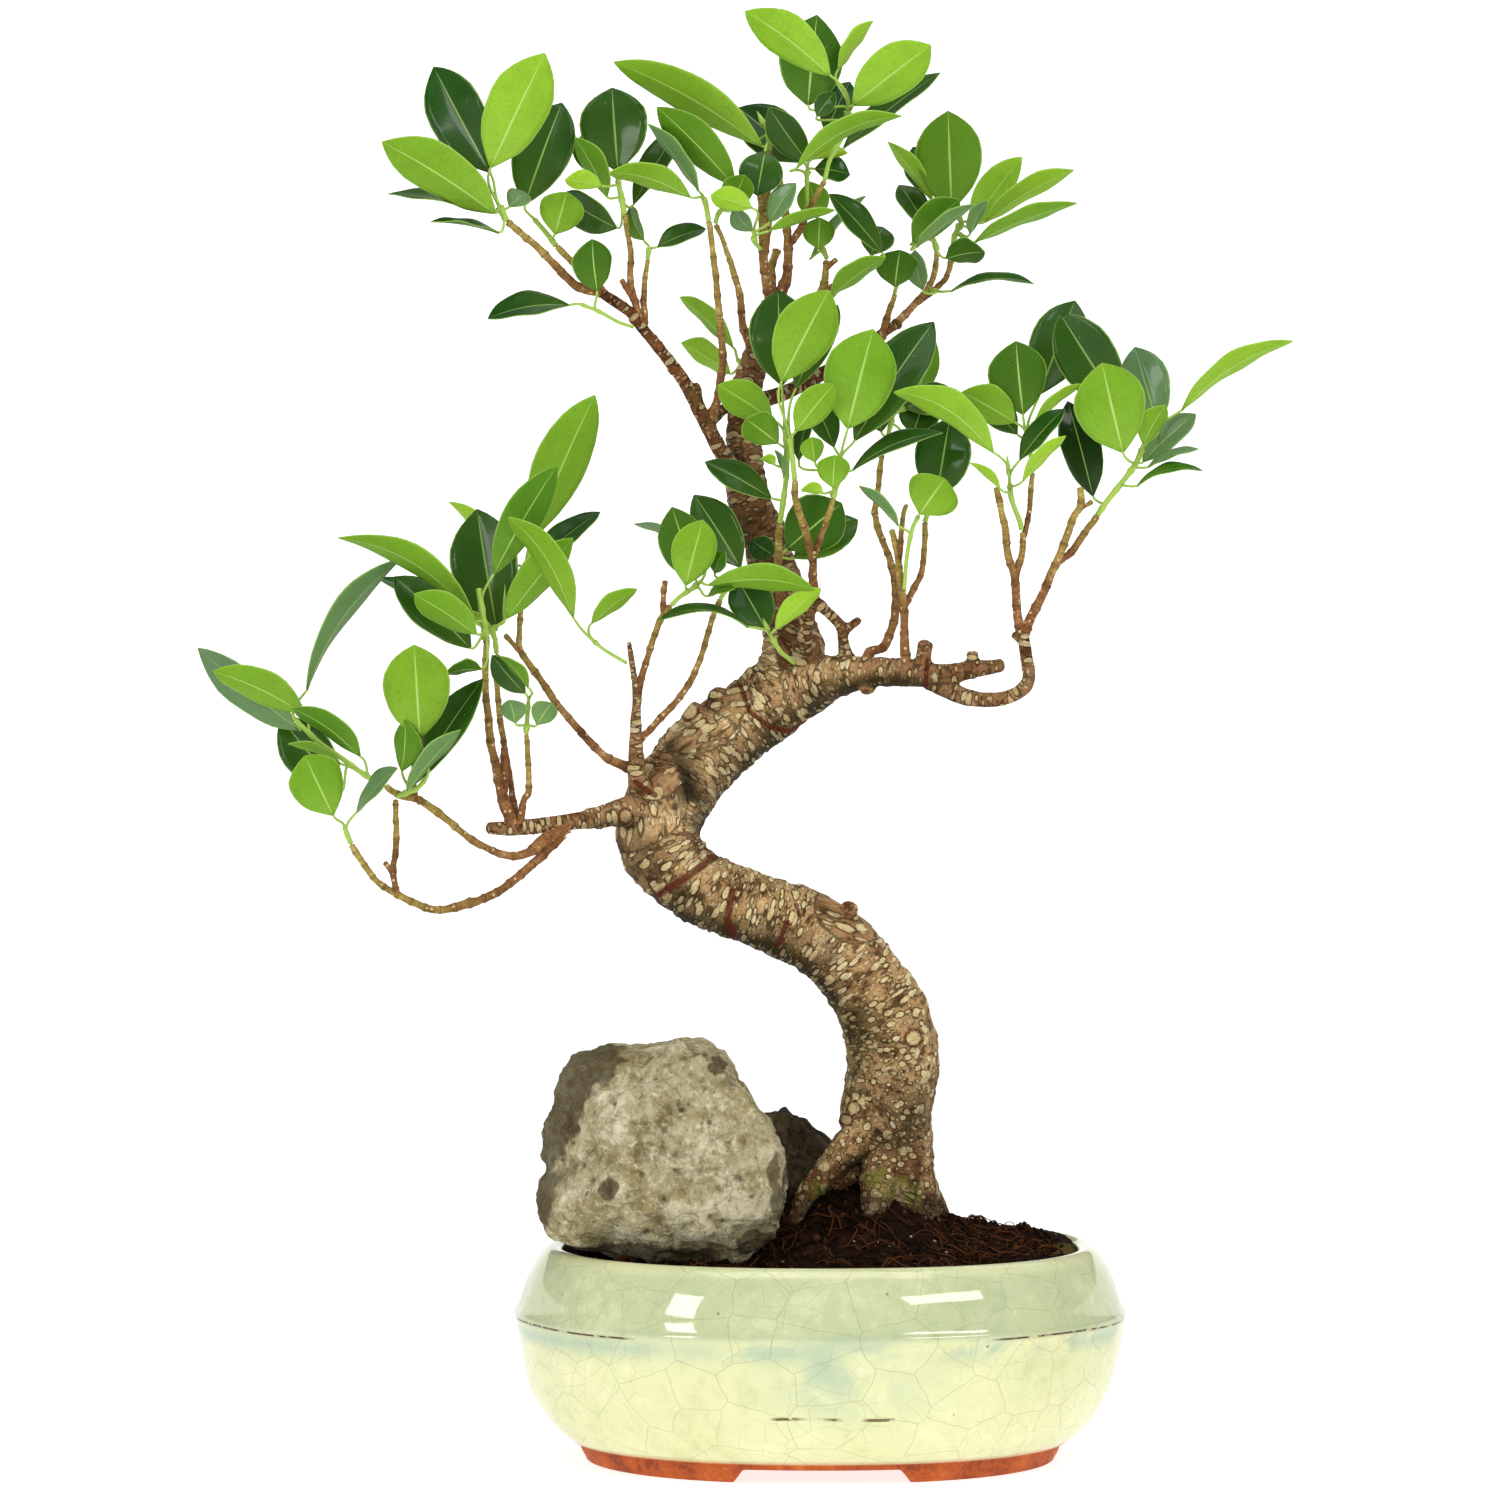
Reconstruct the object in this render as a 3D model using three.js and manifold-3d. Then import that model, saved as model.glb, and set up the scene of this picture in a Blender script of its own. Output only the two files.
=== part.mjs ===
// Chinese banyan bonsai: a small fig tree with an S-shaped trunk, two stones and soil in an oval glazed pot.
// Millimetres, +Z up. The front is towards -Y. The origin is the middle of the object's box, at the ground.
import * as THREE from "three";
import { mergeVertices } from "three/addons/utils/BufferGeometryUtils.js";
import Module from "manifold-3d";

const wasm = await Module();
wasm.setup();

// Driving dimensions, in millimetres
const POT_HALF_LENGTH = 101.8; // at the ridge round the wall
const POT_DEPTH_RATIO = 0.79; // front-to-back size over left-to-right size
const POT_HEIGHT = 70.6;
const FOOT_HEIGHT = 4.6; // clear height under the pot's floor
const ARCH_HALF_WIDTH = 26; // the cut-away in the foot ring, front and back
const DRAIN_RADIUS = 6;
const DRAIN_OFFSET = 36;
const OVAL_POWER = 2.25; // 2 is a true ellipse, more is squarer
const POT_SIDES = 36;
const CLEARANCE = 0.35; // between pieces that touch
const BLADE_THICKNESS = 0.7;
const STALK_RADIUS = 0.55;
const DETAIL = 0.19; // the smallest facets' departure from the drawn shape

// Places in the tables are x, z, y: as seen from the front at the viewing distance, then the depth.
// What lies further back than the pot's middle stands in proportion wider than it looks from there.
const VIEW_DISTANCE = 1850;
const EYE_X = -23.3;
const EYE_Z = 285;

function at(x, z, y) {
  const k = 1 + y / VIEW_DISTANCE;
  return new THREE.Vector3(EYE_X + (x - EYE_X) * k, y, EYE_Z + (z - EYE_Z) * k);
}

// Rings of equally many points, joined by triangles and closed at both ends, or at the far end by a tip
function loft(rings, tip) {
  const n = rings[0].length;
  const points = rings.flat();
  const faces = [];
  for (let k = 0; k + 1 < rings.length; k++) {
    for (let i = 0; i < n; i++) {
      const a = k * n + i;
      const b = k * n + ((i + 1) % n);
      faces.push(a, b, b + n, a, b + n, a + n);
    }
  }
  const last = (rings.length - 1) * n;
  for (let i = 1; i + 1 < n; i++) {
    faces.push(0, i + 1, i);
    if (!tip) faces.push(last, last + i, last + i + 1);
  }
  if (tip) {
    points.push(tip);
    for (let i = 0; i < n; i++) {
      faces.push(last + i, last + ((i + 1) % n), last + n);
    }
  }
  return closed(points, faces);
}

function closed(points, faces) {
  const geometry = new THREE.BufferGeometry().setFromPoints(points);
  geometry.setIndex(faces);
  return geometry;
}

function solid(geometry) {
  const merged = mergeVertices(geometry, 1e-4);
  return new wasm.Manifold(
    new wasm.Mesh({
      numProp: 3,
      vertProperties: merged.attributes.position.array,
      triVerts: new Uint32Array(merged.index.array),
    }),
  );
}

function joined(geometries) {
  return geometries.map(solid).reduce((whole, piece) => whole.add(piece));
}

function geometryOf(shape) {
  const { vertProperties, triVerts } = shape.getMesh();
  const geometry = new THREE.BufferGeometry();
  geometry.setAttribute("position", new THREE.BufferAttribute(vertProperties, 3));
  geometry.setIndex(new THREE.BufferAttribute(triVerts, 1));
  geometry.computeVertexNormals();
  return geometry;
}

// A round stem through stations of x, z, y and radius, with flat ends
function stem(stations, sides, grow = 0) {
  const centres = stations.map(([x, z, y]) => at(x, z, y));
  const side = new THREE.Vector3(0, -1, 0);
  const last = centres.length - 1;
  const rings = centres.map((centre, i) => {
    const before = centres[Math.max(i - 1, 0)];
    const after = centres[Math.min(i + 1, last)];
    const along = after.clone().sub(before).normalize();
    const middle = centre.clone().addScaledVector(along, i === 0 ? -grow : i === last ? grow : 0);
    side.addScaledVector(along, -side.dot(along)).normalize();
    const up = along.clone().cross(side);
    const radius = stations[i][3] + grow;
    return Array.from({ length: sides }, (_, j) => {
      const turn = (2 * Math.PI * j) / sides;
      return middle
        .clone()
        .addScaledVector(side, radius * Math.cos(turn))
        .addScaledVector(up, radius * Math.sin(turn));
    });
  });
  return loft(rings);
}

// Pot

function ovalPoint(turn, halfLength, z) {
  const bend = (v) => Math.sign(v) * Math.abs(v) ** (2 / OVAL_POWER);
  return new THREE.Vector3(
    halfLength * bend(Math.cos(turn)),
    halfLength * POT_DEPTH_RATIO * bend(Math.sin(turn)),
    z,
  );
}

function ovalRing(halfLength, z, sides = POT_SIDES) {
  return Array.from({ length: sides }, (_, i) => ovalPoint((2 * Math.PI * i) / sides, halfLength, z));
}

// Half length and height of each ring, from the foot up the outside
const POT_OUTSIDE = [
  [78, 0],
  [80.5, 6],
  [83, 7],
  [89, 12],
  [94, 19],
  [97.6, 28],
  [100.2, 38],
  [POT_HALF_LENGTH, 48],
  [100.6, 50.5],
  [96, 63],
  [92.6, 68],
  [88.5, POT_HEIGHT],
];

// and from the rim down the inside to the floor
const POT_INSIDE = [
  [85.4, 68.8],
  [87, 63],
  [90, 48],
  [86.5, 28],
  [79, 15],
  [70, 11],
];

function potShape() {
  const wall = POT_OUTSIDE.concat(POT_INSIDE).map(([a, z]) => ovalRing(a, z));
  const shell = solid(loft(wall));
  const recess = solid(loft([ovalRing(63, -1), ovalRing(63, FOOT_HEIGHT)]));
  const arch = new THREE.BoxGeometry(2 * ARCH_HALF_WIDTH, 4 * POT_HALF_LENGTH, 2 * FOOT_HEIGHT);
  let pot = shell.subtract(recess).subtract(solid(plain(arch)));
  for (const x of [-DRAIN_OFFSET, DRAIN_OFFSET]) {
    const drain = new THREE.CylinderGeometry(DRAIN_RADIUS, DRAIN_RADIUS, 40, 12);
    drain.rotateX(Math.PI / 2).translate(x, 0, 0);
    pot = pot.subtract(solid(plain(drain)));
  }
  return pot;
}

// Only the positions, so that corners shared by faces merge
function plain(geometry) {
  geometry.deleteAttribute("normal");
  geometry.deleteAttribute("uv");
  return geometry;
}

// Stones: flat facets blended into each other, each given by its outward normal and its distance

function stone(centre, facets, sharpness, columns, rows, grow = 0) {
  const normals = facets.map(([x, y, z, h]) => {
    const normal = new THREE.Vector3(x, y, z).normalize();
    return { normal, distance: h + grow };
  });
  const ball = plain(new THREE.SphereGeometry(1, columns, rows));
  const place = ball.attributes.position;
  const way = new THREE.Vector3();
  for (let i = 0; i < place.count; i++) {
    way.fromBufferAttribute(place, i).normalize();
    let sum = 0;
    for (const { normal, distance } of normals) {
      sum += Math.max(0, normal.dot(way) / distance) ** sharpness;
    }
    way.multiplyScalar(sum ** (-1 / sharpness)).add(centre);
    place.setXYZ(i, way.x, way.y, way.z);
  }
  return ball;
}

const FRONT_STONE = {
  centre: at(-52, 104, -20),
  facets: [
    [-1, -0.1, 0.14, 40],
    [-0.85, 0, 0.55, 42],
    [-0.35, 0, 1, 35.5],
    [0.1, 0, 1, 34.5],
    [0.86, 0, 0.5, 35],
    [1, 0, -0.05, 31.5],
    [0.6, 0, -0.8, 36],
    [0, 0, -1, 37],
    [-0.6, 0, -0.8, 41],
    [0.12, -1, 0.1, 31],
    [-0.8, -0.75, 0.1, 34],
    [-0.3, -0.8, 0.75, 35],
    [0.3, -0.7, -0.8, 37],
    [-0.4, -0.7, -0.8, 36],
    [0, 1, 0.2, 27],
    [0.7, 0.7, 0, 31],
    [-0.7, 0.7, 0.2, 33],
    [0, 0.7, -0.7, 33],
  ],
};

const BACK_STONE = {
  centre: at(-17, 89, 32),
  facets: [
    [-1, 0, 0, 26],
    [-0.5, 0, 1, 26],
    [0.05, 0, 1, 25],
    [0.7, 0, 0.75, 25],
    [1, 0, 0, 24],
    [0, 0, -1, 26],
    [0, -1, 0.1, 15],
    [0.5, -0.8, 0.4, 18],
    [0, 1, 0.2, 16],
    [-0.6, 0.7, 0.5, 21],
  ],
};

// Soil: fills the pot and is heaped round the trunk's foot

const HEAP = { x: 20, y: 9, height: 20.5, left: 50, right: 20, front: 34, back: 34 };
const SOIL_FRONT = 66.6; // height of the soil at the front rim
const SOIL_BACK = 71.2; // and at the back rim, which it hides from the front

function soilHeight(x, y) {
  const slope = THREE.MathUtils.smoothstep(y, -35, 25);
  const acrossHeap = (x - HEAP.x) / (x < HEAP.x ? HEAP.left : HEAP.right);
  const alongHeap = (y - HEAP.y) / (y < HEAP.y ? HEAP.front : HEAP.back);
  const heap = HEAP.height * Math.exp(-(acrossHeap ** 2) - alongHeap ** 2);
  const edge = Math.hypot(x / 84, y / (84 * POT_DEPTH_RATIO));
  const inside = 1 - THREE.MathUtils.smoothstep(edge, 0.8, 1);
  return SOIL_FRONT + (SOIL_BACK - SOIL_FRONT) * slope + heap * inside;
}

function soilShape() {
  const clear = POT_INSIDE.slice().reverse().map(([a, z]) => ovalRing(a - CLEARANCE, z + CLEARANCE));
  clear[clear.length - 1] = ovalRing(84.6, SOIL_FRONT - 0.4).map((p) => p.setZ(soilHeight(p.x, p.y) - 1.6));
  const top = [80, 62, 44, 26, 8].map((a) => ovalRing(a, 0).map((p) => p.setZ(soilHeight(p.x, p.y))));
  let soil = solid(loft(clear.concat(top)));
  const hollows = [
    stone(FRONT_STONE.centre, FRONT_STONE.facets, 16, 20, 14, CLEARANCE),
    stone(BACK_STONE.centre, BACK_STONE.facets, 12, 14, 10, CLEARANCE),
    stem(TRUNK.slice(0, 6), 10, CLEARANCE),
    ...ROOTS.map((root) => stem(root, 5, CLEARANCE)),
  ];
  for (const hollow of hollows) {
    soil = soil.subtract(solid(hollow));
  }
  return soil.simplify(DETAIL);
}

// Trunk: x, z, y and radius of each station, from under the soil through both bends to the top fork

const TRUNK = [
  [26, 73, 9, 13.6],
  [25.6, 85, 8, 13.4],
  [25, 94, 7, 13.2],
  [23.4, 103, 6, 14.2],
  [22, 112, 5, 15.4],
  [23.2, 121, 4, 15.3],
  [24, 131, 3, 15.2],
  [23.2, 141, 2, 15.2],
  [19.5, 150, 1, 14.8],
  [13, 160, 0, 14.2],
  [5, 169, -1, 13.6],
  [-5, 175.5, -2, 13],
  [-16, 179.5, -3, 12.4],
  [-29, 184, -4, 12.2],
  [-40, 189.5, -4, 12.4],
  [-49, 197, -3, 13],
  [-53.5, 207, -1, 14.2],
  [-50, 219, 3, 14.4],
  [-43, 229, 6, 14],
  [-34, 238, 8, 13.6],
  [-23, 246, 9, 12.6],
  [-12.5, 254, 9, 13],
  [-9, 264, 10, 11],
  [-9.5, 274, 12, 9.5],
  [-12, 284, 13, 8.8],
  [-15.5, 295, 13, 8.2],
  [-18.5, 306, 12, 7.8],
  [-22.5, 315, 10, 7.4],
  [-25, 324, 9, 6.8],
  [-25, 334, 8, 6.2],
  [-25.5, 344, 7, 5.7],
  [-24.5, 355, 6, 5.2],
  [-21.5, 365, 5, 4.7],
  [-18, 375, 4, 4.3],
  [-15.5, 384, 3, 4],
];

const ROOTS = [
  [
    [20, 112, 2, 8],
    [12, 105, -3, 6.6],
    [6, 98.5, -6, 5.4],
    [0, 92, -8, 4.6],
    [-5, 86, -9, 3.6],
    [-9, 77, -9, 2.4],
  ],
  [[27, 102, 10, 8], [34, 90, 17, 5.4], [41, 78, 24, 3.4]],
  [[22, 100, 0, 8], [19.5, 90, -5, 6.2], [18, 79, -10, 4]],
  [[20, 105, 4, 8], [12, 95, 5, 6.6], [4, 85, 7, 5], [-2, 76, 8, 3.6]],
];

const LIMBS = {
  right: [
    [-10, 255, 9, 11],
    [-1.7, 257.3, 4, 9.6],
    [3.3, 259, 0, 7.8],
    [10, 260.3, -4, 6.2],
    [16.7, 261, -7, 5.2],
    [31.7, 260.7, -10, 4.5],
    [38.3, 259.3, -11, 4.4],
    [46.7, 261, -12, 3.2],
    [61, 263.3, -12, 2.3],
  ],
  right_loop: [
    [36, 259, -11, 3.8],
    [43.3, 255, -12, 3.4],
    [48.3, 252.7, -13, 2.8],
    [55, 251.7, -14, 2.6],
    [61.7, 252.3, -15, 2.4],
    [67.3, 255, -16, 2.4],
    [69.7, 259, -17, 2.3],
    [69, 265, -17, 2.2],
    [67.5, 275, -17, 2.1],
  ],
  left: [
    [-54, 214, -4, 7.4],
    [-64, 214.5, -11, 5],
    [-73, 212.7, -15, 3.7],
    [-83.3, 211, -18, 2.9],
    [-101.7, 209, -20, 2.6],
    [-111, 209, -21, 2.1],
  ],
  left_rising: [
    [-57, 219, -6, 5.2],
    [-60.7, 224, -11, 3.4],
    [-61.3, 236.7, -14, 2.4],
    [-61.3, 246.7, -16, 1.8],
    [-61, 253.3, -17, 1.6],
    [-62.3, 261.7, -18, 1.2],
    [-63.7, 271.3, -19, 1.1],
  ],
  upper_left: [
    [-27, 326, 9, 4.4],
    [-29, 328.3, 2, 3.4],
    [-33.3, 335, -3, 2.7],
    [-39.3, 346.7, -7, 2.6],
    [-46.7, 360, -10, 2.2],
    [-60, 376.7, -14, 2],
    [-63.3, 381, -15, 2],
    [-73.3, 387.7, -17, 1.8],
  ],
  upper_link: [[-36, 345, -5, 2], [-31, 349, 1, 2], [-25, 347, 6, 2.2]],
  back: [
    [-25, 350, 7, 3],
    [-12, 354, 16, 2.6],
    [0, 360, 22, 2.4],
    [12, 367, 26, 2.2],
    [21, 374, 28, 2],
    [26.7, 377.7, 29, 1.6],
  ],
  loop_right: [
    [9, 264, -4, 3],
    [7.7, 271.7, -6, 2],
    [6.7, 276.7, -7, 1.9],
    [0, 283.3, -9, 1.9],
    [-2, 285.5, -9, 2],
  ],
  loop_left: [[-1.4, 286, -9.4, 1.8], [-4, 280, -6, 2.4], [-5, 273.3, -3, 2.8], [-6.7, 266, 3, 3.4]],
};

// Brown twigs and cut stubs, each starting inside the wood that carries it
const TWIGS = {
  left_long: [
    [-84, 209.5, -19, 2.4],
    [-91.7, 205, -21, 2.2],
    [-96.7, 201, -23, 1.6],
    [-102.7, 199.7, -25, 1.3],
    [-108.3, 201, -27, 1.25],
    [-116.7, 205.7, -30, 1.2],
    [-131.7, 217.3, -34, 1.3],
    [-140, 220, -35, 1.2],
    [-145, 222.7, -36, 1.1],
  ],
  left_long_stub: [[-134.7, 218, -34.5, 1.2], [-135.7, 224, -35, 1]],
  left_low: [
    [-85.7, 207, -18.5, 2],
    [-91.7, 201, -19.5, 1.7],
    [-95, 197.7, -22, 1.5],
    [-105, 189.3, -26, 1.4],
    [-113.3, 185, -29, 1.35],
    [-116.7, 184, -30, 1.6],
    [-126.7, 181.7, -33, 1.3],
    [-135, 184, -35, 1.2],
    [-147.3, 191, -38, 1.1],
    [-154, 200, -40, 1],
    [-156, 203.3, -40, 1],
  ],
  left_upright: [
    [-141, 187.4, -37, 1.1],
    [-142.3, 195, -38, 1.1],
    [-141.3, 201.7, -39, 1.1],
    [-141.3, 218.3, -41.5, 0.9],
  ],
  left_upright_stub: [[-142, 193, -37.8, 1], [-145, 197.5, -38, 0.9]],
  left_a: [
    [-101.7, 209, -20, 2.2],
    [-105.3, 218.3, -21, 2],
    [-108.3, 230, -23, 1.5],
    [-110, 238.3, -24, 1.4],
    [-111.3, 255, -26, 1.2],
    [-111, 268.3, -27, 1.1],
    [-111.3, 271.5, -27.3, 1.1],
  ],
  left_a_stub: [[-105.4, 221, -21.2, 1.4], [-105.3, 235.7, -20.4, 1.3]],
  left_b: [
    [-101, 211, -19, 1.6],
    [-102.5, 219.7, -17, 1.2],
    [-103.3, 225, -17, 1],
    [-107.3, 251.7, -18, 1],
    [-107.7, 266.7, -19.5, 0.9],
  ],
  left_c: [
    [-100, 210, -20.5, 1.4],
    [-98.7, 218.3, -23, 1.1],
    [-97, 221.7, -24, 1.1],
    [-97.7, 235, -26, 0.9],
    [-98, 240, -27, 0.9],
  ],
  left_slanting: [
    [-60.5, 228, -11, 2],
    [-68.3, 231, -11, 1.6],
    [-73.3, 234.3, -12, 1.4],
    [-83.3, 245, -14, 1.3],
    [-96.7, 263.3, -16, 1.2],
    [-100.3, 270, -14, 1],
    [-99.7, 278.3, -12, 0.9],
    [-99, 288.3, -10, 0.9],
  ],
  left_slanting_tip: [[-99, 267, -15.5, 1], [-105, 273.3, -15, 0.8]],
  rising_fork: [
    [-60.9, 252.5, -17, 1.3],
    [-58.3, 263.3, -18, 1.1],
    [-54, 276.7, -20, 1.1],
    [-51.7, 281, -21, 1],
    [-49.8, 283, -21.3, 0.9],
  ],
  rising_stub: [[-51.9, 280, -21, 0.9], [-52, 286.7, -21, 0.9], [-51.3, 291.3, -21, 0.8]],
  rising_side: [
    [-60.8, 238, -14, 1.5],
    [-55, 243.3, -15, 1.2],
    [-45, 255, -17, 1.1],
    [-40, 265, -18, 1],
    [-36, 278.3, -18, 1],
    [-33.3, 285, -18, 0.9],
  ],
  right_a: [
    [67.2, 274, -17, 2],
    [65.7, 280, -18, 1.5],
    [65, 292.3, -20, 1.4],
    [62.7, 300, -21, 1.3],
    [60.7, 315, -23, 1.1],
    [58.7, 322.3, -24, 1],
  ],
  right_a_fork: [[65, 291.3, -20, 1.3], [67.3, 301.7, -19, 1.1], [67.7, 307.3, -18, 1]],
  right_a_back: [
    [67.4, 304, -18.8, 1],
    [69.3, 311.7, -16, 0.9],
    [70.3, 321.7, -13, 0.9],
    [71, 327.3, -12, 0.8],
  ],
  right_b: [
    [67.8, 273.5, -17, 1.9],
    [70, 278.3, -17, 1.7],
    [75, 289, -18, 1.5],
    [79.3, 298.3, -19, 1.4],
    [84, 311.7, -21, 1.3],
    [86.7, 316.7, -22, 1.2],
    [86.7, 322.3, -23, 1.2],
  ],
  right_b_side: [[86.6, 315.5, -22, 0.9], [90.7, 317.7, -22, 0.8]],
  right_b_fork: [
    [79, 297.6, -19, 1.3],
    [83.3, 300.5, -17.5, 1.2],
    [88.3, 307.3, -17, 1.2],
    [92.4, 313, -17, 1.2],
  ],
  right_spur: [[67, 272, -17, 1.4], [64, 273.6, -16, 1.2]],
  right_nub: [[34.3, 262, -12, 2.8], [35, 271, -13, 2.5]],
  right_nub_small: [[50.5, 261, -12, 2.1], [51, 267.5, -12, 1.8]],
  right_nub_under: [[15.5, 258, -7, 3], [15.7, 254, -9, 2]],
  middle: [
    [28.8, 262, -10, 2.4],
    [28.5, 268, -12, 1.6],
    [28, 281.7, -14, 1.4],
    [27.3, 288.3, -14.5, 1.4],
    [26, 298.3, -14, 1.2],
    [23.7, 308.3, -14, 1],
  ],
  middle_b: [[26.2, 297, -14, 1], [27.7, 311.7, -16, 0.9], [29, 316.7, -17, 0.8]],
  middle_c: [
    [27.9, 283, -14, 1.2],
    [30.5, 287.7, -12.5, 1.1],
    [34, 295, -12, 1],
    [35, 305, -11, 1],
    [35, 310.7, -11, 0.9],
  ],
  middle_back: [
    [14.3, 262, -5, 2.2],
    [16.7, 267.5, -3, 1.7],
    [21.7, 270, -3, 1.5],
    [25, 280, -2, 1.4],
    [24.5, 293, -4, 1.2],
    [18.7, 311.7, -7, 1.1],
    [18.7, 318.3, -7, 1],
    [20.7, 333.3, -7, 0.9],
  ],
  loop_stub: [[7.6, 274, -6, 1.7], [13.3, 278.7, -8, 1.4]],
  centre_a: [
    [-11.7, 281, 6, 2],
    [-13.7, 291.7, -2, 1.5],
    [-14, 301.7, -8, 1.3],
    [-13.4, 310.4, -11.8, 1.2],
  ],
  centre_b: [
    [-1.8, 285.5, -8.6, 1.8],
    [-2.3, 293.3, -12, 1.5],
    [-2.7, 300, -16, 1.4],
    [-7.7, 317.3, -23, 1.2],
    [-8.3, 324.7, -24.9, 1.1],
  ],
  centre_c: [[-2.6, 299.5, -15.8, 1.3], [0, 305, -18, 1.1], [2.7, 313.3, -21, 1], [4.2, 318.8, -22.8, 0.9]],
  upper_left_stub: [[-39.8, 349, -7.6, 1.6], [-41, 357.3, -9, 1.3]],
  upper_left_a: [
    [-73, 387.5, -17, 1.6],
    [-81.7, 390, -19, 1.5],
    [-93.3, 401.7, -23, 1.3],
    [-104, 411, -27, 1.1],
  ],
  upper_left_b: [
    [-72, 387, -17, 1.4],
    [-76.7, 393.3, -15, 1.3],
    [-83.3, 398.3, -13, 1.2],
    [-87.7, 402.7, -12, 1.1],
  ],
  upper_left_c: [
    [-59.5, 377, -14, 1.5],
    [-62.7, 388.3, -15, 1.1],
    [-63.3, 401.7, -16, 1],
    [-65, 413.3, -17, 0.9],
  ],
  upper_left_c_stub: [[-61.3, 383.3, -14.6, 1.1], [-66, 391.7, -16.5, 0.9]],
  upper_left_d: [[-59, 376, -14, 1.4], [-58.3, 390, -11, 0.9], [-57.3, 398.3, -10, 0.8]],
  top_a: [
    [-37.5, 343.5, -6, 2],
    [-34.3, 351.7, -7, 1.5],
    [-32.7, 361.7, -9, 1.3],
    [-32.7, 371.7, -11, 1.2],
    [-36, 405, -15, 1],
    [-37, 411, -16, 1],
  ],
  top_b: [
    [-21, 367, 4, 2],
    [-25, 373.3, -2, 1.4],
    [-27.3, 388.3, -6, 1.1],
    [-31.7, 403.3, -9, 0.9],
    [-34.7, 410, -10, 0.8],
  ],
  top_c: [
    [-15.7, 383, 3, 2.6],
    [-18.3, 395, -3, 1.7],
    [-19, 405, -5, 1.6],
    [-19.3, 418.3, -7, 1.5],
    [-21, 425.7, -8, 1.3],
  ],
  top_c_back: [[-18.6, 398, -3.4, 1.5], [-17.3, 408, 0, 1.2], [-17.3, 418.3, 0, 1.1], [-17, 434.5, -3, 1]],
  top_d: [[-15.5, 382, 3.5, 2.2], [-16, 395, 6, 1.4], [-14.3, 401.7, 7, 1.3]],
  top_e: [
    [-15, 382, 3, 2.6],
    [-10.7, 395, 0, 1.7],
    [-10.7, 408.3, -2, 1.4],
    [-13, 421.7, -4, 1.2],
    [-13.7, 425.7, -4, 1.2],
  ],
  top_e_fork: [[-10.6, 403, -1, 1.4], [-6.7, 408.3, -5, 1.2], [-4, 414.3, -7, 1], [1.4, 424.5, -9.9, 0.9]],
  top_f: [[-18.4, 374, 4, 2.2], [-8, 381, 9, 1.7], [0.7, 388.3, 10, 1.4], [2.4, 398, 9, 1.1]],
  top_f_cut: [[1, 388, 10, 1.3], [9, 392, 11, 1.1], [15.4, 395.8, 12, 1]],
  top_f_stub: [[2.5, 396, 9.2, 1.1], [5.6, 398.5, 8, 0.9]],
  back_a: [
    [24, 376, 28.6, 1.6],
    [30.7, 382.3, 30, 1.3],
    [36, 389, 31, 1.1],
    [38.3, 394.3, 32, 1],
    [39, 401, 32, 0.9],
  ],
  back_a_fork: [[32, 384, 30.2, 1.1], [40, 390, 34, 1], [42.7, 394.3, 36, 1], [44, 402.5, 37, 0.9]],
  back_b: [[20.5, 372, 27.8, 1.6], [22.7, 381, 27, 1.1], [24.8, 386.8, 26, 0.9]],
  shoulder_nub: [[7.5, 177, -5, 5], [10.5, 183.5, -8, 2.6]],
  bend_scar: [[-38, 241, 0, 7], [-43, 248.7, -3, 3]],
  upper_nub: [[-32, 246, 4, 6], [-34.5, 255, 3, 3]],
};

function trunkShape() {
  const wood = [
    stem(TRUNK, 10),
    ...ROOTS.map((root) => stem(root, 5)),
    ...Object.values(LIMBS).map((limb) => stem(limb, 6)),
    ...Object.values(TWIGS).map((twig) => stem(twig, 4)),
  ];
  return joined(wood).simplify(DETAIL);
}

// Leaves. A blade's row holds, in millimetres and degrees:
// base x, base z, tip x, tip z, base y, tip y, width, turn, place of its stalk on the stem (0 to 1), arch.
// At turn 0 the underside faces the front, at 180 the glossy upper side does, and at 90 the blade is edge on.

// Place along the blade and share of its width
const BLADE_OUTLINE = [[0, 0.13], [0.28, 0.8], [0.56, 1], [0.83, 0.66]];

function alongStem(centres, share) {
  const path = new THREE.CurvePath();
  for (let i = 0; i + 1 < centres.length; i++) {
    path.add(new THREE.LineCurve3(centres[i], centres[i + 1]));
  }
  return { point: path.getPointAt(share), direction: path.getTangentAt(share) };
}

function section(centre, along, side, halfWidth, halfThickness) {
  const across = side.clone().addScaledVector(along, -side.dot(along)).normalize();
  const up = along.clone().cross(across);
  const corners = [[1, -1], [1, 1], [-1, 1], [-1, -1]];
  return corners.map(([i, j]) =>
    centre
      .clone()
      .addScaledVector(across, i * halfWidth)
      .addScaledVector(up, j * halfThickness),
  );
}

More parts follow.
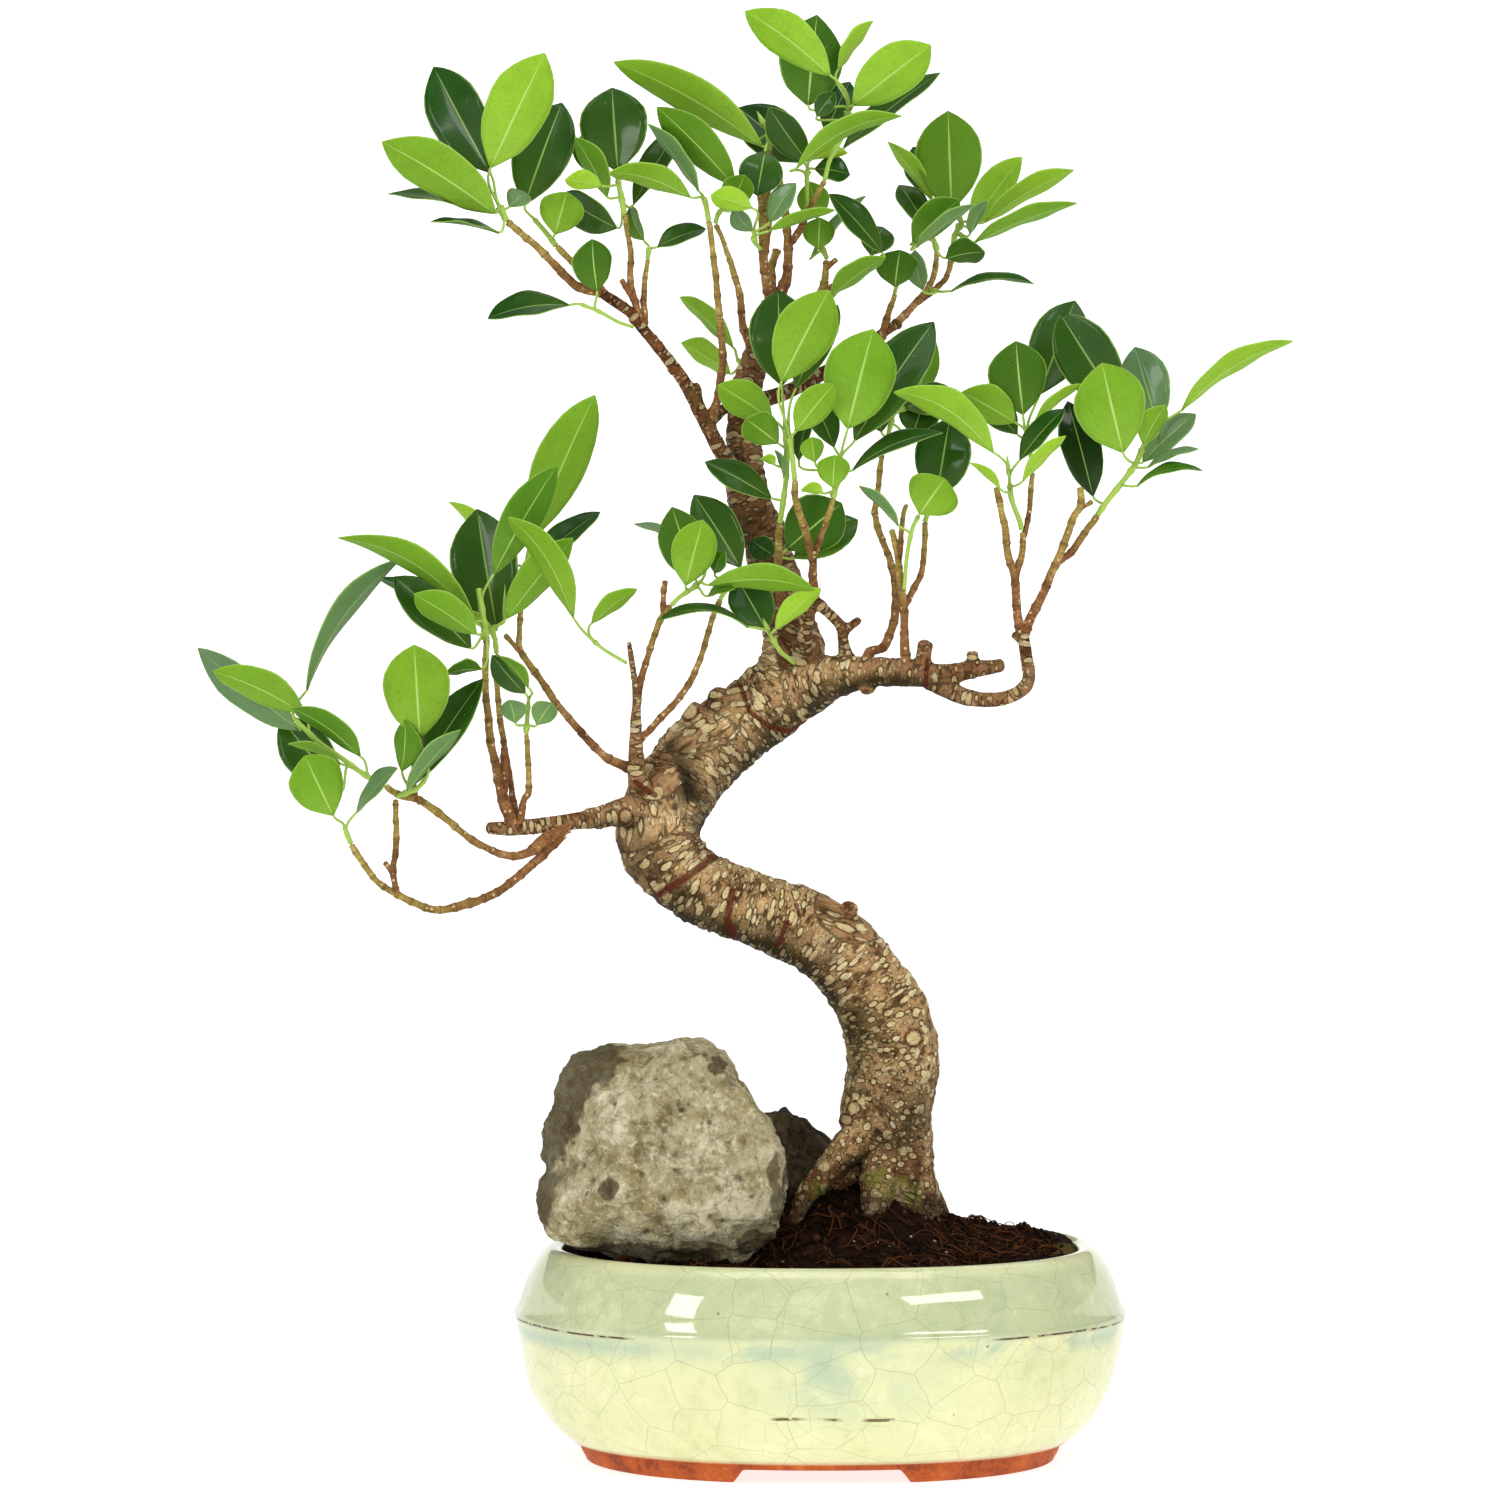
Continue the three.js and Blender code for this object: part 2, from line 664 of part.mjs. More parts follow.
function leaf(row, centres) {
  const [bx, bz, tx, tz, by, ty, width, turn, share, arch = 1] = row;
  const base = at(bx, bz, by);
  const tip = at(tx, tz, ty);
  const chord = tip.clone().sub(base);
  const along = chord.clone().normalize();
  const under = new THREE.Vector3(0, -1, 0).addScaledVector(along, along.y).normalize();
  under.applyAxisAngle(along, THREE.MathUtils.degToRad(turn));
  const side = along.clone().cross(under);
  const root = alongStem(centres, share);
  const reach = base.distanceTo(root.point);
  const bend = root.point.clone().addScaledVector(root.direction, 0.4 * reach);
  bend.add(base).addScaledVector(along, -0.4 * reach).multiplyScalar(0.5);
  const stalk = reach > 7 ? [root.point, bend, base] : [root.point, base];
  const rings = stalk.slice(0, -1).map((centre, i) => {
    const ahead = stalk[i + 1].clone().sub(centre).normalize();
    return section(centre, ahead, side, STALK_RADIUS, 0.8 * STALK_RADIUS);
  });
  for (const [t, breadth] of BLADE_OUTLINE) {
    const centre = base.clone().addScaledVector(chord, t).addScaledVector(under, -4 * arch * t * (1 - t));
    rings.push(section(centre, along, side, (breadth * width) / 2, BLADE_THICKNESS / 2));
  }
  return loft(rings, tip);
}

// Each shoot's green stem, in x, z, y and radius, and its blades
const SHOOTS = {
  left_end: {
    stem: [
      [-145.4, 222.9, -36.1, 1],
      [-151.7, 226.7, -37, 0.9],
      [-160, 232.7, -38, 0.9],
      [-166.7, 237.3, -39, 0.9],
      [-174.7, 245, -40, 0.7],
    ],
    blades: [
      [-171.7, 247, -202.3, 261.3, -42, -50, 15, -40, 0.8, 2],
      [-173.3, 241.7, -207.3, 269, -38, -30, 14, 150, 1],
      [-160, 221.7, -179.7, 245.7, -33, -27, 17, 175, 0.35],
      [-160, 230.5, -177.3, 237, -41, -45, 10, -70, 0.2],
      [-153.3, 233, -176, 249, -44, -54, 13, -50, 0.1, 2],
      [-171, 255, -139.3, 299, -38, -25, 16, 68, 1, 5],
    ],
  },
  left_low: {
    stem: [[-156.3, 203.9, -40, 0.9], [-157.5, 206.5, -40, 0.8], [-158.3, 209, -40.5, 0.7]],
    blades: [
      [-162.3, 213.3, -171.7, 233, -46, -58, 18, 10, 1],
      [-154.3, 214.3, -140.7, 229, -43, -54, 11, 120, 0.6],
    ],
  },
  left_upright: {
    stem: [
      [-141, 219.4, -41.6, 0.8],
      [-138.5, 220.5, -42, 0.8],
      [-134.5, 222, -42, 0.8],
      [-132, 224.5, -42, 0.7],
    ],
    blades: [
      [-139.3, 228, -138.3, 245, -45, -48, 11, -35, 0.3],
      [-133.3, 239, -135.3, 270, -46, -58, 22, 5, 1],
      [-136, 223, -112.3, 258.7, -40, -32, 15, 145, 0.6],
      [-137.7, 221.5, -119.7, 241.7, -46, -50, 11, 60, 0.3],
    ],
  },
  left_middle_a: {
    stem: [
      [-111.3, 271.9, -27.4, 1.1],
      [-112, 277, -27.7, 1.1],
      [-112.7, 281.7, -28, 1.1],
      [-113.7, 288.7, -28.5, 1],
    ],
    blades: [
      [-108.7, 293.7, -87.7, 329.7, -32, -40, 14, 25, 0.6, 2],
      [-115, 278.3, -160.7, 305.7, -32, -44, 15, -55, 0.3, 7],
      [-116.7, 278.3, -147.3, 292.3, -18, -10, 13, -120, 0.3],
      [-114.5, 273.7, -135.3, 287, -36, -48, 13, -30, 0.15],
      [-116.5, 269, -142, 292.7, -29, -22, 17, -150, 0.1],
    ],
  },
  left_middle_b: {
    stem: [[-107.8, 267.3, -19.6, 0.8], [-108.3, 271.7, -20, 0.8], [-109.3, 275, -20.5, 0.7]],
    blades: [
      [-107.7, 275.7, -114.3, 315.3, -14, -4, 23, 172, 1],
      [-104.3, 279, -82.3, 305.7, -22, -26, 15, 40, 0.8],
    ],
  },
  left_back: {
    stem: [
      [-98.9, 288.9, -9.9, 0.8],
      [-98.3, 291.7, -9, 0.8],
      [-97.3, 300, -7, 0.8],
      [-95, 308.3, -5, 0.7],
    ],
    blades: [
      [-95.5, 306, -75, 353.3, -8, -18, 19, 25, 0.8, 2],
      [-103.3, 298.3, -123.7, 317.7, 2, 10, 11, -65, 0.2],
      [-95.8, 296.3, -73.3, 314.3, -2, 6, 13, 130, 0.1],
    ],
  },
  left_rising_side: {
    stem: [[-64.5, 264, -18.3, 0.6], [-71.7, 268.3, -19, 0.6], [-75, 271, -20, 0.6]],
    blades: [
      [-82.3, 279.3, -104, 312.7, -28, -50, 13, -40, 1, 5],
    ],
  },
  left_under: {
    stem: [[-98, 240.5, -27, 0.8], [-97.7, 243.3, -27.5, 0.8], [-97.3, 250, -28, 0.7]],
    blades: [
      [-98.3, 254, -109.3, 266.7, -32, -36, 9, 160, 0.9],
    ],
  },
  top_left: {
    stem: [[-104.6, 411.5, -27.2, 1], [-105.7, 414, -27.5, 1], [-106.7, 416, -28, 0.9]],
    blades: [
      [-108.3, 414, -146, 437.7, -32, -44, 20, -35, 1, 2],
      [-110, 427.7, -128.7, 462.7, -24, -12, 20, 165, 1],
      [-109.7, 429.3, -91.7, 467.3, -32, -40, 21, 15, 1],
      [-107.7, 414.3, -144, 420.3, -25, -18, 14, -110, 0.8],
      [-107, 407.5, -129.7, 411, -31, -34, 12, -100, 0.1],
    ],
  },
  top_left_back: {
    stem: [[-88, 403.1, -11.9, 1], [-90.7, 406.7, -12, 0.9], [-95, 411.7, -12.5, 0.8]],
    blades: [
      [-98.3, 417, -86, 450.7, -11, 0, 20, 170, 1],
      [-88.3, 407, -84.3, 421, -17, -23, 15, 5, 0.2],
    ],
  },
  upper_left_low: {
    stem: [
      [-62.3, 376, -15.9, 0.6],
      [-67.3, 377.7, -18.5, 0.6],
      [-73.3, 381, -20.5, 0.6],
      [-79, 383.3, -21, 0.6],
    ],
    blades: [
      [-83.7, 383.3, -110.7, 378.7, -22, -28, 15, -125, 1, 2],
      [-74.3, 388, -76, 405.3, -24, -29, 14, 20, 0.7],
    ],
  },
  upper_left_fan: {
    stem: [[-65.2, 413.8, -17, 0.9], [-66, 418.3, -17.5, 0.9], [-67.3, 425, -18, 0.8]],
    blades: [
      [-67.7, 409, -86.3, 420, -12, -2, 13, 150, 0.4],
      [-75.3, 427, -77.7, 441, 5, 10, 11, 170, 0.9],
      [-71, 419.5, -81.7, 439.3, -20, -24, 12, -50, 0.4],
      [-67.3, 428, -69.3, 455.7, -14, -6, 23, 175, 1],
      [-62, 417, -45.3, 444.3, -6, 4, 12, 140, 0.2],
    ],
  },
  upper_left_twin: {
    stem: [[-57.4, 398.8, -10, 0.8], [-57, 402, -10.5, 0.7]],
    blades: [
      [-54, 402.7, -38, 408.7, -8, -6, 11, 130, 0.7],
    ],
  },
  top_a: {
    stem: [[-37.1, 411.4, -16, 0.9], [-38, 416.7, -16.5, 0.9], [-38.7, 419, -17, 0.8]],
    blades: [
      [-43.3, 419.3, -70.5, 427.3, -24, -36, 13, -55, 0.8, 3],
      [-40.5, 421.5, -57.3, 443.7, -19, -22, 11, -65, 1],
    ],
  },
  top_b: {
    stem: [[-34.8, 410.7, -10, 0.8], [-34, 413.5, -10, 0.8], [-32, 416, -10.5, 0.7]],
    blades: [
      [-28.3, 423, -54.3, 449.3, -13, -28, 14, -25, 1, 2],
      [-29.5, 415.5, -25, 426.7, -16, -20, 11, 15, 0.6],
    ],
  },
  top_c: {
    stem: [[-17, 434.9, -3, 0.9], [-17.2, 439, -3.5, 0.8], [-17.8, 443.5, -4, 0.7]],
    blades: [
      [-19.3, 436.3, -68.7, 464.3, -8, -22, 16, -40, 0.2, 4],
      [-21.7, 439, -51.7, 463, 2, 10, 13, -110, 0.5],
      [-18.3, 434.5, -21, 419.7, -10, -12, 15, 180, 0.1, 2],
    ],
  },
  top_c_low: {
    stem: [[-19.8, 402, -6.1, 0.7], [-21.5, 404, -8.7, 0.7], [-22, 406, -10, 0.7]],
    blades: [
      [-22.7, 415.7, -36.4, 420, -20, -27, 9, -30, 1],
      [-16.7, 411, -8, 424, -12, -15, 9, 150, 1],
    ],
  },
  top_e: {
    stem: [[-4.2, 414.2, -5.3, 0.7], [-4.3, 421.7, -2, 0.7], [-4.3, 427.7, 0, 0.7]],
    blades: [
      [-5.7, 431, -27.3, 449, 3, 10, 18, -165, 1],
      [-4.7, 432, -17, 449.3, -5, -13, 12, 160, 1],
      [-1.7, 428.7, 10, 426.7, 2, 4, 10, 150, 1],
      [-7.7, 429, 27.3, 446.3, -18, -26, 12, 60, 0.8, 5],
    ],
  },
  top: {
    stem: [[1.6, 425, -10, 0.8], [3.3, 431.7, -11, 0.8], [6.7, 438.3, -12, 0.8], [9.3, 447.7, -13, 0.7]],
    blades: [
      [3.3, 460, -25, 481.3, -18, -26, 16, -30, 1, 3],
      [-4, 450, -1, 480, -11, -4, 22, 10, 1],
      [11, 450, 37, 470, -17, -27, 18, 20, 1],
      [8, 435.7, 40, 460.7, -7, 2, 14, 125, 0.4],
      [2, 440.7, 10, 457.7, -5, 2, 11, 165, 0.6],
    ],
  },
  top_f: {
    stem: [[2.3, 398.8, 8.9, 0.8], [-0.2, 405, 8.2, 0.8], [-1, 409.5, 7.5, 0.7]],
    blades: [
      [-1, 412.3, -3.3, 424.5, 9, 9, 11, 0, 1],
      [-0.5, 402, 0, 412.5, 3, 1, 11, 5, 0.3],
    ],
  },
  top_f_cut: {
    stem: [[16.1, 396.1, 12, 0.8], [18.5, 397.3, 11, 0.8], [20, 398, 10.5, 0.7]],
    blades: [
      [20.5, 401, 3, 420.3, 6, 0, 12, -140, 1],
      [17, 400, 21, 409.3, 15, 19, 12, 170, 0.2],
    ],
  },
  top_f_low: {
    stem: [[6.2, 388.2, 10.4, 0.6], [4.5, 386.5, 8.5, 0.6]],
    blades: [[3.7, 386.5, 21.7, 399.3, 4, -3, 13, 60, 1]],
  },
  right_top: {
    stem: [[44.2, 403, 37, 0.8], [45, 406.7, 36, 0.8], [46.7, 410, 35, 0.7]],
    blades: [
      [44, 415.3, 42.7, 448, 30, 20, 23, 5, 0.9],
      [38.3, 420.3, 31, 436, 42, 48, 12, 160, 1],
      [37.3, 418.3, 22.7, 437.7, 34, 26, 10, -60, 0.9],
      [51.7, 404.3, 85.7, 417.3, 32, 24, 12, 65, 0.4, 1.5],
      [55, 411, 84.7, 428.3, 36, 36, 12, 55, 1, 2],
      [50.3, 409.7, 67.3, 432.7, 41, 48, 13, 25, 0.9],
    ],
  },
  right_top_low: {
    stem: [[39, 401.5, 32, 0.8], [38, 405, 31, 0.8], [36.5, 408, 30, 0.7]],
    blades: [
      [35, 409.5, 26.3, 423.3, 33, 40, 11, -150, 1],
      [31, 404.3, 46.5, 418.5, 21, 15, 14, 35, 0.3],
      [42, 399, 55, 401, 25, 19, 12, 45, 0.1],
    ],
  },
  right_top_stray: {
    stem: [[36.8, 388.5, 30.1, 0.6], [39, 388, 27.8, 0.6]],
    blades: [
      [43.7, 388, 71.3, 390.3, 24, 18, 10, 110, 1, 3],
    ],
  },
  back_b: {
    stem: [[24.9, 387.2, 26, 0.7], [25.5, 390, 25.5, 0.7]],
    blades: [[25, 389.5, 26.7, 401.7, 20, 15, 15, 8, 1]],
  },
  behind: {
    stem: [[-25.7, 362.4, 9.7, 0.7], [-27.3, 365, 11.5, 0.7]],
    blades: [
      [-29, 369.3, -46.7, 386, 12, 16, 12, -60, 1],
      [-30, 360.5, -46.3, 370.7, 12, 18, 12, -50, 0.2],
    ],
  },
  centre_a: {
    stem: [
      [-13.3, 310.8, -12, 1],
      [-11.7, 321.7, -14, 0.9],
      [-11, 330, -16, 0.9],
      [-11.7, 342, -17.5, 0.8],
    ],
    blades: [
      [-12.7, 356.7, -14, 388.3, -16, -7, 20, 175, 1],
      [-16, 345.3, -34, 356.7, -20, -26, 13, -20, 0.9],
      [-14, 337.3, -24.7, 345.3, -24, -34, 12, -15, 0.7],
      [-16.3, 319, -38.3, 331, -13, -10, 11, -150, 0.2],
    ],
  },
  centre_b: {
    stem: [[-8.4, 325.2, -25, 0.9], [-9.3, 333.3, -26, 0.9], [-10, 339, -27, 0.8]],
    blades: [
      [-12.7, 358, 3, 388.3, -31, -40, 20, 15, 1],
      [-8, 355.5, 6, 383.3, -24, -14, 13, 150, 1],
      [-8, 341.3, 4.7, 357, -32, -37, 12, 20, 0.9],
    ],
  },
  centre_c: {
    stem: [[4.3, 319.2, -22.9, 0.9], [6, 325, -24, 0.9], [6.7, 331, -25, 0.8]],
    blades: [
      [9.3, 342.3, 17.7, 375.3, -28, -33, 24, 8, 1],
      [11.7, 338.3, 38, 377.7, -22, -10, 19, 160, 1, 2],
      [4.7, 336, -4, 355.5, -21, -13, 11, -165, 1],
      [4.3, 322.5, 5, 333.3, -28, -33, 11, 5, 0.1],
      [11, 328.3, 41, 340.7, -23, -20, 11, 120, 0.6, 3],
    ],
  },
  middle_front: {
    stem: [
      [28.1, 288.6, -16.5, 0.7],
      [29, 299.3, -18, 0.7],
      [30.7, 308.3, -19.5, 0.7],
      [32.7, 312.7, -20, 0.7],
    ],
    blades: [
      [33.3, 313.7, 41.7, 325.5, -23, -27, 18, 5, 1],
    ],
  },
  middle_c: {
    stem: [[35, 311.2, -10.9, 0.9], [36, 314, -10.8, 0.8]],
    blades: [[39, 319.3, 43.3, 345.5, -10, -6, 19, 172, 1]],
  },
  middle_back: {
    stem: [[20.8, 333.8, -7, 0.8], [22.3, 338.3, -7.5, 0.8], [24, 345, -7, 0.7]],
    blades: [
      [31.7, 351, 38.7, 371, 2, 6, 10, 20, 1],
      [31, 340, 35, 351.7, -2, 1, 14, 170, 0.8],
      [28.3, 349, 46, 353.5, -3, 3, 12, 160, 1],
    ],
  },
  trunk_front: {
    stem: [[-14.6, 297.2, 4.4, 0.7], [-13.5, 299, 2, 0.7]],
    blades: [
      [-11, 302, 7.3, 317.3, 0, -6, 20, 10, 1],
      [-8.5, 299, 12.7, 311.7, 3.4, 9, 14, 160, 0.9],
    ],
  },
  rising_fork: {
    stem: [
      [-49.4, 283.4, -21.4, 0.8],
      [-46.7, 286, -22, 0.8],
      [-43.3, 288.3, -22.5, 0.8],
      [-41, 290, -23, 0.7],
    ],
    blades: [
      [-41.5, 292, -49.3, 316, -20, -17, 16, 8, 1],
      [-44.7, 290, -39, 311.7, -28, -34, 15, 10, 0.6],
      [-37, 290, -1.7, 288.3, -29, -35, 12, 45, 1, 4],
    ],
  },
  rising_side: {
    stem: [[-33.2, 285.4, -18, 0.8], [-31, 288.5, -18, 0.8], [-28.5, 291.5, -18, 0.7]],
    blades: [
      [-26.5, 296, -42, 320, -14, -8, 15, -165, 1],
    ],
  },
  shoulder: {
    stem: [[-8.6, 264, -1.6, 0.8], [-11, 266, -5, 0.8], [-13.3, 268, -8.5, 0.8], [-15.7, 272, -12, 0.7]],
    blades: [
      [-17.7, 274.7, -27.7, 292, -12, -6, 15, -170, 1],
      [-14.7, 275.3, 0.3, 289, -18, -25, 10, 45, 1],
    ],
  },
  right_a_front: {
    stem: [
      [67.1, 308.5, -18.4, 0.8],
      [66.7, 311, -18.5, 0.9],
      [64, 318.3, -20.5, 0.8],
      [63.3, 323.3, -21.5, 0.7],
    ],
    blades: [
      [57.7, 334.3, 24.7, 354.3, -34, -47, 16, -50, 0.9, 6],
      [66.7, 331.7, 81.7, 348.7, -26, -25, 11, 130, 1],
    ],
  },
  right_a_back: {
    stem: [[71, 327.8, -11.9, 0.8], [70.5, 332, -11, 0.8], [69.5, 337, -10.5, 0.7]],
    blades: [
      [65, 344.3, 47.3, 354.3, -18, -26, 14, -25, 1],
      [65.7, 340.3, 50.7, 354.3, -8, -3, 12, -155, 0.9],
      [67.7, 347, 65.3, 371.3, -17, -22, 20, 8, 1],
      [73.3, 353.7, 85, 384.7, -2, 10, 19, 170, 1],
    ],
  },
  right_b: {
    stem: [
      [92.6, 313.4, -17, 1],
      [96, 318.3, -17, 1],
      [100, 323.3, -17, 1],
      [105, 330, -17, 0.9],
      [107.3, 335, -17, 0.8],
    ],
    blades: [
      [101, 334.3, 94, 364, -28, -36, 24, 5, 0.7],
      [100, 349.3, 80, 380.5, -14, -8, 20, 170, 1],
      [112.7, 343.3, 105, 369.3, -8, 0, 17, 170, 1],
      [107.7, 337, 115.3, 350, -22, -27, 10, 35, 0.9],
      [107.7, 331, 125.3, 347, -12, -8, 12, 140, 0.8],
      [120.7, 348.3, 157.7, 371.3, -9, -14, 13, 60, 1, 4],
      [91, 319.7, 82.5, 351.3, -12, -7, 14, -170, 0.1],
    ],
  },
};

function shootShape({ stem: stations, blades }) {
  const centres = stations.map(([x, z, y]) => at(x, z, y));
  return joined([stem(stations, 4), ...blades.map((row) => leaf(row, centres))]).simplify(DETAIL);
}

// Assembly, with the middle of the whole object's box over the origin

const materials = {
  glaze: new THREE.MeshStandardMaterial({ color: 0xdfe5c8, roughness: 0.15, metalness: 0 }),
  soil: new THREE.MeshStandardMaterial({ color: 0x24160e, roughness: 0.95, metalness: 0 }),
  paleStone: new THREE.MeshStandardMaterial({ color: 0x9a957c, roughness: 0.85, metalness: 0 }),
  darkStone: new THREE.MeshStandardMaterial({ color: 0x3a352b, roughness: 0.7, metalness: 0 }),
  bark: new THREE.MeshStandardMaterial({ color: 0x96785a, roughness: 0.8, metalness: 0 }),
  leaf: new THREE.MeshStandardMaterial({ color: 0x4b8a24, roughness: 0.4, metalness: 0 }),
};

const bonsai = new THREE.Group();

function add(name, shape, material) {
  const mesh = new THREE.Mesh(geometryOf(shape), material);
  mesh.name = name;
  bonsai.add(mesh);
}

const { centre: frontCentre, facets: frontFacets } = FRONT_STONE;
const { centre: backCentre, facets: backFacets } = BACK_STONE;
add("pot", potShape(), materials.glaze);
add("soil", soilShape(), materials.soil);
add("stone_front", joined([stone(frontCentre, frontFacets, 16, 20, 14)]), materials.paleStone);
add("stone_back", joined([stone(backCentre, backFacets, 12, 14, 10)]), materials.darkStone);
add("trunk", trunkShape(), materials.bark);
for (const [name, shoot] of Object.entries(SHOOTS)) {
  add(`shoot_${name}`, shootShape(shoot), materials.leaf);
}

const middle = new THREE.Box3().setFromObject(bonsai).getCenter(new THREE.Vector3());
bonsai.position.set(-middle.x, -middle.y, 0);

export default bonsai;
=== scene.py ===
import math

import bmesh
import bpy
import numpy as np
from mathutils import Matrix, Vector
from mathutils.kdtree import KDTree


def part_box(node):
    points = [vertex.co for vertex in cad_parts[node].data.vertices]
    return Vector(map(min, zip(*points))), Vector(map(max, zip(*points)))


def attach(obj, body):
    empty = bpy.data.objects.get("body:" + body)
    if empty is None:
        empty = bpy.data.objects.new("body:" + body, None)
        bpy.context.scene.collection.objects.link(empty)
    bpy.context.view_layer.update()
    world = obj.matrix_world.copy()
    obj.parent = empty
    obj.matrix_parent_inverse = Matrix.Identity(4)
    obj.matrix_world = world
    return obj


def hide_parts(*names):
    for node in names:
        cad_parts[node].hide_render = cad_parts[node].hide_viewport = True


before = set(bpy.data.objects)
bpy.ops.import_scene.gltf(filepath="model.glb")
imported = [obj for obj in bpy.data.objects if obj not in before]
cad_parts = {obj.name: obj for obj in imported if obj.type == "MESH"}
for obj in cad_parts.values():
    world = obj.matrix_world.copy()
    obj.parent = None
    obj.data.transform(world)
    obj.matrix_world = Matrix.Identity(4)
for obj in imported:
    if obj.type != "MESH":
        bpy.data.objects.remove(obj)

bl_info = {
    "name": "Banyan Bonsai",
    "version": (1, 0, 0),
    "blender": (4, 5, 0),
    "location": "View3D > Sidebar > Bonsai",
    "description": "Builds the detailed surfaces of a banyan bonsai round its packed solids",
    "category": "Object",
}

# Lengths are in millimetres until a mesh is made, and places in the tables are x, z, y:
# as seen from the front at the viewing distance, then the depth, which is negative nearer the front.
MM = 0.001
VIEW_DISTANCE = 1850.0
VIEW_WIDTH = 500.0
SENSOR_WIDTH = 36.0
EYE_X = -23.3
EYE_Z = 285.0

# Stage: the round backdrop in metres with its glow and how far off it is full, and each lamp's place,
# width, height and power
BACKDROP_REACH = 6.0
BACKDROP_CURVE = 0.5
BACKDROP_HEIGHT = 1.4
BACKDROP_GLOW = 0.78
BACKDROP_GLOW_RISE = 0.2
BACKDROP_GLOW_FROM = 0.9
BACKDROP_GLOW_TO = 2.6
WORLD_STRENGTH = 0.25
LAMP_TARGET = (0.0, 0.0, 0.2)
LAMPS = {
    "lamp_left": ((-1.25, -1.5, 1.1), 0.42, 0.62, 11),
    "lamp_right": ((1.15, -1.5, 1.35), 1.0, 0.32, 12),
    "lamp_top": ((0.0, -0.45, 1.6), 1.3, 0.9, 10),
    "lamp_back": ((0.4, 0.8, 1.4), 1.2, 0.8, 3),
}

# The part's place in the frame
POT_BOX = [list(corner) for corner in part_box("pot")]
MIDDLE = np.array([(POT_BOX[0][0] + POT_BOX[1][0]) / 2, (POT_BOX[0][1] + POT_BOX[1][1]) / 2, 0.0]) / MM
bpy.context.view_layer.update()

# Pot: half length and height of each ring, from the foot up the outside, over the rim and down inside
POT_DEPTH_RATIO = 0.79
POT_PROFILE = [
    (63, 4.6), (64, 1.2), (65.5, 0), (76.5, 0), (78.2, 1), (79.6, 3.6), (80.2, 5.6), (80.6, 6.2),
    (82.2, 6.4), (83, 7), (86.6, 9.6), (89.4, 12.4), (92.2, 15.8), (94.6, 19.8), (96.6, 24.4), (98.2, 30),
    (99.6, 36), (100.7, 42), (101.4, 46), (101.8, 48), (101.7, 49.2), (100.9, 50.4), (100, 52.6), (99, 56),
    (97.6, 59.8), (95.9, 63.2), (93.7, 66.8), (91.6, 69.3), (89.6, 70.4), (87.6, 70.5), (86.1, 69.7),
    (85.5, 68.4), (86.3, 64.5), (87.8, 58), (88.6, 50),
]
FOOT_HEIGHT = 4.6
ARCH_HALF_WIDTH = 26.0
OVAL_POWER = 2.25
KILN_LINE_HEIGHT = 48.0
KILN_DASH_HEIGHT = 22.9
KILN_DASHES = [(-11.5, 5), (3, 3), (18, 5)]
DRAIN_X = 36.0
DRAIN_DEPTH = 4.5

# Wood: each station is x, z, y and radius
TRUNK = [
    (26, 73, 9, 13.6), (25.6, 85, 8, 13.4), (25, 94, 7, 13.2), (23.4, 103, 6, 14.2), (22, 112, 5, 15.4),
    (23.2, 121, 4, 15.3), (24, 131, 3, 15.2), (23.2, 141, 2, 15.2), (19.5, 150, 1, 14.8),
    (13, 160, 0, 14.2), (5, 169, -1, 13.6), (-5, 175.5, -2, 13), (-16, 179.5, -3, 12.4),
    (-29, 184, -4, 12.2), (-40, 189.5, -4, 12.4), (-49, 197, -3, 13), (-53.5, 207, -1, 14.2),
    (-50, 219, 3, 14.4), (-43, 229, 6, 14), (-34, 238, 8, 13.6), (-23, 246, 9, 12.6), (-12.5, 254, 9, 13),
    (-9, 264, 10, 11), (-9.5, 274, 12, 9.5), (-12, 284, 13, 8.8), (-15.5, 295, 13, 8.2),
    (-18.5, 306, 12, 7.8), (-22.5, 315, 10, 7.4), (-25, 324, 9, 6.8), (-25, 334, 8, 6.2),
    (-25.5, 344, 7, 5.7), (-24.5, 355, 6, 5.2), (-21.5, 365, 5, 4.7), (-18, 375, 4, 4.3),
    (-15.5, 384, 3, 4),
]

ROOTS = [
    [
        (20, 112, 2, 8), (12, 105, -3, 6.6), (6, 98.5, -6, 5.4), (0, 92, -8, 4.6), (-5, 86, -9, 3.6),
        (-9, 77, -9, 2.4),
    ],
    [(27, 102, 10, 8), (34, 90, 17, 5.4), (41, 78, 24, 3.4)],
    [(22, 100, 0, 8), (19.5, 90, -5, 6.2), (18, 79, -10, 4)],
    [(20, 105, 4, 8), (12, 95, 5, 6.6), (4, 85, 7, 5), (-2, 76, 8, 3.6)],
]

